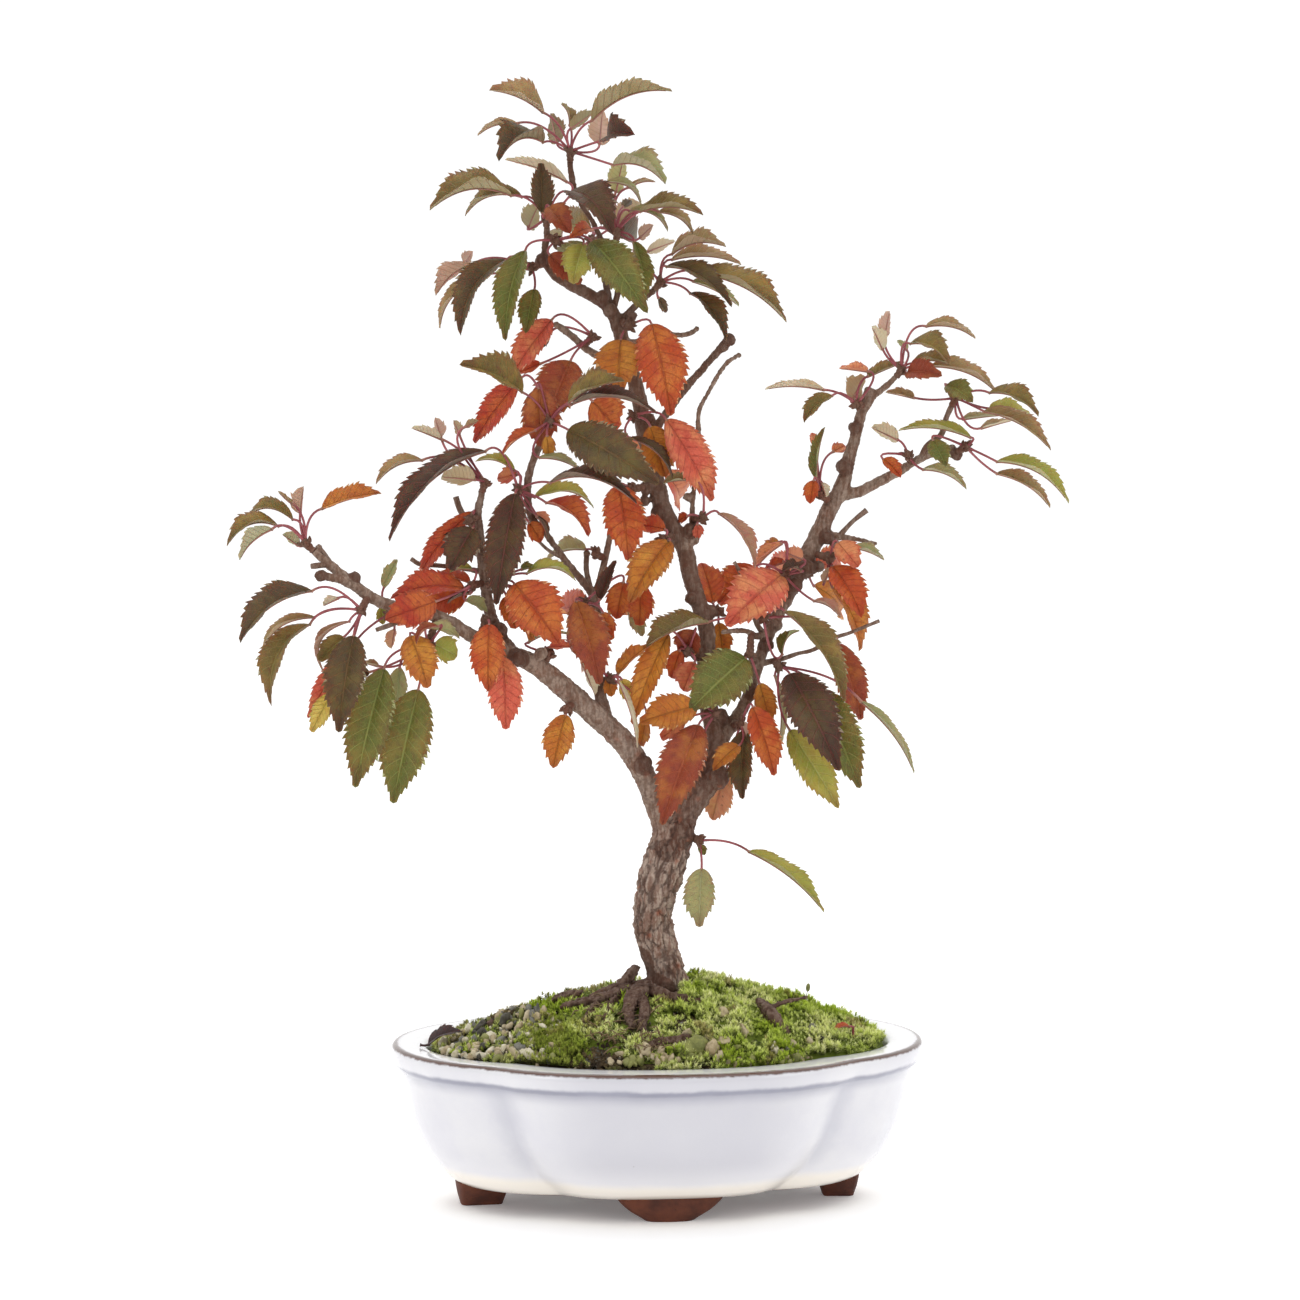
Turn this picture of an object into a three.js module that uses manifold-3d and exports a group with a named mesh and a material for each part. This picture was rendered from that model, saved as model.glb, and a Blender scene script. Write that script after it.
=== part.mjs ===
// Small-leaved cherry grown as a bonsai, in autumn colour, in its white glazed pot.
// Millimetres, +Z up. The tree looks its best from -Y. The pot stands on four feet at z = 0.
import * as THREE from "three";
import { mergeVertices } from "three/addons/utils/BufferGeometryUtils.js";
import Module from "manifold-3d";

const wasm = await Module();
wasm.setup();

// Driving dimensions of the pot
const POT_CENTRE = [3, 1];
const POT_TURN = THREE.MathUtils.degToRad(6.5);
const RIM_HALF_LENGTH = 102;
const RIM_HALF_DEPTH = 79;
const RIM_TOP = 62;
const LIP_HEIGHT = 8;
const FLOOR_TOP = 16;
const BASE_BOTTOM = 8;
const CREASE_ANGLES = [38, 142, 218, 322];
const CREASE_SPREAD = 11;
const POT_SIDES = 30;
const DRAIN_RADIUS = 8;
const DRAIN_PLACES = [-38, 38];

// Driving dimensions of the planting
const FIT = 0.35; // clear air between two pieces that touch
const TRIM = 0.03; // corners closer than this are one corner
const WOOD_TRIM = 0.12; // the same for the wood
const TRUNK_FOOT = [7.4, 0];
const TRUNK_HOLE_RADIUS = 9.9;
const SOIL_CROWN = 80.5;
const SOIL_EDGE = 57.5;
const SOIL_BOW = 1.55; // how far out the crown of the soil stays high
const SOIL_INSET = 14.7;
const SOIL_SPOKES = POT_SIDES;

// Driving dimensions of the leaves
const BLADE_THICKNESS = 1.3;
const STALK_RADIUS = 0.62;
const LONG_STALK = 18;
const LONG_LEAF = 37;
const SHORT_LEAF = 21;
const TOOTH_TIP = 0.85; // where a tooth comes to its point and where its notch ends, in teeth
const TOOTH_END = 1.1;
const NOTCH_DEPTH = 0.84; // the half width at a notch, as a share of the full half width
const BUD_RADIUS = 1.9;
const NUDGE = 4; // a leaf that would meet its neighbour is moved nearer or farther by this much

// The tree is written down as it looks from a viewing point in front of the trunk. A place is
// [x, z, depth]: x and z in the upright plane through the trunk, as seen, and the depth behind it.
const EYE_DISTANCE = 1600;
const EYE_HEIGHT = 343;
const EYE = new THREE.Vector3(0, -EYE_DISTANCE, EYE_HEIGHT);

function place(x, z, depth) {
  const scale = (EYE_DISTANCE + depth) / EYE_DISTANCE;
  return new THREE.Vector3(x * scale, depth, EYE_HEIGHT + (z - EYE_HEIGHT) * scale);
}

// Trunk, branches and twigs: each line is a list of [x, z, depth, radius]
const WOOD = {
  trunk: { sides: 8, line: [
    [8, 68, 0, 8.6], [7.5, 77, 0, 8.6], [6.8, 84, 0, 8], [5.5, 90, 0, 7.2], [3.4, 97, 0, 7.5], [1.4, 105, 0, 7.6],
    [1, 111, -1, 7.4], [2.6, 119, -1, 8], [4.4, 126, -1, 8.5], [6.6, 133, -1, 8.3], [8.6, 140, 0, 7.7],
    [9.6, 146, 0, 7.4],
  ] },
  left_branch: { sides: 6, line: [
    [9, 138, 0, 5.8], [5, 146, 0, 4.9], [1.6, 155, -2, 4.4], [-2.8, 165, -4, 4.3], [-9, 175, -6, 4.4],
    [-17, 183, -8, 4.3], [-26, 191, -10, 4.2], [-35, 199, -12, 4], [-44, 206, -14, 3.6], [-52, 209.5, -16, 3.2],
    [-60, 213, -18, 2.9], [-68, 217, -20, 2.6], [-76, 222, -22, 2.4], [-86, 226, -24, 2.3], [-97, 228, -25, 2.2],
    [-105, 231, -26, 2.2], [-112, 236, -27, 2.1], [-118, 241, -27, 2], [-123, 245, -28, 1.7],
    [-127.5, 249, -28, 1.3],
  ] },
  left_low_stub: { sides: 4, line: [[-109, 234, -27, 1.8], [-117, 238, -30, 1.7], [-124, 239.5, -32, 1.5]] },
  left_high_stub: { sides: 4, line: [[-121, 243.5, -27, 1.4], [-123, 247, -26, 1.1], [-125, 249.5, -26, 1.1]] },
  left_knob: { sides: 4, line: [[-122, 244, -28, 1.2], [-128.5, 243.2, -30, 1.1]] },
  left_dead_twig: { sides: 4, line: [[-90, 226, -25, 1.4], [-96, 222, -28, 1.1], [-104, 219, -30, 0.9]] },
  upright: { sides: 5, line: [
    [-50, 208, -16, 2.8], [-54, 213, -14, 2.4], [-58, 219, -12, 2.3], [-61, 227, -10, 2.2], [-62.5, 236, -9, 2],
    [-63.8, 246, -8, 1.9], [-64.5, 255, -8, 1.7], [-65, 264, -8, 1.5], [-63.5, 271.5, -9, 1.3],
  ] },
  upright_left_twig: { sides: 4, line: [
    [-63, 241, -9, 1.1], [-71, 242.5, -7, 1], [-80, 243.5, -5, 0.9], [-87, 244, -3, 0.9], [-90.5, 246, -2, 0.9],
  ] },
  upright_stub: { sides: 4, line: [
    [-65, 257, -8, 1.3], [-69.5, 261, -6, 1.3], [-72, 265, -5, 1.2], [-73.5, 269.5, -4, 1.2],
  ] },
  inner_branch: { sides: 5, line: [
    [-17, 186, -7, 2.8], [-19, 195, -4, 2.4], [-20, 205, -1, 2.2], [-20, 216, 3, 2.1], [-20.5, 226, 6, 2],
    [-22, 233, 8, 1.8], [-26, 238, 8, 1.5], [-31, 244, 8, 1.4], [-36, 251, 8, 1.3], [-41, 257.5, 7, 1.3],
    [-45, 262, 6, 1.4], [-46.3, 269, 5, 1.5], [-46, 277, 3, 1.5], [-43.5, 285, 1, 1.5], [-40.5, 292, -1, 1.4],
    [-39.4, 297, -2, 1.3],
  ] },
  inner_upright: { sides: 4, line: [
    [-21, 231, 8, 1.5], [-19, 238, 9, 1.4], [-17, 246, 11, 1.3], [-15.5, 253, 13, 1.2], [-14.5, 260, 14, 1.1],
  ] },
  inner_back: { sides: 4, line: [[-21.5, 231, 8, 1.2], [-24, 241, 12, 1.1], [-24, 248, 13, 1]] },
  inner_spike: { sides: 4, line: [[-32, 246, 8, 0.9], [-38, 249, 7, 0.7], [-42, 252.5, 6, 0.6]] },
  leader: { sides: 6, line: [
    [9.5, 141, 0, 6.4], [13, 149, 0, 5.6], [18, 156, 0, 5.3], [22, 161.5, 0, 5.1], [24, 167, 1, 3.9],
    [25, 173, 1, 3.5], [24.5, 180, 3, 3.4], [22, 190, 6, 3.3], [20.5, 200, 9, 3.2], [21.5, 210, 11, 3.1],
    [21.5, 219, 13, 3.2], [18.3, 230, 15, 3.2], [15.2, 240, 17, 3.3], [13.5, 249, 19, 3.3], [9, 257, 21, 3.4],
    [5, 265, 23, 3.5], [2.5, 274, 24, 3.5], [0.4, 284, 25, 3.2], [-2.5, 295, 26, 3.1], [-3.6, 304, 26, 3],
    [-6, 314, 26, 2.9], [-10, 326, 26, 2.8], [-12, 334, 26, 2.7], [-16, 341.5, 26, 2.5], [-24, 346.5, 26, 2.3],
    [-31, 350, 25, 2.1], [-37, 354.5, 24, 1.9], [-39.6, 361, 23, 1.5], [-38.8, 368, 21, 1.3],
    [-39, 371.5, 19, 1.2],
  ] },
  crown_stem: { sides: 4, line: [
    [-15, 341, 26, 1.7], [-17, 352, 29, 1.3], [-17, 362, 30, 1.2], [-21, 372, 28, 1.1], [-27, 382, 25, 1.1],
    [-29.5, 390, 22, 1.2], [-30, 396, 21, 1.2],
  ] },
  crown_right_stem: { sides: 4, line: [
    [-14, 340, 26, 1.4], [-12, 348, 26, 1.2], [-13, 358, 25, 1.1], [-12.6, 366.5, 24, 1.1],
  ] },
  upper_right_stem: { sides: 4, line: [[-11, 336, 26, 1.6], [-5, 342, 28, 1.3], [1.5, 347.5, 30, 1.2]] },
  leader_dead_stub: { sides: 4, line: [
    [-10, 320, 26, 1.7], [-21, 323.5, 24, 1.5], [-28, 329, 22, 1.5], [-33, 333, 21, 1.4], [-36.5, 335, 20, 1.3],
  ] },
  leader_right_twig: { sides: 4, line: [
    [-1, 291, 26, 1.9], [6, 301, 28, 1.7], [12, 309, 30, 1.6], [19, 317, 31, 1.5], [26, 325, 32, 1.5],
    [29.5, 329, 32, 1.6],
  ] },
  leader_right_stub: { sides: 4, line: [[-9, 327, 26, 1.6], [4, 330, 28, 1.2], [14, 331, 29, 1.1], [18.5, 333.5, 30, 1]] },
  thin_upright: { sides: 4, line: [
    [13.5, 250, 19, 1.9], [16, 257, 21, 1.6], [16, 264, 22, 1.1], [16.4, 270, 22, 1], [17.2, 279, 23, 1],
    [18.4, 290, 23, 1], [18.4, 301, 24, 1], [22, 309, 24, 0.9], [28, 319, 25, 0.9], [33, 323, 25, 0.7],
  ] },
  right_branch: { sides: 6, line: [
    [25, 172, 1, 3.2], [29, 180, 5, 2.7], [34.5, 188, 10, 2.4], [38, 196, 15, 2.3], [41, 206, 19, 2.3],
    [44, 215, 23, 2.4], [48, 224, 27, 2.5], [52, 232, 30, 2.9], [56, 240, 33, 3.3], [60, 248, 36, 3.4],
    [65, 258, 39, 3.3], [68.5, 266, 41, 3.3], [72, 272, 42, 3.2], [74, 278, 42, 2.6], [75, 283, 42, 2.5],
    [77, 290, 42, 2.3], [79, 298, 42, 2.1], [81, 305, 42, 1.9], [83, 311, 42, 1.6],
  ] },
  right_shoot: { sides: 4, line: [[80, 301, 42, 1.6], [85, 308, 42, 1.3], [90, 312, 41, 1.2], [93, 315, 40, 1.1]] },
  right_arm: { sides: 5, line: [
    [72, 270, 42, 2.4], [79, 271.5, 42, 2.2], [86, 275, 42, 2], [92, 278, 42, 1.8], [97, 281, 42, 1.7],
    [102, 284, 42, 1.6], [107, 286, 42, 1.5], [115, 286, 42, 1.5],
  ] },
  right_arm_twig: { sides: 4, line: [
    [102.5, 284, 42, 1.4], [105, 289, 42, 1.3], [110, 293, 42, 1.2], [112, 299.5, 42, 1.1], [114, 304, 41, 1.1],
  ] },
  right_dead_twig: { sides: 4, line: [
    [63.5, 256, 38, 1.7], [71, 254.7, 40, 1.5], [78, 253.5, 41, 1], [86, 251.8, 42, 0.8],
  ] },
  right_dead_fork: { sides: 4, line: [[71.5, 254.5, 40, 1.2], [76.5, 260, 41, 0.9], [82, 264.5, 42, 1.2]] },
  low_twig: { sides: 4, line: [
    [41, 206, 19, 1.4], [50, 208, 20, 1], [56, 210, 21, 0.8], [62, 211.5, 22, 0.8], [70, 216, 24, 0.8],
    [76, 218, 26, 0.7], [87, 222.5, 28, 0.7],
  ] },
  cut_stub: { sides: 4, line: [[44, 217.5, 24, 1.6], [40, 216.7, 18, 1.3], [36, 218.8, 14, 1.1], [27, 218.2, 12, 1]] },
  grey_stick: { sides: 4, line: [[43.5, 217, 23, 1.3], [40, 222.5, 20, 1], [38, 232, 19, 0.9], [35, 239, 18, 0.8],
    [32, 245, 18, 0.7]] },
  root_left: { sides: 5, line: [[4, 82.5, -2, 4], [-4, 82, -4, 3], [-11, 81.5, -6, 2.6], [-17, 80, -7, 2.2],
    [-23, 77.5, -8, 1.6]] },
  root_stub: { sides: 4, line: [[-11, 81.5, -6, 2], [-8.6, 87, -5, 1.4], [-5.2, 90.5, -4, 1.1]] },
};

// Old pruning wounds, buds and knobs on the wood: [x, z, depth, radius]
const KNOBS = [
  [13, 141, -4, 4.2], [25.5, 163, -2, 4.8], [7, 134.5, -7, 3.2], [-2, 168, -7, 3],
  [-125, 239.6, -32, 2.2], [-112, 239, -26, 2.4], [-57, 219, -14, 3], [-50, 208, -19, 3], [2.6, 263, 20.4, 2.6], [15, 257, 19, 2.6],
  [15.8, 231, 12, 2.6], [23, 226, 14, 2.6], [18, 210, 9, 2.8], [27, 186, 6, 3], [-18, 345, 25, 3],
  [-41, 358.5, 22, 2.6], [30, 329, 31, 2.4], [54, 236, 28, 3.8], [59, 242.5, 32, 3.4], [67, 254, 36, 2.6],
  [77, 296, 41, 2.2], [73, 281, 41, 2.8], [116, 285.5, 42, 2.4], [39, 195, 13, 2.6],
  [44.5, 213, 21, 2.4],
];

// Leaf sprays. A leaf is [stalk end x, z, tip x, z, swing, face, fold, bow, width, tone]: the swing
// turns it towards the viewer, in degrees; the face rolls its upper side, from 0 towards the viewer
// to 90 upwards and 180 away; the fold lifts each half; the bow is the arch as a share of the length.
const SPRAYS = {
  crown_tip: { spur: [-30, 399.5, 19], tone: "bronze", leaves: [
    [-40, 414, -60, 423, 18, 66, 32, 0.08, 17, "tan"],
    [-40, 403, -57, 396.5, 35, 68, 34, 0.22, 20, "bronze"],
    [-50, 410, -65, 406, -25, 80, 35, 0.1, 6, "tan"],
    [-35, 402.5, -37, 413.5, -45, 150, 20, 0, 9, "bronze"],
    [-30, 409, -33, 417.5, -45, 60, 40, 0.1, 6, "olive"],
    [-30, 408, -21, 414.5, -40, 140, 25, 0, 7, "olive"],
    [-22, 411, 8, 423, 12, 104, 30, 0.12, 18, "olive"],
    [-19, 402, -18, 415, -50, 160, 15, 0, 10, "rose"],
    [-16, 404, -6, 406, 50, 40, 30, 0.2, 14, "dark"],
    [-14, 394.5, 6, 388, 20, 75, 35, 0.15, 18, "sage"],
  ] },
  crown_right: { spur: [-12.5, 369.5, 23], tone: "tan", leaves: [
    [-13, 384, -10, 398, -30, 150, 20, 0, 9, "lime"],
    [-17, 388, -3, 380, -20, 70, 35, 0.2, 6, "sage"],
    [-8, 386, 2, 388.5, -20, 75, 40, 0.1, 3.5, "tan"],
    [-8, 377.5, 7, 370, -15, 60, 30, 0.2, 7, "sage"],
    [-4, 377, 20, 376.5, 15, 70, 32, 0.1, 14, "olive"],
    [3, 377, 16.5, 369, -20, 65, 30, 0.15, 8, "tan"],
    [-4, 367, 1, 372, -45, 150, 20, 0, 6, "rose"],
    [-6, 366, -2, 343, 15, 35, 30, 0.08, 9, "green"],
    [-22, 370.5, -30, 367.5, 60, 30, 25, 0.1, 7, "orange"],
  ] },
  crown_left: { spur: [-39, 374.5, 17], tone: "olive", leaves: [
    [-31, 384, -14, 369, 38, 42, 22, 0.2, 19, "dark"],
    [-31, 388, -54, 397, -25, 130, 25, 0.05, 8, "pale"],
    [-52, 383, -83, 378.5, 15, 72, 34, 0.16, 21, "olive"],
    [-48, 382.5, -70, 376, -10, 66, 30, 0.18, 12, "olive"],
    [-40.5, 376, -41, 395.5, -25, 12, 22, 0, 10, "bronze"],
    [-46, 371, -42, 380, -50, 150, 20, 0, 10, "sage"],
    [-38, 379, -30, 369, 35, 15, 20, 0.1, 11, "rust"],
  ] },
  crown_mid: { spur: [-35.5, 366, 16], tone: "green", leaves: [
    [-25, 365, -29, 350, 25, 12, 14, 0.1, 13, "lime"],
    [-22, 366, -1, 339.5, 32, 14, 18, 0.1, 17, "green"],
    [-38, 361, -26, 350, 10, 20, 18, 0.05, 11, "rust"],
    [-47, 362.5, -55, 329, 22, 32, 26, 0.1, 14, "green"],
  ] },
  crown_low: { spur: [-44.5, 356, 18], tone: "bronze", leaves: [
    [-54, 359, -72, 331, 12, 46, 28, 0.2, 16, "bronze"],
    [-66, 352, -80, 333.5, -30, 65, 30, 0.12, 8, "tan"],
    [-67, 357, -81, 346, -25, 128, 28, 0.12, 12, "rose"],
    [-70, 357.5, -67, 362, -60, 150, 20, 0, 6, "rose"],
    [-43.5, 348, -47, 331.5, 28, 14, 18, 0.05, 9.5, "green"],
  ] },
  upper_right: { spur: [4, 350.5, 30], tone: "olive", leaves: [
    [8, 361, 28.5, 364.5, 10, 75, 34, 0.14, 15, "tan"],
    [-1, 362, 9, 366, -50, 150, 20, 0, 6, "pale"],
    [8, 359, 34.5, 358, -15, 72, 34, 0.08, 11, "tan"],
    [6, 356.5, 31, 342, 25, 52, 28, 0.14, 12, "dark"],
    [18, 354, 52, 336.5, 12, 66, 32, 0.1, 19, "olive"],
    [16, 351, 34, 342, -25, 60, 30, 0.05, 9, "sage"],
    [15, 346.5, 29, 329, 20, 46, 28, 0.15, 11, "dark"],
    [3, 345, 6.5, 339, -50, 20, 20, 0, 4, "bronze"],
  ] },
  leader_left: { spur: [-21.5, 330, 20], tone: "rust", leaves: [
    [-37, 336.5, -52, 316, 10, 25, 25, 0.05, 14, "coral"],
    [-30, 321, -39.5, 297.5, 30, 12, 16, 0.06, 19, "rust"],
    [-41, 320, -50, 316.5, -20, 30, 25, 0, 6, "red"],
  ] },
  leader_front: { spur: [-8, 334, 18], tone: "orange", leaves: [
    [-11, 329, -12, 309, 28, 8, 12, 0.06, 19, "gold"],
    [0.5, 335, 8, 300.5, 20, 10, 14, 0.08, 20, "orange"],
  ] },
  mid_left: { spur: [-38, 298, -6], tone: "olive", leaves: [
    [-48, 309, -71.5, 320, 20, 46, 34, 0.08, 18, "olive"],
    [-42, 311, -41, 288.5, -20, 10, 15, 0, 16, "rust"],
    [-49, 314, -67, 290, -20, 25, 20, 0.05, 12, "red"],
    [-31, 305, -10, 314, 20, 62, 30, 0.08, 16, "olive"],
    [-30, 304.5, 2.5, 302, 8, 68, 34, 0.14, 10, "dark"],
    [-22, 306, -12, 295, -25, 12, 15, 0, 17, "orange"],
    [-31, 295, 3, 275, 30, 10, 16, 0.08, 19, "green"],
    [-43, 295, -56, 286, -15, 60, 30, 0.1, 7, "orange"],
    [-39, 293, -38, 284, -20, 15, 15, 0, 6, "gold"],
    [-42, 284.5, -25, 279, -10, 70, 35, 0.1, 6, "sage"],
  ] },
  inner_end: { spur: [-49.8, 272, 0], tone: "dark", leaves: [
    [-62, 287, -99.5, 254, 22, 62, 28, 0.12, 17, "dark"],
    [-51, 279.5, -66, 283.5, -15, 60, 30, 0.15, 7, "lime"],
    [-51, 271, -58.5, 229, 18, 10, 18, 0.05, 16, "dark"],
    [-38, 275, -5, 268, 25, 64, 32, 0.16, 12, "dark"],
    [-44, 269.5, -21, 266, -25, 60, 28, 0.2, 9, "lime"],
    [-39.5, 267.5, -23, 255, 15, 58, 26, 0.16, 15, "red"],
    [-43, 262.5, -38.5, 253, -10, 75, 40, 0.1, 4, "dark"],
  ] },
  upright_top: { spur: [-62.5, 275, -10], tone: "tan", leaves: [
    [-66, 276, -79, 277.5, 20, 140, 20, 0, 11, "tan"],
    [-79, 291.5, -90, 296, -10, 120, 25, 0, 7, "pale"],
    [-86, 283.5, -104, 275, 10, 66, 32, 0.14, 9, "tan"],
  ] },
  leader_mid: { spur: [-6.5, 300, 20], tone: "coral", leaves: [
    [6, 299, 24, 268, -15, 20, 20, 0.06, 17, "coral"],
    [0, 296.5, 6, 277, -25, 15, 18, 0, 15, "gold"],
    [-8, 292, 9, 277, -10, 60, 30, 0.15, 7, "dark"],
  ] },
  twig_knob: { spur: [20, 261.5, 16], tone: "rose", leaves: [
    [26, 263.5, 40.5, 243, 12, 60, 26, 0.12, 10, "rose"],
    [15, 276, 5, 275, -20, 65, 30, 0.05, 8, "sage"],
  ] },
  branch_head: { spur: [64.5, 270.5, 36], tone: "orange", leaves: [
    [63, 276, 65.5, 296, 10, 60, 30, 0.05, 8, "green"],
    [62, 276, 60.5, 267, 20, 20, 20, 0, 7, "orange"],
  ] },
  shoot_tip: { spur: [95, 317.5, 39], tone: "tan", leaves: [
    [88, 325, 84, 334, -30, 140, 25, 0, 8, "pale"],
    [88.5, 330, 90, 339.5, -40, 140, 20, 0, 7, "rose"],
    [98, 327.5, 113, 320, 15, 55, 28, 0.2, 14, "olive"],
    [104, 334, 123, 330, -20, 75, 35, 0.1, 9, "tan"],
    [99, 320, 113, 320, 30, 70, 32, 0.1, 10, "olive"],
    [97, 316.5, 110, 315.5, 45, 30, 25, 0.1, 11, "rust"],
    [106, 319, 131, 310, -12, 68, 32, 0.1, 12, "tan"],
  ] },
  branch_fork: { spur: [78, 304.5, 37], tone: "olive", leaves: [
    [82, 315, 96, 321, -20, 60, 28, 0, 8, "olive"],
    [82.5, 317, 71.5, 318.5, -25, 70, 30, 0, 8, "coral"],
    [66, 310, 43.5, 311, -10, 80, 34, 0.05, 8, "pale"],
    [69, 308, 58, 298, 10, 50, 25, 0.1, 10, "olive"],
    [76, 306, 81, 315, -40, 140, 20, 0, 12, "tan"],
  ] },
  arm_twig: { spur: [115.5, 307, 40], tone: "lime", leaves: [
    [126, 302, 152, 288, 10, 60, 28, 0.1, 12, "tan"],
    [128, 303, 144, 301, -20, 65, 30, 0.05, 10, "lime"],
    [128, 309, 147, 300.5, 15, 56, 28, 0.16, 12, "olive"],
    [112, 312, 122, 305.5, 35, 25, 20, 0.1, 10, "green"],
    [125, 295.5, 137, 299, -20, 70, 30, 0, 6, "pale"],
    [118, 299, 133, 301, -30, 70, 30, 0, 6, "sage"],
    [100, 307, 89, 309.5, -25, 60, 28, 0, 7, "tan"],
  ] },
  arm_knob: { spur: [119.5, 288.5, 38], tone: "lime", leaves: [
    [121.5, 292, 94, 295.5, -12, 70, 32, 0.08, 9, "lime"],
    [107, 291, 112, 281.5, 45, 15, 20, 0, 9, "green"],
    [131, 283, 159, 268, 10, 66, 32, 0.14, 12, "lime"],
    [131, 278.5, 152, 266, -15, 60, 30, 0.1, 10, "tan"],
  ] },
  arm_mid: { spur: [97.5, 285.5, 38], tone: "sage", leaves: [
    [88, 284, 95, 277, 15, 30, 25, 0.1, 7, "orange"],
    [94, 291, 84, 296, -30, 140, 25, 0, 9, "pale"],
    [103, 280, 120, 273, 10, 66, 32, 0.12, 9, "sage"],
  ] },
  right_spur: { spur: [68.5, 246, 31], tone: "coral", leaves: [
    [71, 252.5, 79, 243, 20, 20, 18, 0, 11, "coral"],
    [77, 250.5, 89, 246, -15, 68, 32, 0.05, 8, "sage"],
    [69, 243.5, 80.5, 224, 25, 30, 22, 0.08, 15, "orange"],
    [69, 235.5, 80, 211, -8, 48, 26, 0.12, 14, "gold"],
  ] },
  right_left_spur: { spur: [51, 240, 25], tone: "orange", leaves: [
    [50, 252, 38, 240, -10, 72, 30, 0.06, 10, "coral"],
    [49, 252.5, 42, 249, -40, 50, 25, 0, 7, "gold"],
    [51, 245, 43, 242, -30, 60, 25, 0, 7, "red"],
    [50, 240, 29, 221, 28, 16, 16, 0.08, 22, "orange"],
    [40, 243, 25.5, 229, -12, 12, 14, 0.05, 16, "orange"],
    [62, 230.2, 72.3, 224.3, 15, 66, 28, 0.12, 7, "rose"],
  ] },
  low_cluster: { spur: [43, 223.5, 13], tone: "olive", leaves: [
    [22, 222, -1.5, 213.5, 15, 66, 30, 0.06, 19, "olive"],
    [51, 226.3, 74.5, 192, 18, 54, 30, 0.1, 17, "olive"],
    [71.5, 214, 80.5, 184.5, -12, 12, 14, 0.05, 13, "rust"],
    [50, 209.5, 56.5, 219, -30, 60, 35, 0.2, 7, "green"],
  ] },
  low_twig_spur: { spur: [49, 205, 9], tone: "green", leaves: [
    [53, 202.5, 72, 166, 35, 12, 18, 0.08, 20, "dark"],
    [63, 197, 80, 159, 22, 10, 16, 0.06, 18, "green"],
    [53, 181, 72, 151, 12, 10, 14, 0.05, 14, "lime"],
    [47.5, 202, 48, 169, -10, 70, 35, 0.08, 5, "sage"],
    [80, 192, 101.5, 165, -15, 70, 34, 0.06, 7, "sage"],
  ] },
  mottled: { spur: [38, 209.5, 10], tone: "green", leaves: [
    [36.5, 208.5, 15, 188.5, 30, 10, 16, 0.06, 22, "green"],
    [41.5, 199, 46, 183, -12, 15, 16, 0, 9.5, "gold"],
  ] },
  low_right: { spur: [34.5, 183, 0], tone: "orange", leaves: [
    [39, 190, 47.5, 163.5, 10, 18, 18, 0.06, 13, "orange"],
    [36, 181, 35, 154.5, 15, 25, 22, 0.05, 12, "bronze"],
    [34, 175, 24, 165.5, 30, 25, 22, 0.1, 9, "gold"],
    [29, 166, 23.5, 146, -25, 15, 15, 0.05, 14, "salmon"],
  ] },
  fork_cluster: { spur: [25, 187, -4], tone: "rust", leaves: [
    [18.5, 183, 4.5, 145, 28, 12, 16, 0.06, 18, "rust"],
    [18, 190, -4, 184, 15, 20, 14, 0.04, 15, "gold"],
    [14, 185, 4, 177.5, -15, 30, 20, 0, 9, "coral"],
    [20, 178, 16, 161.5, -25, 20, 15, 0, 7, "coral"],
  ] },
  leader_low: { spur: [14.5, 211, 5], tone: "gold", leaves: [
    [17, 219, 12, 209, -10, 15, 15, 0, 12, "rust"],
    [7, 217.5, -7, 183.5, 22, 22, 20, 0.06, 12, "gold"],
    [11.5, 211.5, 8, 200.5, -20, 15, 15, 0, 8, "orange"],
    [17, 207, 12.5, 195.5, -25, 15, 15, 0, 12, "coral"],
  ] },
  inner_low: { spur: [-15, 200.5, -7], tone: "gold", leaves: [
    [-26, 207, -20.5, 194.5, -10, 130, 25, 0, 8, "pale"],
    [-12.5, 202, 0.5, 214, -12, 55, 26, 0.04, 10, "gold"],
    [-11, 200.5, -7.5, 191.5, -20, 25, 20, 0, 7, "yellow"],
    [-12, 200, -4, 174.5, 5, 72, 36, 0.04, 4, "pale"],
    [-1.5, 185, -3.5, 174.5, -30, 15, 15, 0, 6.5, "gold"],
  ] },
  inner_fork: { spur: [-25, 229.5, 1], tone: "rust", leaves: [
    [-28, 230, -19, 198.5, 18, 14, 20, 0.05, 17, "rust"],
    [-29.5, 211.5, -21, 201, -15, 55, 30, 0.05, 7, "gold"],
    [-10, 237.5, -13, 223, -15, 12, 14, 0, 11, "orange"],
    [-18, 226, -14.5, 215, -20, 15, 15, 0, 7, "orange"],
    [-19, 230.5, -13, 245.5, 10, 20, 35, 0.1, 7, "dark"],
  ] },
  inner_top: { spur: [-20.5, 248, 8], tone: "sage", leaves: [
    [-24, 249.7, -39.5, 246, -10, 68, 26, 0.1, 13, "sage"],
  ] },
  branch_back: { spur: [-38, 210, -13], tone: "sage", leaves: [
    [-46.5, 214.2, -30.5, 218, -25, 70, 30, 0.1, 6, "sage"],
  ] },
  upright_right: { spur: [-58.5, 236.5, -15], tone: "orange", leaves: [
    [-51.5, 236.8, -34.5, 214, 22, 14, 16, 0.06, 22, "orange"],
    [-47, 240.5, -28, 238.3, -10, 66, 28, 0.2, 9, "lime"],
    [-47.5, 231, -45, 215, 18, 15, 16, 0.05, 9.5, "gold"],
    [-54.5, 232, -51, 219.5, 14, 20, 18, 0.05, 11, "orange"],
  ] },
  upright_left: { spur: [-67.5, 236, -14], tone: "red", leaves: [
    [-70, 234.7, -98.5, 231.5, 14, 46, 20, 0.12, 15, "red"],
    [-81, 230, -100.5, 223, 20, 12, 14, 0, 15, "red"],
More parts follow.
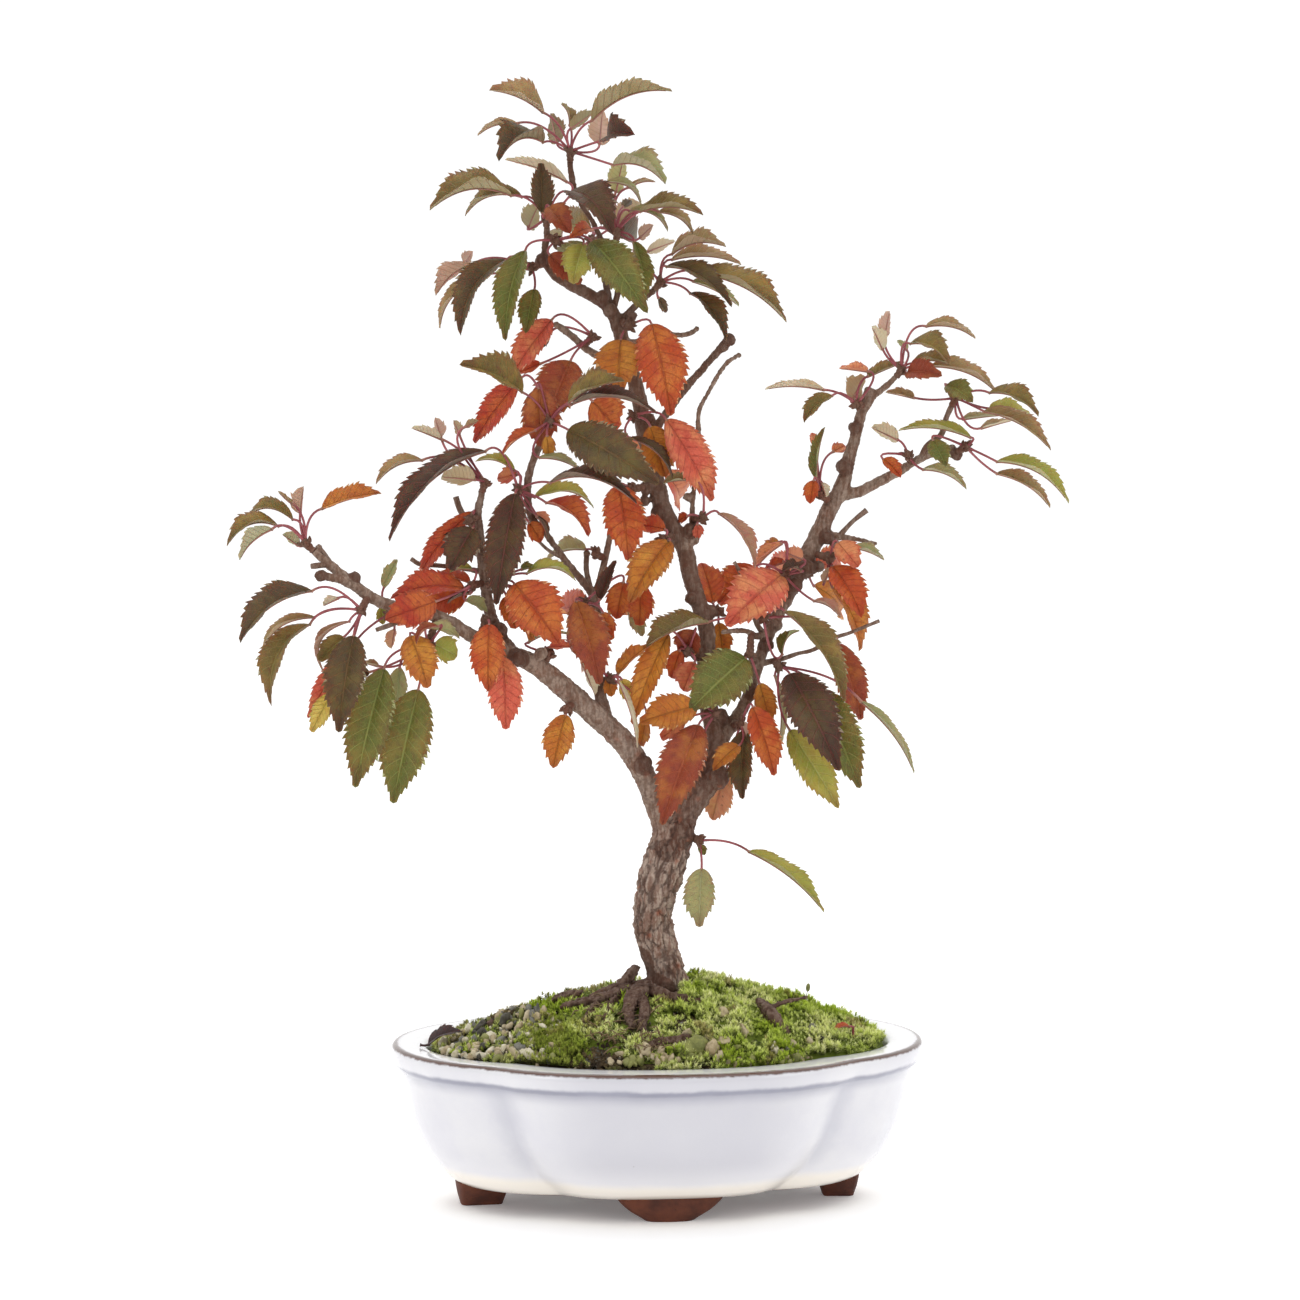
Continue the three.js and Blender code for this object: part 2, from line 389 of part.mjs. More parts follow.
    [-69, 233.5, -86, 227, -12, 14, 14, 0.05, 13, "orange"],
    [-68, 237, -83.5, 238.7, -15, 60, 25, 0.08, 9, "orange"],
    [-68, 233, -77, 229.5, 10, 70, 35, 0.1, 4, "dark"],
    [-70, 230.5, -61.5, 226, -15, 50, 25, 0.05, 8, "sage"],
  ] },
  upright_high: { spur: [-68, 261, -13], tone: "dark", leaves: [
    [-67, 258, -76, 242, 16, 12, 16, 0.05, 15, "dark"],
    [-67, 264, -88, 238.5, -14, 22, 18, 0.16, 9, "red"],
  ] },
  branch_low: { spur: [-62, 222.5, -19], tone: "coral", leaves: [
    [-61, 221.5, -61.5, 195.7, 14, 8, 14, 0.06, 14, "orange"],
    [-56, 209, -54.7, 181, 4, 8, 14, 0.04, 14, "coral"],
  ] },
  left_green: { spur: [-84, 213.5, -31], tone: "green", leaves: [
    [-91, 217, -84.5, 197, 18, 14, 14, 0.08, 14.5, "gold"],
    [-88, 196.5, -98, 153, 16, 8, 16, 0.04, 20, "green"],
    [-101, 204.5, -112.5, 159, 12, 10, 16, 0.04, 18, "green"],
    [-95, 205, -96.5, 190, -20, 12, 14, 0, 8, "sage"],
    [-82, 214, -73, 209, -20, 18, 15, 0, 11, "lime"],
    [-84, 220, -72, 216, -28, 50, 25, 0.1, 8, "sage"],
    [-80, 220.5, -89, 214, 5, 60, 30, 0.25, 6, "rust"],
  ] },
  left_bronze: { spur: [-109.5, 226.5, -33], tone: "bronze", leaves: [
    [-128, 234, -156, 215, 14, 60, 26, 0.14, 19, "bronze"],
    [-129, 221.3, -144.5, 190.5, 16, 46, 26, 0.24, 14, "olive"],
    [-127, 224, -148, 208.5, -14, 70, 32, 0.2, 7, "tan"],
    [-114, 222.5, -124, 202, -8, 80, 34, 0.3, 6, "rose"],
    [-112.5, 217, -118.5, 180.3, 24, 12, 18, 0.06, 16.5, "bronze"],
    [-116, 216.5, -126, 207.5, 5, 15, 15, 0, 9, "olive"],
    [-121, 195, -129, 180, -18, 15, 15, 0, 8, "yellow"],
  ] },
  left_coral: { spur: [-99, 225, -18], tone: "coral", leaves: [
    [-112.5, 213.5, -130.5, 185.5, 6, 22, 18, 0.04, 9, "coral"],
    [-101, 235, -96, 246, -12, 30, 25, 0, 6, "sage"],
  ] },
  left_tip: { spur: [-130.5, 252, -28], tone: "olive", leaves: [
    [-124.5, 265, -102, 271.5, 12, 58, 26, 0.04, 13, "gold"],
    [-132.5, 263, -131.5, 273.5, -20, 130, 35, 0, 9, "rose"],
    [-135, 261, -153.5, 261.5, -12, 60, 28, 0.26, 10, "olive"],
    [-140.5, 258.5, -160.5, 251.5, 16, 62, 28, 0.24, 12, "olive"],
    [-143, 257.5, -156, 246, 26, 120, 28, 0.1, 10, "sage"],
  ] },
  branch_gold: { spur: [-31.5, 188.8, -15], tone: "gold", leaves: [
    [-32, 187, -37, 166.3, 12, 14, 14, 0.04, 12.5, "gold"],
  ] },
  leader_orange: { spur: [-7, 272.5, 16], tone: "orange", leaves: [
    [-12, 274, -8, 245.5, 26, 10, 14, 0.06, 17, "orange"],
  ] },
  leader_gold: { spur: [5, 253.5, 11], tone: "gold", leaves: [
    [7.5, 253, -8, 229.5, 24, 20, 20, 0.1, 16, "gold"],
    [6, 257, -5.5, 259, -15, 40, 20, 0.05, 10, "red"],
    [-3.5, 237, -4, 220.5, -8, 10, 14, 0, 12, "orange"],
    [-8, 229, -2.5, 216.5, -20, 25, 20, 0, 8, "sage"],
  ] },
  leader_right: { spur: [26.5, 226, 16], tone: "orange", leaves: [
    [24, 229, 19.5, 245, -28, 12, 14, 0.04, 13, "orange"],
    [26, 222, 28, 207.5, -10, 14, 14, 0, 9, "gold"],
  ] },
  back_crown: { spur: [-22, 366, 37], tone: "olive", leaves: [
    [-22, 370, -34, 366, -70, 62, 28, 0.14, 17, "olive"],
    [-18, 371, -6, 360, -68, 60, 28, 0.12, 18, "bronze"],
    [-24, 365, -28, 353, -66, 50, 26, 0.12, 16, "green"],
    [-12, 372, 3, 377, -62, 70, 30, 0.1, 15, "tan"],
  ] },
  back_mid: { spur: [-20.5, 222, 12], tone: "orange", leaves: [
    [-22, 226, -36, 222, -66, 60, 28, 0.12, 17, "orange"],
    [-16, 225, -6, 222, -70, 60, 28, 0.12, 16, "gold"],
    [-21, 218, -24, 206, -66, 50, 26, 0.12, 15, "rust"],
  ] },
  back_leader: { spur: [4, 283, 32], tone: "gold", leaves: [
    [6, 286, 16, 282, -68, 62, 28, 0.12, 16, "gold"],
    [0, 285, -10, 279, -70, 60, 28, 0.12, 17, "orange"],
    [5, 279, 10, 267, -62, 45, 26, 0.12, 15, "coral"],
  ] },
  back_right: { spur: [60, 240.5, 42], tone: "orange", leaves: [
    [62, 243, 74, 238, -66, 62, 28, 0.12, 17, "orange"],
    [57, 243, 46, 236, -66, 60, 28, 0.12, 16, "coral"],
    [62, 236, 72, 224, -58, 45, 26, 0.12, 15, "gold"],
  ] },
  trunk_sprout: { spur: [18.8, 138.5, -5], tone: "lime", leaves: [
    [19.7, 128, 18.8, 105.3, 18, 15, 14, 0.03, 13, "sage"],
    [37.5, 134.5, 67, 112, 10, 66, 30, 0.06, 12, "lime"],
  ] },
};

const TONES = {
  olive: 0x6b6136, bronze: 0x5d4a38, dark: 0x4a4232, green: 0x5f7431, lime: 0x98a04c, sage: 0xa3aa7c,
  gold: 0xc08a3c, yellow: 0xcdb04a, tan: 0xa38a66, orange: 0xc8692c, coral: 0xc9614a, red: 0xb5442f,
  rust: 0x9a4a33, rose: 0xb98a80, salmon: 0xdd9a78, pale: 0xd9cdb6,
};

// Mesh and solid helpers

function signedVolume(points, faces) {
  const cross = new THREE.Vector3();
  let sum = 0;
  for (const [a, b, c] of faces) {
    sum += points[a].dot(cross.crossVectors(points[b], points[c]));
  }
  return sum / 6;
}

function closedSolid(points, faces) {
  const outward = signedVolume(points, faces) > 0;
  const geometry = new THREE.BufferGeometry().setFromPoints(points);
  geometry.setIndex(faces.flatMap(([a, b, c]) => (outward ? [a, b, c] : [a, c, b])));
  return toSolid(geometry);
}

function toSolid(geometry) {
  const bare = geometry.clone();
  bare.deleteAttribute("normal");
  bare.deleteAttribute("uv");
  const merged = mergeVertices(bare, 1e-4);
  return new wasm.Manifold(new wasm.Mesh({
    numProp: 3,
    vertProperties: new Float32Array(merged.attributes.position.array),
    triVerts: new Uint32Array(merged.index.array),
  }));
}

function toMesh(name, solid, colour, roughness) {
  const { numProp, vertProperties, triVerts } = solid.getMesh();
  const places = new Float32Array((vertProperties.length / numProp) * 3);
  for (let i = 0; i < places.length / 3; i += 1) {
    places.set(vertProperties.subarray(i * numProp, i * numProp + 3), i * 3);
  }
  const geometry = new THREE.BufferGeometry();
  geometry.setAttribute("position", new THREE.BufferAttribute(places, 3));
  geometry.setIndex(new THREE.BufferAttribute(triVerts.slice(), 1));
  geometry.computeVertexNormals();
  const material = new THREE.MeshStandardMaterial({ color: colour, roughness, metalness: 0 });
  const mesh = new THREE.Mesh(geometry, material);
  mesh.name = name;
  return mesh;
}

// Closes a stack of rings into one body, with a fan at each end.
function loft(rings, first, last) {
  const sides = rings[0].length;
  const points = [...rings.flat(), first, last];
  const start = points.length - 2;
  const end = points.length - 1;
  const faces = [];
  for (let i = 0; i < sides; i += 1) {
    const next = (i + 1) % sides;
    faces.push([start, next, i]);
    for (let ring = 0; ring < rings.length - 1; ring += 1) {
      const low = ring * sides;
      const high = low + sides;
      faces.push([low + i, low + next, high + next], [low + i, high + next, high + i]);
    }
    const top = (rings.length - 1) * sides;
    faces.push([end, top + i, top + next]);
  }
  return closedSolid(points, faces);
}

// A round stem through the centres, with its own radius at each. Both ends can reach out farther.
function stem(line, radii, sides, relief = () => 0, reach = 0) {
  let across = new THREE.Vector3(0, 1, 0);
  const centres = line.map((centre, i) => {
    const inward = i === 0 ? line[1] : line[line.length - 2];
    const isEnd = i === 0 || i === line.length - 1;
    return isEnd ? centre.clone().addScaledVector(centre.clone().sub(inward).normalize(), reach) : centre;
  });
  const rings = centres.map((centre, i) => {
    const before = centres[Math.max(i - 1, 0)];
    const after = centres[Math.min(i + 1, centres.length - 1)];
    const along = after.clone().sub(before).normalize();
    across = across.clone().addScaledVector(along, -across.dot(along)).normalize();
    const third = new THREE.Vector3().crossVectors(along, across);
    return Array.from({ length: sides }, (_, side) => {
      const turn = (side / sides) * Math.PI * 2;
      const radius = radii[i] * (1 + relief(turn, i));
      return centre.clone()
        .addScaledVector(across, Math.cos(turn) * radius)
        .addScaledVector(third, Math.sin(turn) * radius);
    });
  });
  return loft(rings, centres[0], centres[centres.length - 1]);
}

function knob(centre, radius) {
  const geometry = new THREE.OctahedronGeometry(radius * 1.15, 0);
  geometry.rotateZ(centre.x);
  geometry.rotateX(centre.z);
  geometry.translate(centre.x, centre.y, centre.z);
  return toSolid(geometry);
}

function joined(solids) {
  return solids.reduce((whole, next) => whole.add(next));
}

// Trunk and branches, all one grown body

function woodSolid(extra) {
  const parts = Object.values(WOOD).map(({ sides, line }) => {
    const centres = line.map(([x, z, depth]) => place(x, z, depth));
    const radii = line.map(([, , , radius]) => radius + extra);
    const relief = (turn, i) => (sides > 7 ? 0.07 * Math.sin(3 * turn + i * 1.7) : 0);
    return stem(centres, radii, sides, relief, extra);
  });
  const knobs = KNOBS.map(([x, z, depth, radius]) => knob(place(x, z, depth), radius + 2 * extra));
  return joined([...parts, ...knobs]).simplify(WOOD_TRIM);
}

function nearestWood(point) {
  let best = null;
  for (const { line } of Object.values(WOOD)) {
    for (let i = 0; i < line.length - 1; i += 1) {
      const a = place(...line[i].slice(0, 3));
      const b = place(...line[i + 1].slice(0, 3));
      const spot = new THREE.Line3(a, b).closestPointToPoint(point, true, new THREE.Vector3());
      const away = spot.distanceTo(point);
      if (best === null || away < best.away) {
        best = { away, spot };
      }
    }
  }
  return best.spot;
}

// Leaves

// Half the width of a blade at a share of its length: a rounded foot, a drawn-out tip.
const WIDEST = 0.46;
const FOOT_POWER = 0.6;
const TIP_POWER = 0.75;
function halfWidth(share) {
  return (share / WIDEST) ** FOOT_POWER * ((1 - share) / (1 - WIDEST)) ** TIP_POWER;
}

// Where one leaf lies: its foot, its tip, the way its upper side looks and its sideways axis.
function leafFrame(spur, row, shift) {
  const [footX, footZ, tipX, tipZ, swing, face] = row;
  const lean = Math.tan(THREE.MathUtils.degToRad(swing));
  const stalkSpan = Math.hypot(footX - spur[0], footZ - spur[1]);
  const bladeSpan = Math.hypot(tipX - footX, tipZ - footZ);
  const footDepth = spur[2] - lean * stalkSpan * 0.6 + shift[0];
  const tipDepth = footDepth - lean * bladeSpan + shift[1];
  const foot = place(footX, footZ, footDepth);
  const tip = place(tipX, tipZ, tipDepth);
  const along = tip.clone().sub(foot).normalize();
  const view = EYE.clone().sub(foot.clone().add(tip).multiplyScalar(0.5)).normalize();
  view.addScaledVector(along, -view.dot(along)).normalize();
  const up = new THREE.Vector3().crossVectors(along, view);
  if (up.z < 0) {
    up.negate();
  }
  const roll = THREE.MathUtils.degToRad(face);
  const upper = view.multiplyScalar(Math.cos(roll)).addScaledVector(up, Math.sin(roll));
  const side = new THREE.Vector3().crossVectors(along, upper);
  return { foot, tip, along, upper, side, length: foot.distanceTo(tip) };
}

function bladePoint(frame, row, share, across, lift) {
  const [, , , , , , foldDegrees, bow, width] = row;
  const fold = THREE.MathUtils.degToRad(foldDegrees);
  const arch = 4 * bow * frame.length * share * (1 - share);
  const reach = across * width * 0.5;
  return frame.foot.clone()
    .addScaledVector(frame.along, frame.length * share)
    .addScaledVector(frame.side, reach * Math.cos(fold))
    .addScaledVector(frame.upper, arch + Math.abs(reach) * Math.sin(fold) + lift);
}

function toothCount(length) {
  if (length > LONG_LEAF) {
    return 3;
  }
  return length > SHORT_LEAF ? 2 : 1;
}

// One leaf from its bud: a three-cornered stalk that bends into line with the midrib and opens
// into the toothed blade. Upper and under side share the margin, so the blade thins out to it.
function leafSolid(frame, row, start) {
  const teeth = toothCount(frame.length);
  const margin = [];
  for (let tooth = 0; tooth < teeth; tooth += 1) {
    const tipShare = (tooth + TOOTH_TIP) / (teeth + 0.35);
    const notchShare = (tooth + TOOTH_END) / (teeth + 0.35);
    margin.push([tipShare, halfWidth(tipShare)], [notchShare, halfWidth(notchShare) * NOTCH_DEPTH]);
  }
  const ribShares = teeth < 3 ? [0.5] : [0.33, 0.68];
  const points = [];
  const faces = [];
  const add = (point) => points.push(point) - 1;
  const quad = (a, b, c, d) => faces.push([a, b, c], [a, c, d]);

  const span = start.distanceTo(frame.foot);
  const bend = frame.foot.clone().addScaledVector(frame.along, -0.45 * span);
  const curve = new THREE.QuadraticBezierCurve3(start, bend, frame.foot);
  const steps = span > LONG_STALK ? 2 : 1;
  const rings = Array.from({ length: steps + 1 }, (_, i) => {
    const centre = curve.getPoint(i / steps);
    const turn = new THREE.Quaternion().setFromUnitVectors(frame.along, curve.getTangent(i / steps));
    const across = frame.side.clone().applyQuaternion(turn).multiplyScalar(STALK_RADIUS);
    const over = frame.upper.clone().applyQuaternion(turn).multiplyScalar(STALK_RADIUS);
    return [
      add(centre.clone().add(across).addScaledVector(over, 0.4)),
      add(centre.clone().sub(across).addScaledVector(over, 0.4)),
      add(centre.clone().sub(over)),
    ];
  });
  faces.push(rings[0]);
  for (let i = 0; i < steps; i += 1) {
    for (let corner = 0; corner < 3; corner += 1) {
      const next = (corner + 1) % 3;
      quad(rings[i][corner], rings[i + 1][corner], rings[i + 1][next], rings[i][next]);
    }
  }

  const [right, left, below] = rings[steps];
  const tip = add(frame.tip.clone());
  const upperRib = ribShares.map((share) => add(bladePoint(frame, row, share, 0, 0)));
  const underRib = ribShares.map((share) => add(bladePoint(frame, row, share, 0, -BLADE_THICKNESS)));
  faces.push([right, upperRib[0], left]);
  for (const [hand, corner] of [[1, right], [-1, left]]) {
    const edge = margin.map(([share, reach]) => add(bladePoint(frame, row, share, hand * reach, 0)));
    const edgeLine = [corner, ...edge, tip];
    const edgeAt = [0, ...margin.map(([share]) => share), 1];
    stitch(faces, [...upperRib, tip], [...ribShares, 1], edgeLine, edgeAt, hand < 0);
    stitch(faces, [below, ...underRib, tip], [0, ...ribShares, 1], edgeLine, edgeAt, hand > 0);
  }
  return closedSolid(points, faces);
}

// Fills the strip between a rib line and a margin line with triangles, in step along the blade.
function stitch(faces, rib, ribAt, edge, edgeAt, turned) {
  let i = 0;
  let j = 0;
  while (i + j < rib.length + edge.length - 3) {
    const alongRib = i < rib.length - 2 && ribAt[i + 1] < edgeAt[j + 1];
    const corners = alongRib ? [rib[i], edge[j], rib[i + 1]] : [rib[i], edge[j], edge[j + 1]];
    faces.push(turned ? corners.reverse() : corners);
    i += alongRib ? 1 : 0;
    j += alongRib ? 0 : 1;
  }
}

function tooClose(body, other) {
  const a = body.boundingBox();
  const b = other.boundingBox();
  const apart = a.min.some((low, axis) => low > b.max[axis] + FIT || b.min[axis] > a.max[axis] + FIT);
  return !apart && body.minGap(other, 2 * FIT) < FIT;
}

// Depth moves tried for a leaf, the smallest first: [of the whole leaf, of its tip alone].
const SHIFTS = [];
for (let whole = -5; whole <= 5; whole += 1) {
  for (let tipMove = -5; tipMove <= 5; tipMove += 1) {
    SHIFTS.push([whole * NUDGE, tipMove * NUDGE]);
  }
}
SHIFTS.sort((a, b) => Math.hypot(...a) - Math.hypot(...b) || a[0] - b[0] || a[1] - b[1]);

const wood = woodSolid(0);
const woodClear = woodSolid(FIT * 1.2);
const placed = [];

// The bud of a spray on its short spur, which ends just clear of the branch.
function budSolid(spur) {
  const spurPoint = place(...spur);
  const shoot = stem([nearestWood(spurPoint), spurPoint], [BUD_RADIUS * 0.6, BUD_RADIUS * 0.7], 4);
  const pieces = shoot.add(knob(spurPoint, BUD_RADIUS)).subtract(woodClear).decompose();
  return pieces.reduce((largest, piece) => (piece.volume() > largest.volume() ? piece : largest));
}

// The leaf in the first place where it is clear of the wood and of all that is placed already.
function seatLeaf(name, spur, row, ownBlades) {
  const start = place(...spur);
  for (const shift of SHIFTS) {
    const frame = leafFrame(spur, row, shift);
    const leaf = leafSolid(frame, row, start);
    const blade = leafSolid(frame, row, frame.foot.clone().addScaledVector(frame.along, -1));
    const clear = !tooClose(leaf, wood)
      && !placed.some(({ owner, body }) => owner !== name && tooClose(leaf, body))
      && !ownBlades.some((other) => tooClose(blade, other));
    if (clear) {
      return { leaf, blade };
    }
  }
  throw new Error(`no clear place for a leaf of ${name}: ${row.join(" ")}`);
}

// All buds come first, so that no leaf crosses the bud of another spray.
function growSprays() {
  const buds = Object.entries(SPRAYS).map(([name, { spur }]) => [name, budSolid(spur)]);
  placed.push(...buds.map(([owner, body]) => ({ owner, body })));
  return buds.map(([name, bud]) => {
    const { spur, leaves } = SPRAYS[name];
    const ownBlades = [];
    const grown = [bud];
    for (const row of leaves) {
      const { leaf, blade } = seatLeaf(name, spur, row, ownBlades);
      ownBlades.push(blade);
      grown.push(leaf);
      placed.push({ owner: name, body: leaf });
    }
    return [name, joined(grown).simplify(TRIM)];
  });
}

// Pot

function potCurve(degrees, inset, crease) {
  const turn = THREE.MathUtils.degToRad(degrees);
  const halfLength = RIM_HALF_LENGTH - inset;
  const halfDepth = RIM_HALF_DEPTH - inset * 1.35;
  let reach = 1 / Math.hypot(Math.cos(turn) / halfLength, Math.sin(turn) / halfDepth);
  for (const angle of CREASE_ANGLES) {
    const off = ((degrees - angle + 540) % 360) - 180;
    reach -= crease * Math.exp(-((off / CREASE_SPREAD) ** 2));
  }
  return new THREE.Vector2(
    POT_CENTRE[0] + reach * Math.cos(turn + POT_TURN),
    POT_CENTRE[1] + reach * Math.sin(turn + POT_TURN),
  );
}

function potRing(inset, z, crease, sides = POT_SIDES) {
  return Array.from({ length: sides }, (_, i) => {
    const spot = potCurve((i * 360) / sides, inset, crease);
    return new THREE.Vector3(spot.x, spot.y, z);
  });
}

function potSolid() {
  const lipBottom = RIM_TOP - LIP_HEIGHT;
  const outside = [
    potRing(38, BASE_BOTTOM, 3), potRing(26, BASE_BOTTOM + 1, 6), potRing(21, BASE_BOTTOM + 4, 8),
    potRing(13.5, 21, 8), potRing(8.5, 32, 7.5), potRing(5.8, 43, 6.5), potRing(4, lipBottom - 3, 4.8),
    potRing(1, lipBottom + 1, 4), potRing(0, lipBottom + 4, 3.5), potRing(0.8, RIM_TOP - 0.6, 3.5),
  ];
  const inside = [
    potRing(2, RIM_TOP, 3.5), potRing(12.5, RIM_TOP - 0.4, 4), potRing(14, RIM_TOP - 4, 4.5),
    potRing(15.5, 32, 5), potRing(23, FLOOR_TOP + 3, 5), potRing(28, FLOOR_TOP, 4),
  ];
  const middle = (z) => new THREE.Vector3(POT_CENTRE[0], POT_CENTRE[1], z);
  const bowl = loft([...outside, ...inside], middle(BASE_BOTTOM), middle(FLOOR_TOP));
  const holes = DRAIN_PLACES.map((x) => {
    const drill = new THREE.CylinderGeometry(DRAIN_RADIUS, DRAIN_RADIUS, 20, 12);
    drill.rotateX(Math.PI / 2);
    const spot = drainSpot(x);
    drill.translate(spot.x, spot.y, (BASE_BOTTOM + FLOOR_TOP) / 2);
    return toSolid(drill);
  });
  return holes.reduce((body, hole) => body.subtract(hole), joined([bowl, ...feet()]));
}

function drainSpot(x) {
  return new THREE.Vector2(
    POT_CENTRE[0] + x * Math.cos(POT_TURN),
    POT_CENTRE[1] + x * Math.sin(POT_TURN),
  );
}

// Four cloud feet under the wall, each drawn in to a flat sole: [angle, inset, length, half width]
const FEET = [[0, 24, 16, 9], [90, 25, 11, 21], [180, 24, 20, 11], [270, 25, 11, 21]];
const FOOT_TOP = BASE_BOTTOM + 2.5;
const FOOT_STEPS = 4;

function feet() {
  return FEET.map(([angle, inset, length, half]) => {
    const layer = (halfWide, shrink, z) => {
      const row = (at, narrow) => Array.from({ length: FOOT_STEPS + 1 }, (_, i) => {
        const offset = (i / FOOT_STEPS - 0.5) * 2 * halfWide * narrow;
        return footPoint(angle, offset, at + 0.08 * Math.abs(offset), z);
      });
      return [...row(inset + shrink, 1), ...row(inset + length - shrink, 0.8).reverse()];
    };
    const rings = [layer(half, 0, FOOT_TOP), layer(half * 0.72, 1, 4), layer(half * 0.45, 2, 0)];
    const centre = (z) => footPoint(angle, 0, inset + length / 2, z);
    return loft(rings, centre(FOOT_TOP), centre(0));
  });
}

function footPoint(angle, offset, inset, z) {
  const onCurve = potCurve(angle, inset, 0);
  const turn = THREE.MathUtils.degToRad(angle) + POT_TURN;
  return new THREE.Vector3(onCurve.x - Math.sin(turn) * offset, onCurve.y + Math.cos(turn) * offset, z);
}

// Drain screens: thin perforated squares over the drain holes, under the soil.
const SCREEN_SIZE = 22;
const SCREEN_THICKNESS = 1.2;
const SCREEN_OPENING = 6.5;
function screenSolid(x) {
  const sheet = toSolid(new THREE.BoxGeometry(SCREEN_SIZE, SCREEN_SIZE, SCREEN_THICKNESS));
  const openings = [-5, 5].flatMap((column) => [-5, 5].map((row) => {
    const opening = new THREE.BoxGeometry(SCREEN_OPENING, SCREEN_OPENING, 2 * SCREEN_THICKNESS);
    opening.translate(column, row, 0);
    return toSolid(opening);
  }));
  const spot = drainSpot(x);
  return openings.reduce((plate, opening) => plate.subtract(opening), sheet)
    .rotate([0, 0, THREE.MathUtils.radToDeg(POT_TURN)])
    .translate([spot.x, spot.y, FLOOR_TOP + FIT + SCREEN_THICKNESS / 2]);
}

// Soil: fills the pot, crowned towards the trunk, with a plain hole for the foot of the trunk.
function soilHeight(share, degrees) {
  const crown = (SOIL_CROWN - SOIL_EDGE) * (1 - share ** SOIL_BOW);
  const lumps = 0.8 * Math.sin(3 * share * 5 + degrees * 0.07) * Math.sin(degrees * 0.11 + 1) * share * (1.1 - share);
  return SOIL_EDGE + crown + lumps * 2;
}

function soilSpot(share, degrees) {
  const turn = THREE.MathUtils.degToRad(degrees) + POT_TURN;
  const edge = potCurve(degrees, SOIL_INSET, 4.5);
  const hole = new THREE.Vector2(
    TRUNK_FOOT[0] + TRUNK_HOLE_RADIUS * Math.cos(turn),
    TRUNK_FOOT[1] + TRUNK_HOLE_RADIUS * Math.sin(turn),
  );
  return hole.lerp(edge, share);
}

function soilPoint(share, degrees, lift = 0) {
  const spot = soilSpot(share, degrees);
  return new THREE.Vector3(spot.x, spot.y, soilHeight(share, degrees) + lift);
}

const SOIL_SHARES = [0, 0.22, 0.46, 0.7, 0.88, 1];
const SOIL_HOLE_BOTTOM = 67.6;
const spokeAngle = (i) => (i * 360) / SOIL_SPOKES;

function soilSolid() {
  const ring = (make) => Array.from({ length: SOIL_SPOKES }, (_, i) => make(spokeAngle(i)));
  const wallRing = (inset, crease, z) => ring((degrees) => {
    const spot = potCurve(degrees, inset, crease);
    return new THREE.Vector3(spot.x, spot.y, z);
  });
  const bottom = FLOOR_TOP + FIT;
  const rings = [
    ring((degrees) => soilSpot(0, degrees)).map((spot) => new THREE.Vector3(spot.x, spot.y, SOIL_HOLE_BOTTOM)),
    ...SOIL_SHARES.map((share) => ring((degrees) => soilPoint(share, degrees))),
    wallRing(16.6, 5.4, 32), wallRing(24.8, 5.4, FLOOR_TOP + 3.8), wallRing(30, 5, bottom),
  ];
  const holeCentre = new THREE.Vector3(TRUNK_FOOT[0], TRUNK_FOOT[1], SOIL_HOLE_BOTTOM);
  const floorCentre = new THREE.Vector3(POT_CENTRE[0], POT_CENTRE[1], bottom);
  const fill = loft(rings, holeCentre, floorCentre);
  const pockets = DRAIN_PLACES.map((x) => {
    const size = SCREEN_SIZE + 2 * FIT;
    const pocket = new THREE.BoxGeometry(size, size, 2 * (SCREEN_THICKNESS + 2 * FIT));
    pocket.rotateZ(POT_TURN);
    const spot = drainSpot(x);
    pocket.translate(spot.x, spot.y, FLOOR_TOP + FIT);
    return toSolid(pocket);
  });
  const hollowed = pockets.reduce((body, pocket) => body.subtract(pocket), fill);
  return joined([hollowed, ...pebbles()]).subtract(woodClear).simplify(TRIM);
}

// Loose grit pressed into the soil where no moss grows: [share, spoke angle, radius]
const PEBBLES = [
  [0.88, 196, 3.6], [0.78, 205, 3.2], [0.68, 192, 3.2], [0.5, 200, 2.8], [0.84, 281, 3.6], [0.7, 277, 3.2],
  [0.56, 279, 3],
];
function pebbles() {
  return PEBBLES.map(([share, degrees, radius]) => {
    const stone = new THREE.OctahedronGeometry(radius * 1.1, 0);
    stone.scale(1.15, 0.9, 0.75);
    stone.rotateZ(degrees);
    const spot = soilPoint(share, degrees, radius * 0.25);
    stone.translate(spot.x, spot.y, spot.z);
    return toSolid(stone);
  });
}

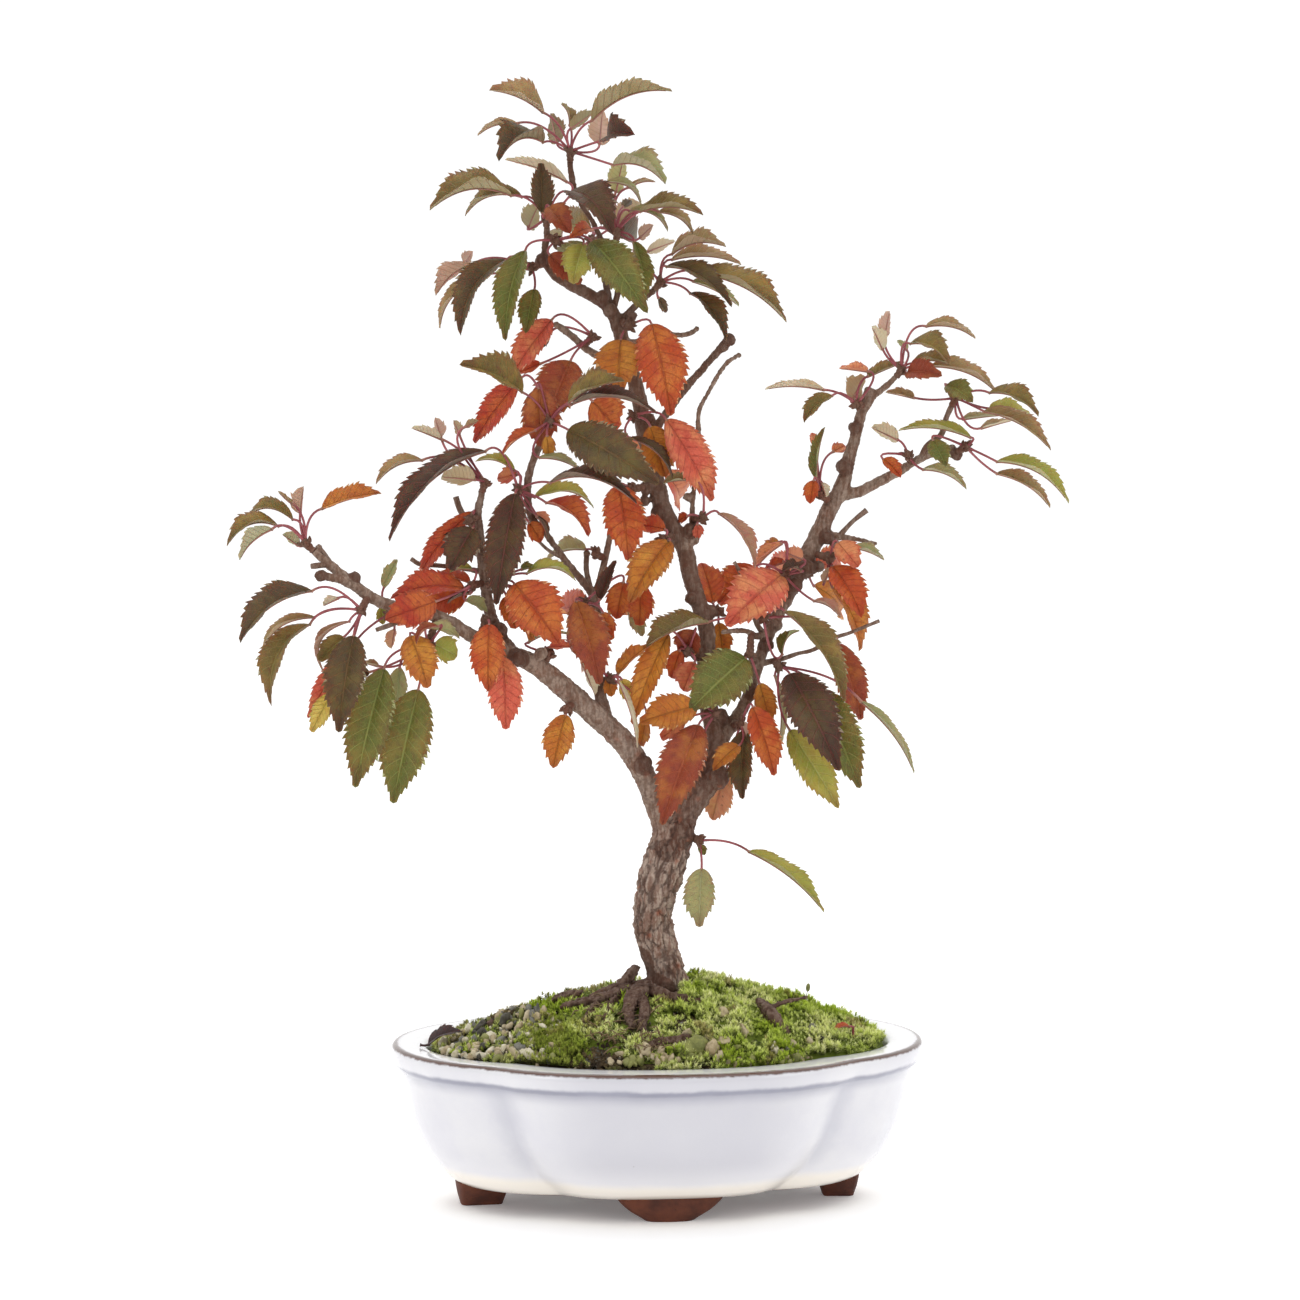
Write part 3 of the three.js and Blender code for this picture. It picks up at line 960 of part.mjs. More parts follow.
// Moss cushions lie on the soil and share its rings and spokes, so their undersides follow it.
function mossSolid({ from, to, inner, outer, thickness }) {
  const shares = SOIL_SHARES.filter((share) => share >= inner && share <= outer);
  const angles = Array.from({ length: SOIL_SPOKES * 2 }, (_, i) => spokeAngle(i))
    .filter((degrees) => degrees >= from && degrees <= to);
  const points = [];
  const grid = (lift) => shares.map((share, r) => angles.map((degrees, a) => {
    const edge = Math.min(r, shares.length - 1 - r, a, angles.length - 1 - a);
    return points.push(soilPoint(share, degrees % 360, lift(share, degrees, edge))) - 1;
  }));
  const cushion = (share, degrees, edge) => FIT + 1.2
    + (edge > 0 ? thickness * (0.75 + 0.35 * Math.sin(share * 23) * Math.sin(degrees * 0.19)) : 0.4);
  const top = grid(cushion);
  const under = grid(() => FIT);
  const faces = [];
  const quad = (a, b, c, d) => faces.push([a, b, c], [a, c, d]);
  for (let r = 0; r < shares.length - 1; r += 1) {
    for (let a = 0; a < angles.length - 1; a += 1) {
      quad(top[r][a], top[r][a + 1], top[r + 1][a + 1], top[r + 1][a]);
      quad(under[r][a], under[r + 1][a], under[r + 1][a + 1], under[r][a + 1]);
    }
  }
  const lastRow = shares.length - 1;
  const lastSpoke = angles.length - 1;
  for (let a = 0; a < lastSpoke; a += 1) {
    quad(under[0][a], under[0][a + 1], top[0][a + 1], top[0][a]);
    quad(top[lastRow][a], top[lastRow][a + 1], under[lastRow][a + 1], under[lastRow][a]);
  }
  for (let r = 0; r < lastRow; r += 1) {
    quad(under[r + 1][0], under[r][0], top[r][0], top[r + 1][0]);
    quad(under[r][lastSpoke], under[r + 1][lastSpoke], top[r + 1][lastSpoke], top[r][lastSpoke]);
  }
  return closedSolid(points, faces);
}

// Cushions of moss: [from, to] spoke angle and [inner, outer] share of the way to the rim.
const MOSS = {
  moss_right: { from: 285, to: 450, inner: 0, outer: 1, thickness: 3.6, colour: 0x8a9a3a },
  moss_back: { from: 110, to: 180, inner: 0.22, outer: 1, thickness: 2.6, colour: 0x7f8c3c },
  moss_front: { from: 210, to: 270, inner: 0.22, outer: 0.88, thickness: 2.4, colour: 0x6f7c38 },
};

// A fallen leaf rests on the moss near the left rim.
const FALLEN_LEAF = { spur: [-88, 59.85, -16], row: [-85, 59.85, -72, 65.3, 5, 62, 20, 0.12, 9, "dark"] };

// A seedling with one red leaf stands in the moss at the right, in a plain hole.
const SEEDLING = { foot: [77.4, 57.5, -12], top: [78, 66.5, -15], radius: 0.7 };
const SEEDLING_LEAF = [76.5, 67, 70.5, 66, 30, 60, 24, 0.1, 4, "red"];

function seedlingSolid() {
  const top = place(...SEEDLING.top);
  const stalk = stem([place(...SEEDLING.foot), top], [SEEDLING.radius, SEEDLING.radius], 5);
  const leaf = leafSolid(leafFrame(SEEDLING.top, SEEDLING_LEAF, [0, 0]), SEEDLING_LEAF, top);
  return joined([stalk, leaf]).simplify(TRIM);
}

// A dead woody stub leans out of the moss, with one dry twig.
const DEAD_STUB = {
  stub: [[55, 57.5, -26, 2], [49.5, 67, -25.5, 2.6], [45.5, 72.5, -21, 2.4], [41, 77, -16, 1.5]],
  twig: [[45.5, 73.5, -20.5, 1], [51, 76.3, -17, 0.8], [60, 78.3, -12, 0.7]],
};

function lineStem(line, sides, extra) {
  const centres = line.map(([x, z, depth]) => place(x, z, depth));
  return stem(centres, line.map(([, , , radius]) => radius + extra), sides, () => 0, extra);
}

const part = new THREE.Group();
const deadStub = joined([lineStem(DEAD_STUB.stub, 6, 0), lineStem(DEAD_STUB.twig, 5, 0)]).simplify(TRIM);
const seedling = seedlingSolid();
const holes = joined([
  woodClear,
  lineStem(DEAD_STUB.stub, 6, FIT * 1.2),
  lineStem(DEAD_STUB.twig, 5, FIT * 1.2),
  lineStem([[...SEEDLING.foot, SEEDLING.radius], [...SEEDLING.top, SEEDLING.radius]], 5, FIT * 1.9),
]);
const soil = soilSolid().subtract(holes).simplify(TRIM);

part.add(toMesh("pot", potSolid(), 0xe9e8e6, 0.18));
part.add(toMesh("drain_screen_left", screenSolid(DRAIN_PLACES[0]), 0x2f4a35, 0.6));
part.add(toMesh("drain_screen_right", screenSolid(DRAIN_PLACES[1]), 0x2f4a35, 0.6));
part.add(toMesh("soil", soil, 0x3b3026, 0.95));
for (const [name, patch] of Object.entries(MOSS)) {
  part.add(toMesh(name, mossSolid(patch).subtract(holes).simplify(TRIM), patch.colour, 1));
}
part.add(toMesh("dead_stub", deadStub, 0x4a3a2e, 0.9));
part.add(toMesh("seedling", seedling, TONES.red, 0.6));
part.add(toMesh("tree_wood", wood, 0x6f5f50, 0.85));
for (const [name, spray] of growSprays()) {
  part.add(toMesh(`spray_${name}`, spray, TONES[SPRAYS[name].tone], 0.6));
}
const fallenFrame = leafFrame(FALLEN_LEAF.spur, FALLEN_LEAF.row, [0, 0]);
const fallenLeaf = leafSolid(fallenFrame, FALLEN_LEAF.row, place(...FALLEN_LEAF.spur));
part.add(toMesh("fallen_leaf", fallenLeaf, TONES.dark, 0.7));

// The part stands on z = 0 and is centred on its outline.
const outline = new THREE.Box3().setFromObject(part);
const middle = outline.getCenter(new THREE.Vector3());
for (const mesh of part.children) {
  mesh.geometry.translate(-middle.x, -middle.y, -outline.min.z);
}

export default part;
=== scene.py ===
import math
import random

import bpy
import numpy as np
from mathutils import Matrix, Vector, kdtree, noise


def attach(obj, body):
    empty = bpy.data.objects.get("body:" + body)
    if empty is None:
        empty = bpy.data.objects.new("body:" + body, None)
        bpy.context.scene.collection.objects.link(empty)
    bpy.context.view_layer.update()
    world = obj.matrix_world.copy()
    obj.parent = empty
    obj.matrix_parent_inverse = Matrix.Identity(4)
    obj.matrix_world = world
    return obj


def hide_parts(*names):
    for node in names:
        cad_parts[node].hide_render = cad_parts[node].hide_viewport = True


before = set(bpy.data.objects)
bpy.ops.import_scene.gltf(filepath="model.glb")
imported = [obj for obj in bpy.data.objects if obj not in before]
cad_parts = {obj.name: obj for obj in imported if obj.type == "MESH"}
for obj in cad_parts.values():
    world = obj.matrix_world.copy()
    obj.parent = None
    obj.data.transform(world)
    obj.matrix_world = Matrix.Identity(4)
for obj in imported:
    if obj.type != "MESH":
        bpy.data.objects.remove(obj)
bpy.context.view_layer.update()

# The pot
# A pressed stoneware pot with four soft creases and a turned-out lip, dipped in white glaze that
# breaks brown along the rim. The underside and the four feet are bare brown clay.
VIEW_TO_ROW = np.array((-2.605, -4.315, 0.0))  # the sizes below are in mm, from the trunk's middle
POT_CENTRE = (3.0, 1.0)
POT_TURN = math.radians(6.5)
RIM_HALF_LENGTH = 102.0
RIM_HALF_DEPTH = 79.0
CREASE_ANGLES = (38, 142, 218, 322)
CREASE_SPREAD = 11.0
CREASE_SHARPNESS = 1.4
FRONT_SLOPE = 1.35  # the wall leans in more along its sides than at its ends
POT_SIDES = 288
DRAIN_RADIUS = 8.0
DRAIN_PLACES = (-38.0, 38.0)
FLOOR_TOP = 16.0  # the floor inside the pot, and the middle of its thickness
FLOOR_MIDDLE = 12.0

# The wall from under the pot, up the outside, over the lip and down inside: [inset, z, crease]
POT_WALL = (
    (38, 8, 3), (32, 8.1, 4.5), (28, 8.5, 5.5), (26, 9, 6), (24, 9.9, 6.8), (22.2, 11, 7.5), (21, 12, 8),
    (18, 15.2, 8), (15.6, 18.2, 8), (13.5, 21, 8), (12, 24.2, 7.9), (10.1, 28, 7.7), (8.5, 32, 7.5),
    (7.3, 36, 7.2), (6.4, 39.8, 6.8), (5.8, 43, 6.5), (5.1, 46.5, 5.9), (4.5, 49.4, 5.3),
    (3.9, 51.2, 4.8), (3, 52.6, 4.5), (2, 53.7, 4.2), (1.1, 54.8, 4), (0.45, 56.2, 3.8),
    (0.05, 57.8, 3.6), (0, 59.2, 3.5), (0.15, 60.4, 3.5), (0.55, 61.3, 3.5), (1.2, 61.85, 3.5),
    (2, 62, 3.5), (5, 61.9, 3.6), (9, 61.75, 3.8), (11.6, 61.5, 3.95), (12.6, 61.1, 4.05),
    (13.3, 60.2, 4.2), (13.8, 59, 4.4), (14, 58, 4.5), (14.5, 50, 4.7), (15, 41, 4.9), (15.5, 32, 5),
    (19, 25, 5), (23, 19, 5), (28, 16, 4),
)
CLAY_ROWS = 3  # the rows under the pot that the glaze doesn't reach
BELLY_ROW = 7  # where the wall turns up from under the pot
NECK_ROW = 18  # where the wall turns out into the lip
RIM_EDGE_ROW = 27  # where the glaze breaks brown


def pot_curve(degrees, inset, crease):
    """The pot's outline from above, drawn in by the inset, with folds as deep as the crease."""
    turn = np.radians(degrees)
    half_length = RIM_HALF_LENGTH - inset
    half_depth = RIM_HALF_DEPTH - inset * FRONT_SLOPE
    reach = 1 / np.hypot(np.cos(turn) / half_length, np.sin(turn) / half_depth)
    for angle in CREASE_ANGLES:
        off = (degrees - angle + 540) % 360 - 180
        reach = reach - crease * np.exp(-(np.abs(off) / CREASE_SPREAD) ** CREASE_SHARPNESS)
    x = POT_CENTRE[0] + reach * np.cos(turn + POT_TURN)
    y = POT_CENTRE[1] + reach * np.sin(turn + POT_TURN)
    return np.stack((x, y), axis=-1)


def grid_faces(rows, columns, wrap=False):
    """Quads of a sheet of rows and columns, which may close on itself sideways."""
    last = columns if wrap else columns - 1
    low = (np.arange(rows - 1)[:, None] * columns + np.arange(last)[None, :]).ravel()
    step = (np.arange(rows - 1)[:, None] * columns + (np.arange(last)[None, :] + 1) % columns).ravel()
    return np.stack((low, step, step + columns, low + columns), axis=1)


def loft(rings, first, last):
    """A closed skin over a stack of rings, with a fan of triangles at each end."""
    count, sides = rings.shape[:2]
    points = np.vstack((rings.reshape(-1, 3), first, last))
    here = np.arange(sides)
    after = (here + 1) % sides
    top = (count - 1) * sides
    start = np.full(sides, count * sides)
    faces = grid_faces(count, sides, wrap=True).tolist()
    faces += np.stack((start, after, here), axis=1).tolist()
    faces += np.stack((start + 1, top + here, top + after), axis=1).tolist()
    return points, faces


class Body:
    """The points and faces of one piece, gathered in millimetres, with two marks on each point."""

    def __init__(self):
        self.points, self.places, self.kinds, self.faces, self.finish = [], [], [], [], []
        self.count = 0

    def add(self, points, faces, finish=0, place=(0, 0), kind=(0, 0)):
        size = len(points)
        self.points.append(np.asarray(points, dtype=float))
        self.places.append(np.broadcast_to(place, (size, 2)))
        self.kinds.append(np.broadcast_to(kind, (size, 2)))
        self.faces += [[corner + self.count for corner in face] for face in faces]
        self.finish += [finish] * len(faces)
        self.count += size

    def piece(self, name, finishes, slot, replaces=()):
        mesh = bpy.data.meshes.new(name)
        points = (np.vstack(self.points) + VIEW_TO_ROW) / 1000
        mesh.from_pydata(points.tolist(), [], self.faces)
        for finish in finishes:
            mesh.materials.append(finish)
        mesh.polygons.foreach_set("material_index", self.finish)
        mesh.polygons.foreach_set("use_smooth", [True] * len(self.faces))
        corners = np.empty(len(mesh.loops), dtype=np.int32)
        mesh.loops.foreach_get("vertex_index", corners)
        for label, marks in (("place", self.places), ("kind", self.kinds)):
            layer = mesh.uv_layers.new(name=label)
            layer.data.foreach_set("uv", np.vstack(marks)[corners].ravel())
        shape = bpy.data.objects.new(name, mesh)
        bpy.context.scene.collection.objects.link(shape)
        if slot:
            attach(shape, "root")
        if replaces:
            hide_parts(*replaces)
        return shape


def colour(code):
    """A paint colour written as on a colour chart, in the light values that a shader takes."""
    parts = [((code >> shift) & 255) / 255 for shift in (16, 8, 0)]
    light = [c / 12.92 if c <= 0.04045 else ((c + 0.055) / 1.055) ** 2.4 for c in parts]
    return (*light, 1.0)


def add_node(tree, kind, inputs=None, **settings):
    node = tree.nodes.new(kind)
    for name, value in settings.items():
        setattr(node, name, value)
    for name, value in (inputs or {}).items():
        if isinstance(value, bpy.types.NodeSocket):
            tree.links.new(value, node.inputs[name])
        else:
            node.inputs[name].default_value = value
    return node


def mix(tree, mask, first, second):
    """Two colours blended by a mask. Each comes from a node or is a code of a colour chart."""
    first, second = (colour(c) if isinstance(c, int) else c for c in (first, second))
    return add_node(tree, "ShaderNodeMix", {0: mask, 6: first, 7: second}, data_type="RGBA").outputs[2]


def paint(tree, body, *coats):
    """Lays colours one after another over a first one, each through its own mask."""
    for mask, code in coats:
        body = mix(tree, mask, body, code)
    return body


def reckon(tree, operation, first, second=0.0):
    return add_node(tree, "ShaderNodeMath", {0: first, 1: second}, operation=operation).outputs[0]


def times(tree, first, second):
    return reckon(tree, "MULTIPLY", first, second)


def plus(tree, first, second):
    return reckon(tree, "ADD", first, second)


def apart(tree, first, second):
    """How far two values are from each other."""
    return reckon(tree, "ABSOLUTE", reckon(tree, "SUBTRACT", first, second))


def fade(tree, value, start, end, low=0.0, high=1.0):
    """A soft step: low where the value is at start, high where it is at end."""
    inputs = {"Value": value, "From Min": start, "From Max": end, "To Min": low, "To Max": high}
    return add_node(tree, "ShaderNodeMapRange", inputs, interpolation_type="SMOOTHSTEP").outputs[0]


def fall(tree, value, start, end, high=1.0):
    """A soft step down to nothing."""
    return fade(tree, value, start, end, high, 0.0)


def new_group(name, inputs, outputs):
    """An effect for several finishes. An input that has no value of its own is a place."""
    group = bpy.data.node_groups.new(name, "ShaderNodeTree")
    for label, value in inputs.items():
        kind = "NodeSocketVector" if value is None else "NodeSocketFloat"
        socket = group.interface.new_socket(label, in_out="INPUT", socket_type=kind)
        if value is not None:
            socket.default_value = value
    for label in outputs:
        group.interface.new_socket(label, in_out="OUTPUT", socket_type="NodeSocketFloat")
    return group, group.nodes.new("NodeGroupInput").outputs, group.nodes.new("NodeGroupOutput").inputs


def make_mottle():
    """Soft patches, as in glaze, clay, bark, moss and autumn leaves."""
    group, given, out = new_group(
        "mottle", {"Vector": None, "Scale": 50.0, "Low": 0.4, "High": 0.6}, ("Mask", "Grain"))
    patches = add_node(group, "ShaderNodeTexNoise", {
        "Vector": given["Vector"], "Scale": given["Scale"], "Detail": 5.0, "Roughness": 0.6}).outputs[0]
    group.links.new(fade(group, patches, given["Low"], given["High"]), out["Mask"])
    group.links.new(patches, out["Grain"])
    return group


def make_specks():
    """Scattered small round spots."""
    group, given, out = new_group(
        "specks", {"Vector": None, "Scale": 200.0, "Size": 0.15, "Share": 0.2}, ("Mask",))
    cells = add_node(group, "ShaderNodeTexVoronoi", {
        "Vector": given["Vector"], "Scale": given["Scale"], "Randomness": 1.0}).outputs
    pick = add_node(group, "ShaderNodeSeparateColor", {0: cells["Color"]}).outputs[0]
    chosen = reckon(group, "LESS_THAN", pick, given["Share"])
    group.links.new(times(group, chosen, fall(group, cells["Distance"], 0.0, given["Size"])), out["Mask"])
    return group


MOTTLE = make_mottle()
SPECKS = make_specks()


def use(tree, group, **inputs):
    return add_node(tree, "ShaderNodeGroup", inputs, node_tree=group).outputs


def new_finish(name, **sockets):
    """An empty material: its tree, its shader, where a point lies, and the piece's two marks."""
    material = bpy.data.materials.new(name)
    material.use_nodes = True
    tree = material.node_tree
    shader = tree.nodes["Principled BSDF"]
    for label, value in sockets.items():
        shader.inputs[label.replace("_", " ").title().replace("Ior", "IOR")].default_value = value
    spot = add_node(tree, "ShaderNodeTexCoord").outputs["Object"]
    marks = [add_node(tree, "ShaderNodeSeparateXYZ", {0: add_node(
        tree, "ShaderNodeUVMap", uv_map=label).outputs[0]}).outputs for label in ("place", "kind")]
    return material, tree, shader, spot, *marks


def lay_on(tree, shader, body, height, distance, strength=1.0):
    """Puts a colour and a relief on a shader. The distance is how deep the relief is, in metres."""
    tree.links.new(body, shader.inputs["Base Color"])
    bump = add_node(tree, "ShaderNodeBump", {"Height": height, "Distance": distance, "Strength": strength})
    tree.links.new(bump.outputs[0], shader.inputs["Normal"])


def wall_length(row):
    """How far up the wall a row lies, measured along the wall from its first row."""
    steps = np.diff(np.array(POT_WALL[:row + 1], dtype=float)[:, :2], axis=0)
    return float(np.hypot(steps[:, 0], steps[:, 1]).sum())


def glaze_finish():
    """Bluish white glaze: painted shade and pooled glaze under the lip and in the creases, cream low down."""
    finish, tree, shader, spot, mark, _ = new_finish(
        "white_glaze", roughness=0.13, coat_weight=0.35, coat_roughness=0.05, ior=1.5)
    drift = use(tree, MOTTLE, Vector=spot, Scale=45.0, Low=0.3, High=0.7)
    up = plus(tree, mark["Y"], times(tree, drift["Grain"], 3.5))
    neck = wall_length(NECK_ROW) + 6.4
    rim = wall_length(RIM_EDGE_ROW)
    middle = reckon(tree, "SINE", times(tree, mark["X"], math.pi))
    body = mix(tree, drift["Mask"], 0xd9d8de, 0xe0dfe2)
    # Painted reflection: a darker bluish grey in the middle of the front and the back
    body = mix(tree, fade(tree, middle, 0.72, 0.95, 0.0, 0.7), body, 0xc6c5cc)
    # Painted shade in the crease valleys below the lip, partly glaze pooled there
    for angle in CREASE_ANGLES[:2]:  # the other two have the same mark, on the far side
        beside = plus(tree, apart(tree, mark["X"], 1 - angle / 180), times(tree, drift["Grain"], 0.024))
        crease_pool_and_shade = times(tree, fall(tree, beside, 0.008, 0.048, 0.42), fall(tree, up, neck - 2, neck))
        body = mix(tree, crease_pool_and_shade, body, 0xa9aab8)
    low = fall(tree, up, wall_length(BELLY_ROW), wall_length(BELLY_ROW + 4))
    cream = fall(tree, up, wall_length(BELLY_ROW - 1) + 4, wall_length(BELLY_ROW) + 5.5)
    lip = fade(tree, mark["Y"], rim + 1, rim + 3)
    # Painted shade under the overhanging lip, and a thin line of pooled glaze and painted shadow
    shade = times(tree, fade(tree, up, neck - 8, neck), fall(tree, up, neck, neck + 2, 0.9))
    pool_and_shadow = times(tree, fade(tree, up, neck - 2.2, neck - 0.6), fall(tree, up, neck, neck + 1.2))
    streak = use(tree, MOTTLE, Vector=spot, Scale=22.0, Low=0.3, High=0.6)["Mask"]
    pool_and_shadow = times(tree, pool_and_shadow, plus(tree, times(tree, streak, 0.45), 0.1))
    ragged = use(tree, MOTTLE, Vector=spot, Scale=330.0, Low=0.3, High=0.75)["Grain"]
    edge = fall(tree, plus(tree, apart(tree, mark["Y"], rim), times(tree, ragged, 1.6)), 1.5, 2.5)
    dots = use(tree, SPECKS, Vector=spot, Scale=230.0, Size=0.12, Share=0.03)["Mask"]
    body = paint(tree, body, (low, 0xeae9ec), (cream, 0xfaf3e8), (lip, 0xf0f0f2), (shade, 0x9a9baa),
                 (pool_and_shadow, 0x7c7d8e), (edge, 0x54362a), (times(tree, dots, 0.8), 0x6b5a50))
    ripple = use(tree, MOTTLE, Vector=spot, Scale=120.0, Low=0.2, High=0.8)["Grain"]
    lay_on(tree, shader, body, plus(tree, ripple, times(tree, edge, -0.5)), 0.0004, 0.25)
    return finish


def clay_finish():
    finish, tree, shader, spot, _, _ = new_finish("bare_clay", specular_ior_level=0.3)
    patches = use(tree, MOTTLE, Vector=spot, Scale=90.0, Low=0.35, High=0.65)
    grit = use(tree, SPECKS, Vector=spot, Scale=900.0, Size=0.35, Share=0.3)["Mask"]
    body = mix(tree, times(tree, grit, 0.5), mix(tree, patches["Mask"], 0x4a281d, 0x6c3d2c), 0x2c1a14)
    tree.links.new(fade(tree, patches["Grain"], 0.3, 0.7, 0.62, 0.85), shader.inputs["Roughness"])
    lay_on(tree, shader, body, plus(tree, patches["Grain"], times(tree, grit, -0.2)), 0.0006)
    return finish


POT_FINISHES = (glaze_finish(), clay_finish())


def pot_body():
    body = Body()
    degrees = np.arange(POT_SIDES) * 360 / POT_SIDES
    rings, marks = [], []
    for row, (inset, z, crease) in enumerate(POT_WALL):
        flat = pot_curve(degrees, inset, crease)
        rings.append(np.column_stack((flat, np.full(POT_SIDES, float(z)))))
        marks += [(abs(angle - 180) / 180, wall_length(row)) for angle in degrees]
    points, faces = loft(np.array(rings), (*POT_CENTRE, POT_WALL[0][1]), (*POT_CENTRE, POT_WALL[-1][1]))
    marks += [(0, 0), (0, wall_length(len(POT_WALL) - 1))]
    body.add(points, faces, 0, marks)
    under = CLAY_ROWS * POT_SIDES
    fans = (len(POT_WALL) - 1) * POT_SIDES
    body.finish[:under] = [1] * under
    body.finish[fans:fans + POT_SIDES] = [1] * POT_SIDES
    return body.piece("pot_wall", POT_FINISHES, "pot", ["pot"])


def bore(shape, spots, radius, z):
    """Cuts upright round holes through a piece."""
    for x, y in spots:
        bpy.ops.mesh.primitive_cylinder_add(vertices=48, radius=radius / 1000, depth=0.03)
        drill = bpy.context.object
        drill.location = (np.array((x, y, z)) + VIEW_TO_ROW) / 1000
        cut = shape.modifiers.new("drain", "BOOLEAN")
        cut.object = drill
        cut.solver = "EXACT"
        bpy.context.view_layer.objects.active = shape
        bpy.ops.object.modifier_apply(modifier=cut.name)
        bpy.data.objects.remove(drill)


def drain_spot(x):
    """The middle of a drain hole, on the long axis of the pot."""
    return POT_CENTRE[0] + x * math.cos(POT_TURN), POT_CENTRE[1] + x * math.sin(POT_TURN)


pot_wall = pot_body()
bore(pot_wall, [drain_spot(x) for x in DRAIN_PLACES], DRAIN_RADIUS, FLOOR_MIDDLE)

# Each cloud foot: [angle, inset, length, half width]. Its layers: [z, share of the width, inset]
FEET = ((0, 24, 16, 9), (90, 25, 11, 21), (180, 24, 20, 11), (270, 25, 11, 21))
FOOT_LAYERS = ((10.5, 1, 0), (9, 0.96, 0.1), (7, 0.88, 0.4), (5.4, 0.8, 0.7), (4, 0.72, 1), (2.6, 0.62, 1.4),
               (1.2, 0.51, 1.8), (0.3, 0.45, 2.0), (0, 0.43, 2.2))
FOOT_STEPS = 28
FOOT_BOW = 0.08  # how far a foot's faces bend in towards its ends, and how round its corners are
FOOT_ROUNDING = 1.6


def foot_point(angle, offset, inset, z):
    """A point of a foot: sideways from the middle of the foot, and inwards from the pot's rim."""
    x, y = pot_curve(np.array(float(angle)), inset, 0)
    turn = math.radians(angle) + POT_TURN
    return x - math.sin(turn) * offset, y + math.cos(turn) * offset, z


feet = Body()
for angle, inset, length, half in FEET:
    rings = []
    for z, narrow, shrink in FOOT_LAYERS:
        ring = []
        for at, ease, way in ((inset + shrink, 1, 1), (inset + length - shrink, 0.8, -1)):
            for step in range(FOOT_STEPS + 1)[::way]:
                offset = (step / FOOT_STEPS - 0.5) * 2 * half * narrow * ease
                rounding = FOOT_ROUNDING * abs(step / FOOT_STEPS * 2 - 1) ** 6 * way
                ring.append(foot_point(angle, offset, at + FOOT_BOW * abs(offset) + rounding, z))
        rings.append(ring)
    centres = [foot_point(angle, 0, inset + length / 2, z) for z in (FOOT_LAYERS[0][0], 0)]
    points, faces = loft(np.array(rings), *centres)
    feet.add(points, faces, 1)
feet.piece("pot_feet", POT_FINISHES, "pot")

# Drain screens
# Two squares of woven dark green plastic. They lie loose over the drain holes, under the soil, so
# that it doesn't wash out of the pot.
screen_finish, tree, shader, spot, _, _ = new_finish("screen_plastic", roughness=0.55)
weave = add_node(tree, "ShaderNodeTexWave", {"Vector": spot, "Scale": 160.0, "Distortion": 0.6})
soiled = use(tree, MOTTLE, Vector=spot, Scale=160.0, Low=0.4, High=0.65)["Mask"]
lay_on(tree, shader, mix(tree, soiled, 0x24402b, 0x4a4030), weave.outputs["Fac"], 0.0003)
for name in ("drain_screen_left", "drain_screen_right"):
    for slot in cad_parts[name].material_slots:
        slot.material = screen_finish

# The soil
# Dark bonsai grit and peat, packed around the roots and heaped towards the trunk. Stones and crumbs
# of soil lie loose on its surface.
TRUNK_FOOT = (7.4, 0.0)
TRUNK_HOLE_RADIUS = 9.9
SOIL_CROWN = 80.5
SOIL_EDGE = 57.5
SOIL_HOLE_BOTTOM = 67.6
SOIL_SLOPE = 1.55
SOIL_INSET = 14.7
SOIL_CREASE = 4.5
# The side and the bottom of the soil, inside the pot: [inset, crease, z]
SOIL_UNDERSIDE = ((16.6, 5.4, 32), (24.8, 5.4, FLOOR_TOP + 3.8), (30, 5, FLOOR_TOP + 0.35))
HUMP = 1.6  # how far the long low humps rise
SOIL_LUMP = 4.5  # the size of a lump, and how far it stands up
SOIL_LUMP_DEPTH = 1.5
SOIL_SPOKES = 172
SOIL_ROWS = 48
# Where the tree is looked at from: this far in front of the trunk and this far above the floor
EYE_DISTANCE = 1600.0
EYE_HEIGHT = 343.0


def place(x, z, depth):
    """A place as it looks from the viewing point: x and z as seen, and the depth behind the trunk."""
    scale = (EYE_DISTANCE + depth) / EYE_DISTANCE
    return np.array((x * scale, depth, EYE_HEIGHT + (z - EYE_HEIGHT) * scale))


def seen(points):
    """Where points look to be in the upright plane through the trunk: x and z."""
    points = np.asarray(points)
    scale = EYE_DISTANCE / (EYE_DISTANCE + points[..., 1])
    return np.stack((points[..., 0] * scale, EYE_HEIGHT + (points[..., 2] - EYE_HEIGHT) * scale), axis=-1)


def soil_point(share, degrees, lift=0.0):
    """A point on the soil, at a share of the way from the trunk to the pot's wall."""
    share, degrees = np.broadcast_arrays(np.asarray(share, dtype=float), np.asarray(degrees, dtype=float))
    turn = np.radians(degrees) + POT_TURN
    edge = pot_curve(degrees, SOIL_INSET, SOIL_CREASE)
    hole = np.stack((TRUNK_FOOT[0] + TRUNK_HOLE_RADIUS * np.cos(turn),
                     TRUNK_FOOT[1] + TRUNK_HOLE_RADIUS * np.sin(turn)), axis=-1)
    flat = hole + (edge - hole) * share[..., None]
    humps = HUMP * np.sin(15 * share + degrees * 0.07) * np.sin(degrees * 0.11 + 1) * share * (1.1 - share)
    z = SOIL_EDGE + (SOIL_CROWN - SOIL_EDGE) * (1 - share ** SOIL_SLOPE) + humps + lift
    return np.concatenate((flat, z[..., None]), axis=-1)


def rough(points, size, depth, octaves=3):
    """How far each point is pushed out by a rough, lumpy surface."""
    return np.array([noise.fractal(Vector(p) / size, 0.6, 2.1, octaves) for p in points]) * depth


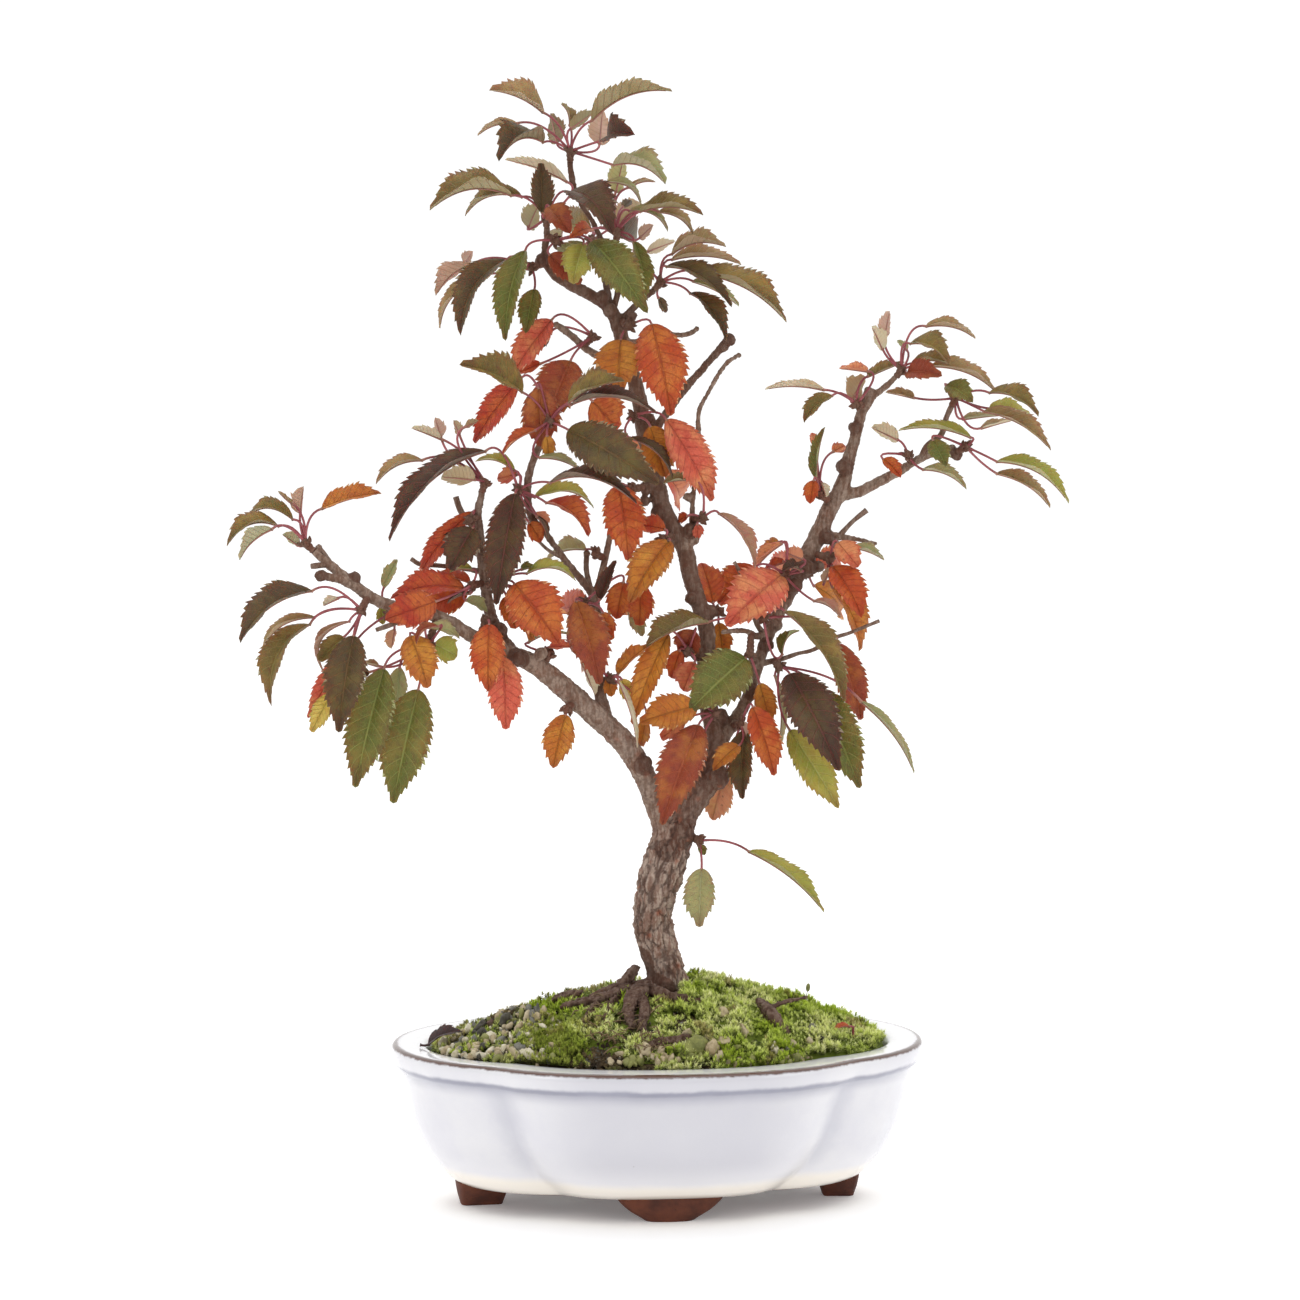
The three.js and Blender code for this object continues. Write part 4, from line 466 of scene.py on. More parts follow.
def soil_finish():
    finish, tree, shader, spot, _, _ = new_finish("potting_soil", roughness=0.95, specular_ior_level=0.2)
    patches = use(tree, MOTTLE, Vector=spot, Scale=120.0, Low=0.35, High=0.65)
    crumbs = use(tree, SPECKS, Vector=spot, Scale=650.0, Size=0.55, Share=0.45)["Mask"]
    green = use(tree, MOTTLE, Vector=spot, Scale=60.0, Low=0.5, High=0.68)["Mask"]
    body = mix(tree, patches["Mask"], 0x33291f, 0x65543b)
    body = paint(tree, body, (times(tree, crumbs, 0.6), 0x93805f), (green, 0x4d5a22))
    lay_on(tree, shader, body, plus(tree, patches["Grain"], crumbs), 0.0012)
    return finish


SOIL_FINISH = soil_finish()


def soil_body():
    body = Body()
    degrees = np.arange(SOIL_SPOKES) * 360 / SOIL_SPOKES
    rings = [soil_point(0, degrees)]
    rings[0][:, 2] = SOIL_HOLE_BOTTOM
    for share in np.linspace(0, 1, SOIL_ROWS):
        ring = soil_point(share, degrees)
        # The lumps die away just before the rim
        ring[:, 2] += rough(ring, SOIL_LUMP, SOIL_LUMP_DEPTH * min(1, (1 - share) * 9))
        rings.append(ring)
    for inset, crease, z in SOIL_UNDERSIDE:
        rings.append(np.column_stack((pot_curve(degrees, inset, crease), np.full(SOIL_SPOKES, float(z)))))
    bottom = SOIL_UNDERSIDE[-1][2]
    points, faces = loft(np.array(rings), (*TRUNK_FOOT, SOIL_HOLE_BOTTOM), (*POT_CENTRE, bottom))
    body.add(points, faces)
    return body.piece("soil_heap", [SOIL_FINISH], "soil", ["soil"])


soil_body()


def ball(level):
    bpy.ops.mesh.primitive_ico_sphere_add(subdivisions=level, radius=1)
    shape = bpy.context.object
    points = np.array([v.co[:] for v in shape.data.vertices])
    faces = [list(p.vertices) for p in shape.data.polygons]
    bpy.data.objects.remove(shape)
    return points, faces


BALLS = {level: ball(level) for level in (1, 2, 3)}
chance = random.Random(7)


def spin(seed):
    """A turn about three axes."""
    a, b, c = (seed * 12.9, seed * 7.3, seed * 3.1)
    x = np.array(((1, 0, 0), (0, math.cos(a), -math.sin(a)), (0, math.sin(a), math.cos(a))))
    y = np.array(((math.cos(b), 0, math.sin(b)), (0, 1, 0), (-math.sin(b), 0, math.cos(b))))
    z = np.array(((math.cos(c), -math.sin(c), 0), (math.sin(c), math.cos(c), 0), (0, 0, 1)))
    return x @ y @ z


STONE_SHAPE = (1.3, 0.95, 0.65)  # how long, wide and flat a stone is for its radius
STONE_LUMPS = 0.55  # how uneven it is


def stone(body, spot, radius, finish, level):
    points, faces = BALLS[level]
    seed = chance.random() * 9
    push = np.array([noise.noise(Vector(p) * 1.3 + Vector((seed, 0, seed))) for p in points])
    lump = (points * (1 + STONE_LUMPS * push[:, None]) * radius * np.array(STONE_SHAPE)) @ spin(seed).T
    body.add(lump + spot, faces, finish, (seed / 9, radius))


def stone_finish(name, light, dark, fleck):
    finish, tree, shader, spot, mark, _ = new_finish(name, roughness=0.75)
    patches = use(tree, MOTTLE, Vector=spot, Scale=320.0, Low=0.3, High=0.7)
    body = mix(tree, times(tree, mark["X"], 0.4), mix(tree, patches["Mask"], dark, light), fleck)
    lay_on(tree, shader, body, patches["Grain"], 0.0005)
    return finish


# The finishes of the stones, each known by its number
TAN, GREY, DARK, MOSSY, CRUMB, PALE = range(6)
STONE_FINISHES = [
    stone_finish("tan_stone", 0xbfae8c, 0x8f7c5a, 0xd8cfb4),
    stone_finish("grey_stone", 0x77746a, 0x45443f, 0x96948a),
    stone_finish("dark_stone", 0x4a463c, 0x2b2823, 0x66604f),
    stone_finish("mossy_stone", 0x8d8f4c, 0x5e6230, 0xa7a56a),
    SOIL_FINISH,
    stone_finish("pale_stone", 0xdcd4bd, 0xada283, 0xe6e0cc),
]

# Where bare soil shows between the moss, as seen: [x, z, half width, half height]
BARE = ((-18, 55.5, 9, 4.5), (-5, 67, 8.5, 7), (41, 60, 4, 2), (-53, 62, 3, 2), (9, 70, 4, 2))

# Stones that can be told apart: [x, z as seen, radius, finish]
STONES = (
    (-65, 66, 2.4, DARK), (-64, 63.5, 2, DARK), (-56, 68, 3, DARK), (-43, 72, 2.3, GREY), (-61, 69, 2, DARK),
    (-15, 53, 1.5, TAN), (28, 72, 2.2, TAN), (35.5, 64, 2.4, TAN), (24, 57.5, 2.7, TAN),
    (28.5, 60.5, 2.4, TAN), (47.5, 57, 2.4, PALE), (18, 58, 3.6, MOSSY), (14, 64, 1.7, TAN),
    (-72, 61, 1.6, GREY), (-69, 58.5, 1.4, TAN), (-50, 66.5, 1.6, TAN), (-38, 67, 1.5, MOSSY),
    (52, 58, 1.5, GREY), (-2, 57.5, 2.2, TAN), (4, 57, 1.6, TAN), (10, 58.5, 1.3, TAN),
    (33, 57.8, 1.6, MOSSY), (62, 66, 1.6, GREY), (66, 61.5, 1.4, DARK),
)
LEFT_GRIT = (-80, -34, 54, 73)  # the stony ground at the left, as seen: from x, to x, from z, to z
FRONT_GRIT = (-12, 62, 53, 64)
RIDGE = (-52, 73.5)  # the top of the heap of stones at the left
# How many crumbs and stones there are, and their radii
CRUMBS = 1300
CRUMB_RADII = (0.4, 0.5, 0.7, 0.9, 1.3)
GRAVEL = 560
GRAVEL_RADII = (0.5, 0.7, 0.9, 1.2, 1.5, 1.9)
RIDGE_STONES = 70
RIDGE_RADII = (1.1, 2.2)
LOOSE_STONES = 520
LOOSE_RADII = (0.6, 0.8, 0.9, 1.2, 1.5)
# A net of points on the near side of the heap, just above the soil
NET_SHARES = np.linspace(0.02, 0.98, 110)
NET_DEGREES = np.linspace(182, 356, 175)
NET_LIFT = 3.4  # in the thickness of the moss
front = soil_point(NET_SHARES[:, None], NET_DEGREES[None, :], NET_LIFT).reshape(-1, 3)
front_seen = seen(front)


def on_soil(x, z):
    """The place on the near side of the heap that looks to be at x and z."""
    return front[np.argmin(np.hypot(front_seen[:, 0] - x, front_seen[:, 1] - z))]


def somewhere(left, right, low, high):
    """A chance spot in a patch of ground, as seen."""
    return chance.uniform(left, right), chance.uniform(low, high)


grit = Body()
for x, z, radius, finish in STONES:
    stone(grit, on_soil(x, z) + (0, 0, radius * 0.3), radius, finish, 3)
# Crumbs on the bare patches
for _ in range(CRUMBS):
    x, z, wide, high = BARE[chance.choice((0, 0, 1, 1, 1, 2, 3, 4))]
    radius = chance.choice(CRUMB_RADII)
    spot = on_soil(chance.gauss(x, wide * 0.45), chance.gauss(z, high * 0.5)) - (0, 0, radius * 0.9 + 0.6)
    stone(grit, spot, radius, chance.choice((DARK, CRUMB, CRUMB, CRUMB, CRUMB, CRUMB)), 1)
# Gravel on the stony ground
for _ in range(GRAVEL):
    radius = chance.choice(GRAVEL_RADII)
    x, z, at_left = chance.choice((
        (*somewhere(*LEFT_GRIT), True), (*somewhere(*LEFT_GRIT), True), (*somewhere(*FRONT_GRIT), False)))
    lift = radius * chance.uniform(-0.5, 0.4) - (0 if at_left else 0.8)
    finish = chance.choice((TAN, MOSSY, PALE, PALE, GREY, MOSSY, TAN, DARK) if at_left else
                           (TAN, MOSSY, MOSSY, MOSSY, TAN))
    stone(grit, on_soil(x, z) + (0, 0, lift), radius, finish, 1 + (radius > 1.4))
# The ridge of stones at the left
for _ in range(RIDGE_STONES):
    radius = chance.uniform(*RIDGE_RADII)
    x = chance.gauss(RIDGE[0], 5)
    spot = on_soil(x, RIDGE[1] - abs(x - RIDGE[0]) * 0.25 - chance.uniform(0, 3)) + (0, 0, radius * 0.5)
    stone(grit, spot, radius, chance.choice((TAN, TAN, GREY, MOSSY, CRUMB, CRUMB)), 2)
# Single stones all over the heap
for _ in range(LOOSE_STONES):
    degrees = chance.choice((chance.uniform(150, 290), chance.uniform(0, 360)))
    share = chance.uniform(0.2, 0.97)
    radius = chance.choice(LOOSE_RADII)
    finish = chance.choice((TAN, TAN, GREY, DARK, MOSSY, CRUMB, CRUMB, CRUMB))
    stone(grit, soil_point(share, degrees, radius * 0.4 + 0.5), radius, finish, 1)
grit.piece("surface_grit", STONE_FINISHES, "soil")

# The trunk, the branches and the roots
# One grown body of small-leaved cherry. The old trunk has split plates of grey-brown bark, and the
# limbs are smoother, ringed by the scars of bud scales and set with knobs where shoots were cut.
# Each stem is a line of [x, z as seen, depth behind the trunk, radius]
WOOD = {
    "trunk": (
        (8, 68, 0, 8.6), (7.5, 77, 0, 8.6), (6.8, 84, 0, 8), (5.5, 90, 0, 7.2), (3.4, 97, 0, 7.5),
        (1.4, 105, 0, 7.6), (1, 111, -1, 7.4), (2.6, 119, -1, 8), (4.4, 126, -1, 8.5),
        (6.6, 133, -1, 8.3), (8.6, 140, 0, 7.7), (9.6, 146, 0, 7.4),
    ),
    "left_branch": (
        (9, 138, 0, 5.8), (5, 146, 0, 4.9), (1.6, 155, -2, 4.4), (-2.8, 165, -4, 4.3), (-9, 175, -6, 4.4),
        (-17, 183, -8, 4.3), (-26, 191, -10, 4.2), (-35, 199, -12, 4), (-44, 206, -14, 3.6),
        (-52, 209.5, -16, 3.2), (-60, 213, -18, 2.9), (-68, 217, -20, 2.6), (-76, 222, -22, 2.4),
        (-86, 226, -24, 2.3), (-97, 228, -25, 2.2), (-105, 231, -26, 2.2), (-112, 236, -27, 2.1),
        (-118, 241, -27, 2), (-123, 245, -28, 1.7), (-127.5, 249, -28, 1.3),
    ),
    "left_low_stub": ((-109, 234, -27, 1.8), (-117, 238, -30, 1.7), (-124, 239.5, -32, 1.5)),
    "left_high_stub": ((-121, 243.5, -27, 1.4), (-123, 247, -26, 1.1), (-125, 249.5, -26, 1.1)),
    "left_knob": ((-122, 244, -28, 1.2), (-128.5, 243.2, -30, 1.1)),
    "left_dead_twig": ((-90, 226, -25, 1.4), (-96, 222, -28, 1.1), (-104, 219, -30, 0.9)),
    "upright": (
        (-50, 208, -16, 2.8), (-54, 213, -14, 2.4), (-58, 219, -12, 2.3), (-61, 227, -10, 2.2),
        (-62.5, 236, -9, 2), (-63.8, 246, -8, 1.9), (-64.5, 255, -8, 1.7), (-65, 264, -8, 1.5),
        (-63.5, 271.5, -9, 1.3),
    ),
    "upright_left_twig": (
        (-63, 241, -9, 1.1), (-71, 242.5, -7, 1), (-80, 243.5, -5, 0.9), (-87, 244, -3, 0.9),
        (-90.5, 246, -2, 0.9),
    ),
    "upright_stub": (
        (-65, 257, -8, 1.3), (-69.5, 261, -6, 1.3), (-72, 265, -5, 1.2), (-73.5, 269.5, -4, 1.2),
    ),
    "inner_branch": (
        (-17, 186, -7, 2.8), (-19, 195, -4, 2.4), (-20, 205, -1, 2.2), (-20, 216, 3, 2.1),
        (-20.5, 226, 6, 2), (-22, 233, 8, 1.8), (-26, 238, 8, 1.5), (-31, 244, 8, 1.4),
        (-36, 251, 8, 1.3), (-41, 257.5, 7, 1.3), (-45, 262, 6, 1.4), (-46.3, 269, 5, 1.5),
        (-46, 277, 3, 1.5), (-43.5, 285, 1, 1.5), (-40.5, 292, -1, 1.4), (-39.4, 297, -2, 1.3),
    ),
    "inner_upright": (
        (-21, 231, 8, 1.5), (-19, 238, 9, 1.4), (-17, 246, 11, 1.3), (-15.5, 253, 13, 1.2),
        (-14.5, 260, 14, 1.1),
    ),
    "inner_back": ((-21.5, 231, 8, 1.2), (-24, 241, 12, 1.1), (-24, 248, 13, 1)),
    "inner_spike": ((-32, 246, 8, 0.9), (-38, 249, 7, 0.7), (-42, 252.5, 6, 0.6)),
    "leader": (
        (9.5, 141, 0, 6.4), (13, 149, 0, 5.6), (18, 156, 0, 5.3), (22, 161.5, 0, 5.1), (24, 167, 1, 3.9),
        (25, 173, 1, 3.5), (24.5, 180, 3, 3.4), (22, 190, 6, 3.3), (20.5, 200, 9, 3.2),
        (21.5, 210, 11, 3.1), (21.5, 219, 13, 3.2), (18.3, 230, 15, 3.2), (15.2, 240, 17, 3.3),
        (13.5, 249, 19, 3.3), (9, 257, 21, 3.4), (5, 265, 23, 3.5), (2.5, 274, 24, 3.5),
        (0.4, 284, 25, 3.2), (-2.5, 295, 26, 3.1), (-3.6, 304, 26, 3), (-6, 314, 26, 2.9),
        (-10, 326, 26, 2.8), (-12, 334, 26, 2.7), (-16, 341.5, 26, 2.5), (-24, 346.5, 26, 2.3),
        (-31, 350, 25, 2.1), (-37, 354.5, 24, 1.9), (-39.6, 361, 23, 1.5), (-38.8, 368, 21, 1.3),
        (-39, 371.5, 19, 1.2),
    ),
    "crown_stem": (
        (-15, 341, 26, 1.7), (-17, 352, 29, 1.3), (-17, 362, 30, 1.2), (-21, 372, 28, 1.1),
        (-27, 382, 25, 1.1), (-29.5, 390, 22, 1.2), (-30, 396, 21, 1.2),
    ),
    "crown_right_stem": (
        (-14, 340, 26, 1.4), (-12, 348, 26, 1.2), (-13, 358, 25, 1.1), (-12.6, 366.5, 24, 1.1),
    ),
    "upper_right_stem": ((-11, 336, 26, 1.6), (-5, 342, 28, 1.3), (1.5, 347.5, 30, 1.2)),
    "leader_dead_stub": (
        (-10, 320, 26, 1.7), (-21, 323.5, 24, 1.5), (-28, 329, 22, 1.5), (-33, 333, 21, 1.4),
        (-36.5, 335, 20, 1.3),
    ),
    "leader_right_twig": (
        (-1, 291, 26, 1.9), (6, 301, 28, 1.7), (12, 309, 30, 1.6), (19, 317, 31, 1.5), (26, 325, 32, 1.5),
        (29.5, 329, 32, 1.6),
    ),
    "leader_right_stub": (
        (-9, 327, 26, 1.6), (4, 330, 28, 1.2), (14, 331, 29, 1.1), (18.5, 333.5, 30, 1),
    ),
    "thin_upright": (
        (13.5, 250, 19, 1.9), (16, 257, 21, 1.6), (16, 264, 22, 1.1), (16.4, 270, 22, 1),
        (17.2, 279, 23, 1), (18.4, 290, 23, 1), (18.4, 301, 24, 1), (22, 309, 24, 0.9),
        (28, 319, 25, 0.9), (33, 323, 25, 0.7),
    ),
    "right_branch": (
        (25, 172, 1, 3.2), (29, 180, 5, 2.7), (34.5, 188, 10, 2.4), (38, 196, 15, 2.3),
        (41, 206, 19, 2.3), (44, 215, 23, 2.4), (48, 224, 27, 2.5), (52, 232, 30, 2.9),
        (56, 240, 33, 3.3), (60, 248, 36, 3.4), (65, 258, 39, 3.3), (68.5, 266, 41, 3.3),
        (72, 272, 42, 3.2), (74, 278, 42, 2.6), (75, 283, 42, 2.5), (77, 290, 42, 2.3),
        (79, 298, 42, 2.1), (81, 305, 42, 1.9), (83, 311, 42, 1.6),
    ),
    "right_shoot": ((80, 301, 42, 1.6), (85, 308, 42, 1.3), (90, 312, 41, 1.2), (93, 315, 40, 1.1)),
    "right_arm": (
        (72, 270, 42, 2.4), (79, 271.5, 42, 2.2), (86, 275, 42, 2), (92, 278, 42, 1.8),
        (97, 281, 42, 1.7), (102, 284, 42, 1.6), (107, 286, 42, 1.5), (115, 286, 42, 1.5),
    ),
    "right_arm_twig": (
        (102.5, 284, 42, 1.4), (105, 289, 42, 1.3), (110, 293, 42, 1.2), (112, 299.5, 42, 1.1),
        (114, 304, 41, 1.1),
    ),
    "right_dead_twig": (
        (63.5, 256, 38, 1.7), (71, 254.7, 40, 1.5), (78, 253.5, 41, 1), (86, 251.8, 42, 0.8),
    ),
    "right_dead_fork": ((71.5, 254.5, 40, 1.2), (76.5, 260, 41, 0.9), (82, 264.5, 42, 1.2)),
    "low_twig": (
        (41, 206, 19, 1.4), (50, 208, 20, 1), (56, 210, 21, 0.8), (62, 211.5, 22, 0.8),
        (70, 216, 24, 0.8), (76, 218, 26, 0.7), (87, 222.5, 28, 0.7),
    ),
    "cut_stub": ((44, 217.5, 24, 1.6), (40, 216.7, 18, 1.3), (36, 218.8, 14, 1.1), (27, 218.2, 12, 1)),
    "grey_stick": (
        (43.5, 217, 23, 1.3), (40, 222.5, 20, 1), (38, 232, 19, 0.9), (35, 239, 18, 0.8),
        (32, 245, 18, 0.7),
    ),
    "root_left": (
        (4, 82.5, -2, 4), (-4, 82, -4, 3), (-11, 81.5, -6, 2.6), (-17, 80, -7, 2.2), (-23, 77.5, -8, 1.6),
    ),
    "root_stub": ((-11, 81.5, -6, 2), (-8.6, 87, -5, 1.4), (-5.2, 90.5, -4, 1.1)),
}

# Pruning wounds, buds and knobs on the wood: [x, z, depth, radius]
KNOBS = (
    (13, 141, -4, 4.2), (25.5, 163, -2, 4.8), (7, 134.5, -7, 3.2), (-2, 168, -7, 3),
    (-125, 239.6, -32, 2.2), (-112, 239, -26, 2.4), (-57, 219, -14, 3), (-50, 208, -19, 3),
    (2.6, 263, 20.4, 2.6), (15, 257, 19, 2.6), (15.8, 231, 12, 2.6), (23, 226, 14, 2.6),
    (18, 210, 9, 2.8), (27, 186, 6, 3), (-18, 345, 25, 3), (-41, 358.5, 22, 2.6), (30, 329, 31, 2.4),
    (54, 236, 28, 3.8), (59, 242.5, 32, 3.4), (67, 254, 36, 2.6), (77, 296, 41, 2.2), (73, 281, 41, 2.8),
    (116, 285.5, 42, 2.4), (39, 195, 13, 2.6), (44.5, 213, 21, 2.4),
)
SMALL_KNOBS = (
    (-1, 157, -5, 2.6), (-125.5, 250, -26, 1.5), (-24, 248, 13, 1.5), (-41.5, 210, -17, 2.6),
    (-1.5, 273, 21, 2.6), (-2, 268, 21, 2.2), (14, 269.5, 21, 1.7), (17, 253.5, 20, 2), (22, 187, 3, 3),
    (-15, 340, 24, 2.8), (-7, 337.5, 24, 2.2), (28, 326, 31, 1.9), (33.5, 323, 25, 1.1),
    (0, 299, 25, 2.2), (70, 252, 37, 1.9), (67.5, 247, 36, 2.2), (64, 243, 34, 2.2), (114, 288, 42, 1.8),
    (39, 206.5, 17, 2.2), (48, 221, 25, 2.6), (32, 182.5, 6, 2.4), (6, 82, -3, 4), (2, 80, -12, 3),
    (2, 76, -19, 2.2), (6, 72.5, -25, 1.4),
)
# How red-brown the younger wood and the roots are, from 0 to 1
BROWN_WOOD = {
    "leader": 0.75, "crown_stem": 0.9, "crown_right_stem": 0.9, "upper_right_stem": 0.9,
    "leader_right_twig": 0.6, "right_branch": 0.3, "inner_branch": 0.5, "upright": 0.4, "root_left": 1.0,
    "root_stub": 0.9,
}
TWIG_BROWN = 0.4
THICK = 1.6  # stems that reach this radius grow into one another; thinner ones are single twigs
SKIN = 0.00062  # how finely the grown body is drawn, in metres
YOUNG = 3.4  # stems up to this radius have smooth young bark
AGEING = 3.6  # how much thicker a stem has to be for old, split bark
PLATE = (3.1, 8.5)  # the width and length of a plate of old bark
FLAKE = (1.1, 2.6)  # and of a flake on it
SPLIT = 0.16  # the width of a split between two plates, as a share of a plate
CRACK = 0.25  # and of a crack between two flakes
SCARS = 2.7  # how closely the rings of scars follow one another
LIMB_SIDES = 20
TWIG_SIDES = 10


def along_knots(knots, step):
    """Places and radii at even steps on a smooth curve through knots of [x, y, z, radius]."""
    padded = np.vstack((2 * knots[0] - knots[1], knots, 2 * knots[-1] - knots[-2]))
    found = []
    for i in range(1, len(padded) - 2):
        before, a, b, after = padded[i - 1:i + 3]
        count = max(2, int(np.linalg.norm((b - a)[:3]) / step))
        t = (np.arange(count) / count)[:, None]
        found.append(0.5 * (2 * a + (b - before) * t + (2 * before - 5 * a + 4 * b - after) * t ** 2
                            + (3 * a - before - 3 * b + after) * t ** 3))
    found.append(knots[-1:])
    curve = np.vstack(found)
    return curve[:, :3], np.maximum(curve[:, 3], 0.25)


def along_line(line, step):
    """The same for a line of [x, z as seen, depth, radius]."""
    return along_knots(np.array([[*place(x, z, depth), radius] for x, z, depth, radius in line]), step)


def waver(points, size):
    """A soft chance value at each point, which comes and goes over the given size."""
    return np.array([noise.noise(Vector(p) / size) for p in points])


def unit(vector):
    return vector / np.linalg.norm(vector)


def tube(centres, radii, sides):
    """A round stem through the centres. Its rings don't twist."""
    ways = np.gradient(centres, axis=0)
    across = np.array((0.03, 1.0, 0.02))
    turns = np.arange(sides) / sides * 2 * math.pi
    rings = []
    for centre, way, radius in zip(centres, ways, radii):
        way = unit(way)
        across = unit(across - way * across.dot(way))
        third = np.cross(way, across)
        rings.append(centre + (np.cos(turns)[:, None] * across + np.sin(turns)[:, None] * third)
                     * np.reshape(radius, (-1, 1)))
    return loft(np.array(rings), centres[0], centres[-1])


def grown_together(body, skin):
    """Melts overlapping stems into one body with soft forks."""
    shape = body.piece("grown", (), None)
    melt = shape.modifiers.new("melt", "REMESH")
    melt.mode = "VOXEL"
    melt.voxel_size = skin
    ease = shape.modifiers.new("ease", "SMOOTH")
    ease.iterations = 3
    done = shape.evaluated_get(bpy.context.evaluated_depsgraph_get()).to_mesh()
    points = np.array([v.co[:] for v in done.vertices]) * 1000 - VIEW_TO_ROW
    faces = [list(p.vertices) for p in done.polygons]
    normals = np.array([v.normal[:] for v in done.vertices])
    bpy.data.objects.remove(shape)
    return points, faces, normals


limbs = Body()
axis = []
for name, line in WOOD.items():
    centres, radii = along_line(line, 1.0)
    brown = BROWN_WOOD.get(name, 0.0)
    ways = np.gradient(centres, axis=0)
    lengths = np.concatenate(([0], np.cumsum(np.linalg.norm(np.diff(centres, axis=0), axis=1))))
    axis += [(*spot, brown) for spot in zip(centres, radii, ways, lengths)]
    if radii.max() >= THICK:
        limbs.add(*tube(centres, radii, LIMB_SIDES))
for x, z, depth, radius in [*KNOBS, *SMALL_KNOBS]:
    points, faces = BALLS[2]
    lump = points * (1 + 0.3 * np.array([[noise.noise(Vector(p) * 2 + Vector((x, 0, z)))] for p in points]))
    limbs.add(lump * radius * 1.05 + place(x, z, depth), faces)
points, faces, normals = grown_together(limbs, SKIN)

nearest = kdtree.KDTree(len(axis))
for number, (centre, *_) in enumerate(axis):
    nearest.insert(centre, number)
nearest.balance()


def bark_marks(point):
    """The bark at a point of the wood: how thick the stem is, how far along it the point lies, how
    deep the splits and the fine cracks are, how old the bark is and how red-brown."""
    centre, radius, way, length, brown = axis[nearest.find(point)[1]]
    way = unit(way)
    out = point - centre
    side = unit(np.cross(way, (0.02, 1, 0.03)))
    around = math.atan2(out.dot(np.cross(way, side)), out.dot(side)) * radius
    age = min(1.0, max(0.0, (radius - YOUNG) / AGEING))
    wander = noise.noise(Vector(point) / 7) * 2.5
    spot = Vector((around / PLATE[0] + wander * 0.3, length / PLATE[1] + wander * 0.2, age))
    near = noise.voronoi(spot)[0]
    split = max(0.0, 1 - (near[1] - near[0]) / SPLIT)
    fine = noise.voronoi(Vector((around / FLAKE[0], length / FLAKE[1], 3)))[0]
    crackle = max(0.0, 1 - (fine[1] - fine[0]) / CRACK)
    return radius, length, age * split + (1 - age) * 0.15 * crackle, age, crackle, brown


marks = [bark_marks(point) for point in points]
radius, length, split, age, crackle, brown = np.array(marks).T
for x, z, depth, size in KNOBS:
    brown = np.maximum(brown, np.linalg.norm(points - place(x, z, depth), axis=1) < size * 1.5)
lumpy = rough(points, 3.2, 1.0, 4)
rings = np.maximum(0, np.sin(length * SCARS + lumpy * 3)) ** 3 * (1 - age)
# How far the bark stands out: lumps, less the splits and the fine cracks, and the rings of scars
push = lumpy * (0.28 + 0.5 * age) - split * (0.15 + 0.5 * age) - crackle * 0.12 * age + rings * 0.14
bark = Body()
bark.add(points + normals * push[:, None], faces, 0, np.column_stack((radius / 10, split)),
         np.column_stack((rings, brown)))
for name, line in WOOD.items():
    centres, radii = along_line(line, 0.8)
    if radii.max() < THICK:
        points, faces = tube(centres, radii * (1 + 0.14 * waver(centres, 1.6)), TWIG_SIDES)
        bark.add(points, faces, 0, (radii.mean() / 10, 0.1), (0, BROWN_WOOD.get(name, TWIG_BROWN)))


def bark_finish(name, young, old, warm, pale):
    """Streaked bark: the marks give its age, its splits, its rings and how red-brown it is."""
    finish, tree, shader, spot, mark, kind = new_finish(name, specular_ior_level=0.35)
    age = fade(tree, mark["X"], 0.25, 0.65)
    patches = use(tree, MOTTLE, Vector=spot, Scale=130.0, Low=0.38, High=0.62)
    fine = use(tree, MOTTLE, Vector=spot, Scale=750.0, Low=0.35, High=0.68)
    stretch = add_node(tree, "ShaderNodeMapping", {"Vector": spot, "Scale": (1.0, 1.0, 0.22)}).outputs[0]
    streaks = use(tree, MOTTLE, Vector=stretch, Scale=620.0, Low=0.42, High=0.6)
    bright = times(tree, streaks["Mask"], fade(tree, mark["X"], 0.3, 0.7, 0.35, 0.65))
    bright = times(tree, bright, fade(tree, kind["Y"], 0.0, 1.0, 1.0, 0.35))
    flakes = use(tree, SPECKS, Vector=spot, Scale=260.0, Size=0.5, Share=0.26)["Mask"]
    body = paint(
        tree, mix(tree, age, young, old), (times(tree, patches["Mask"], 0.55), warm),
        (times(tree, kind["Y"], 0.92), 0x583424), (bright, pale), (times(tree, fine["Mask"], 0.35), 0x553d31),
        (times(tree, flakes, age), 0x96573f), (times(tree, kind["X"], 0.5), 0x5f4a3d),
        (reckon(tree, "MINIMUM", mark["Y"], 0.7), 0x46322a))
    tree.links.new(fade(tree, fine["Grain"], 0.3, 0.7, 0.6, 0.9), shader.inputs["Roughness"])
    lay_on(tree, shader, body, plus(tree, fine["Grain"], streaks["Grain"]), 0.0006)
    return finish


BARK = bark_finish("cherry_bark", 0x87705f, 0x93786a, 0x74462f, 0xc8b4a4)
SPUR_BARK = bark_finish("spur_bark", 0x664636, 0x5c4034, 0x7c4534, 0x927766)
bark.piece("cherry_wood", [BARK], "tree_wood", ["tree_wood"])

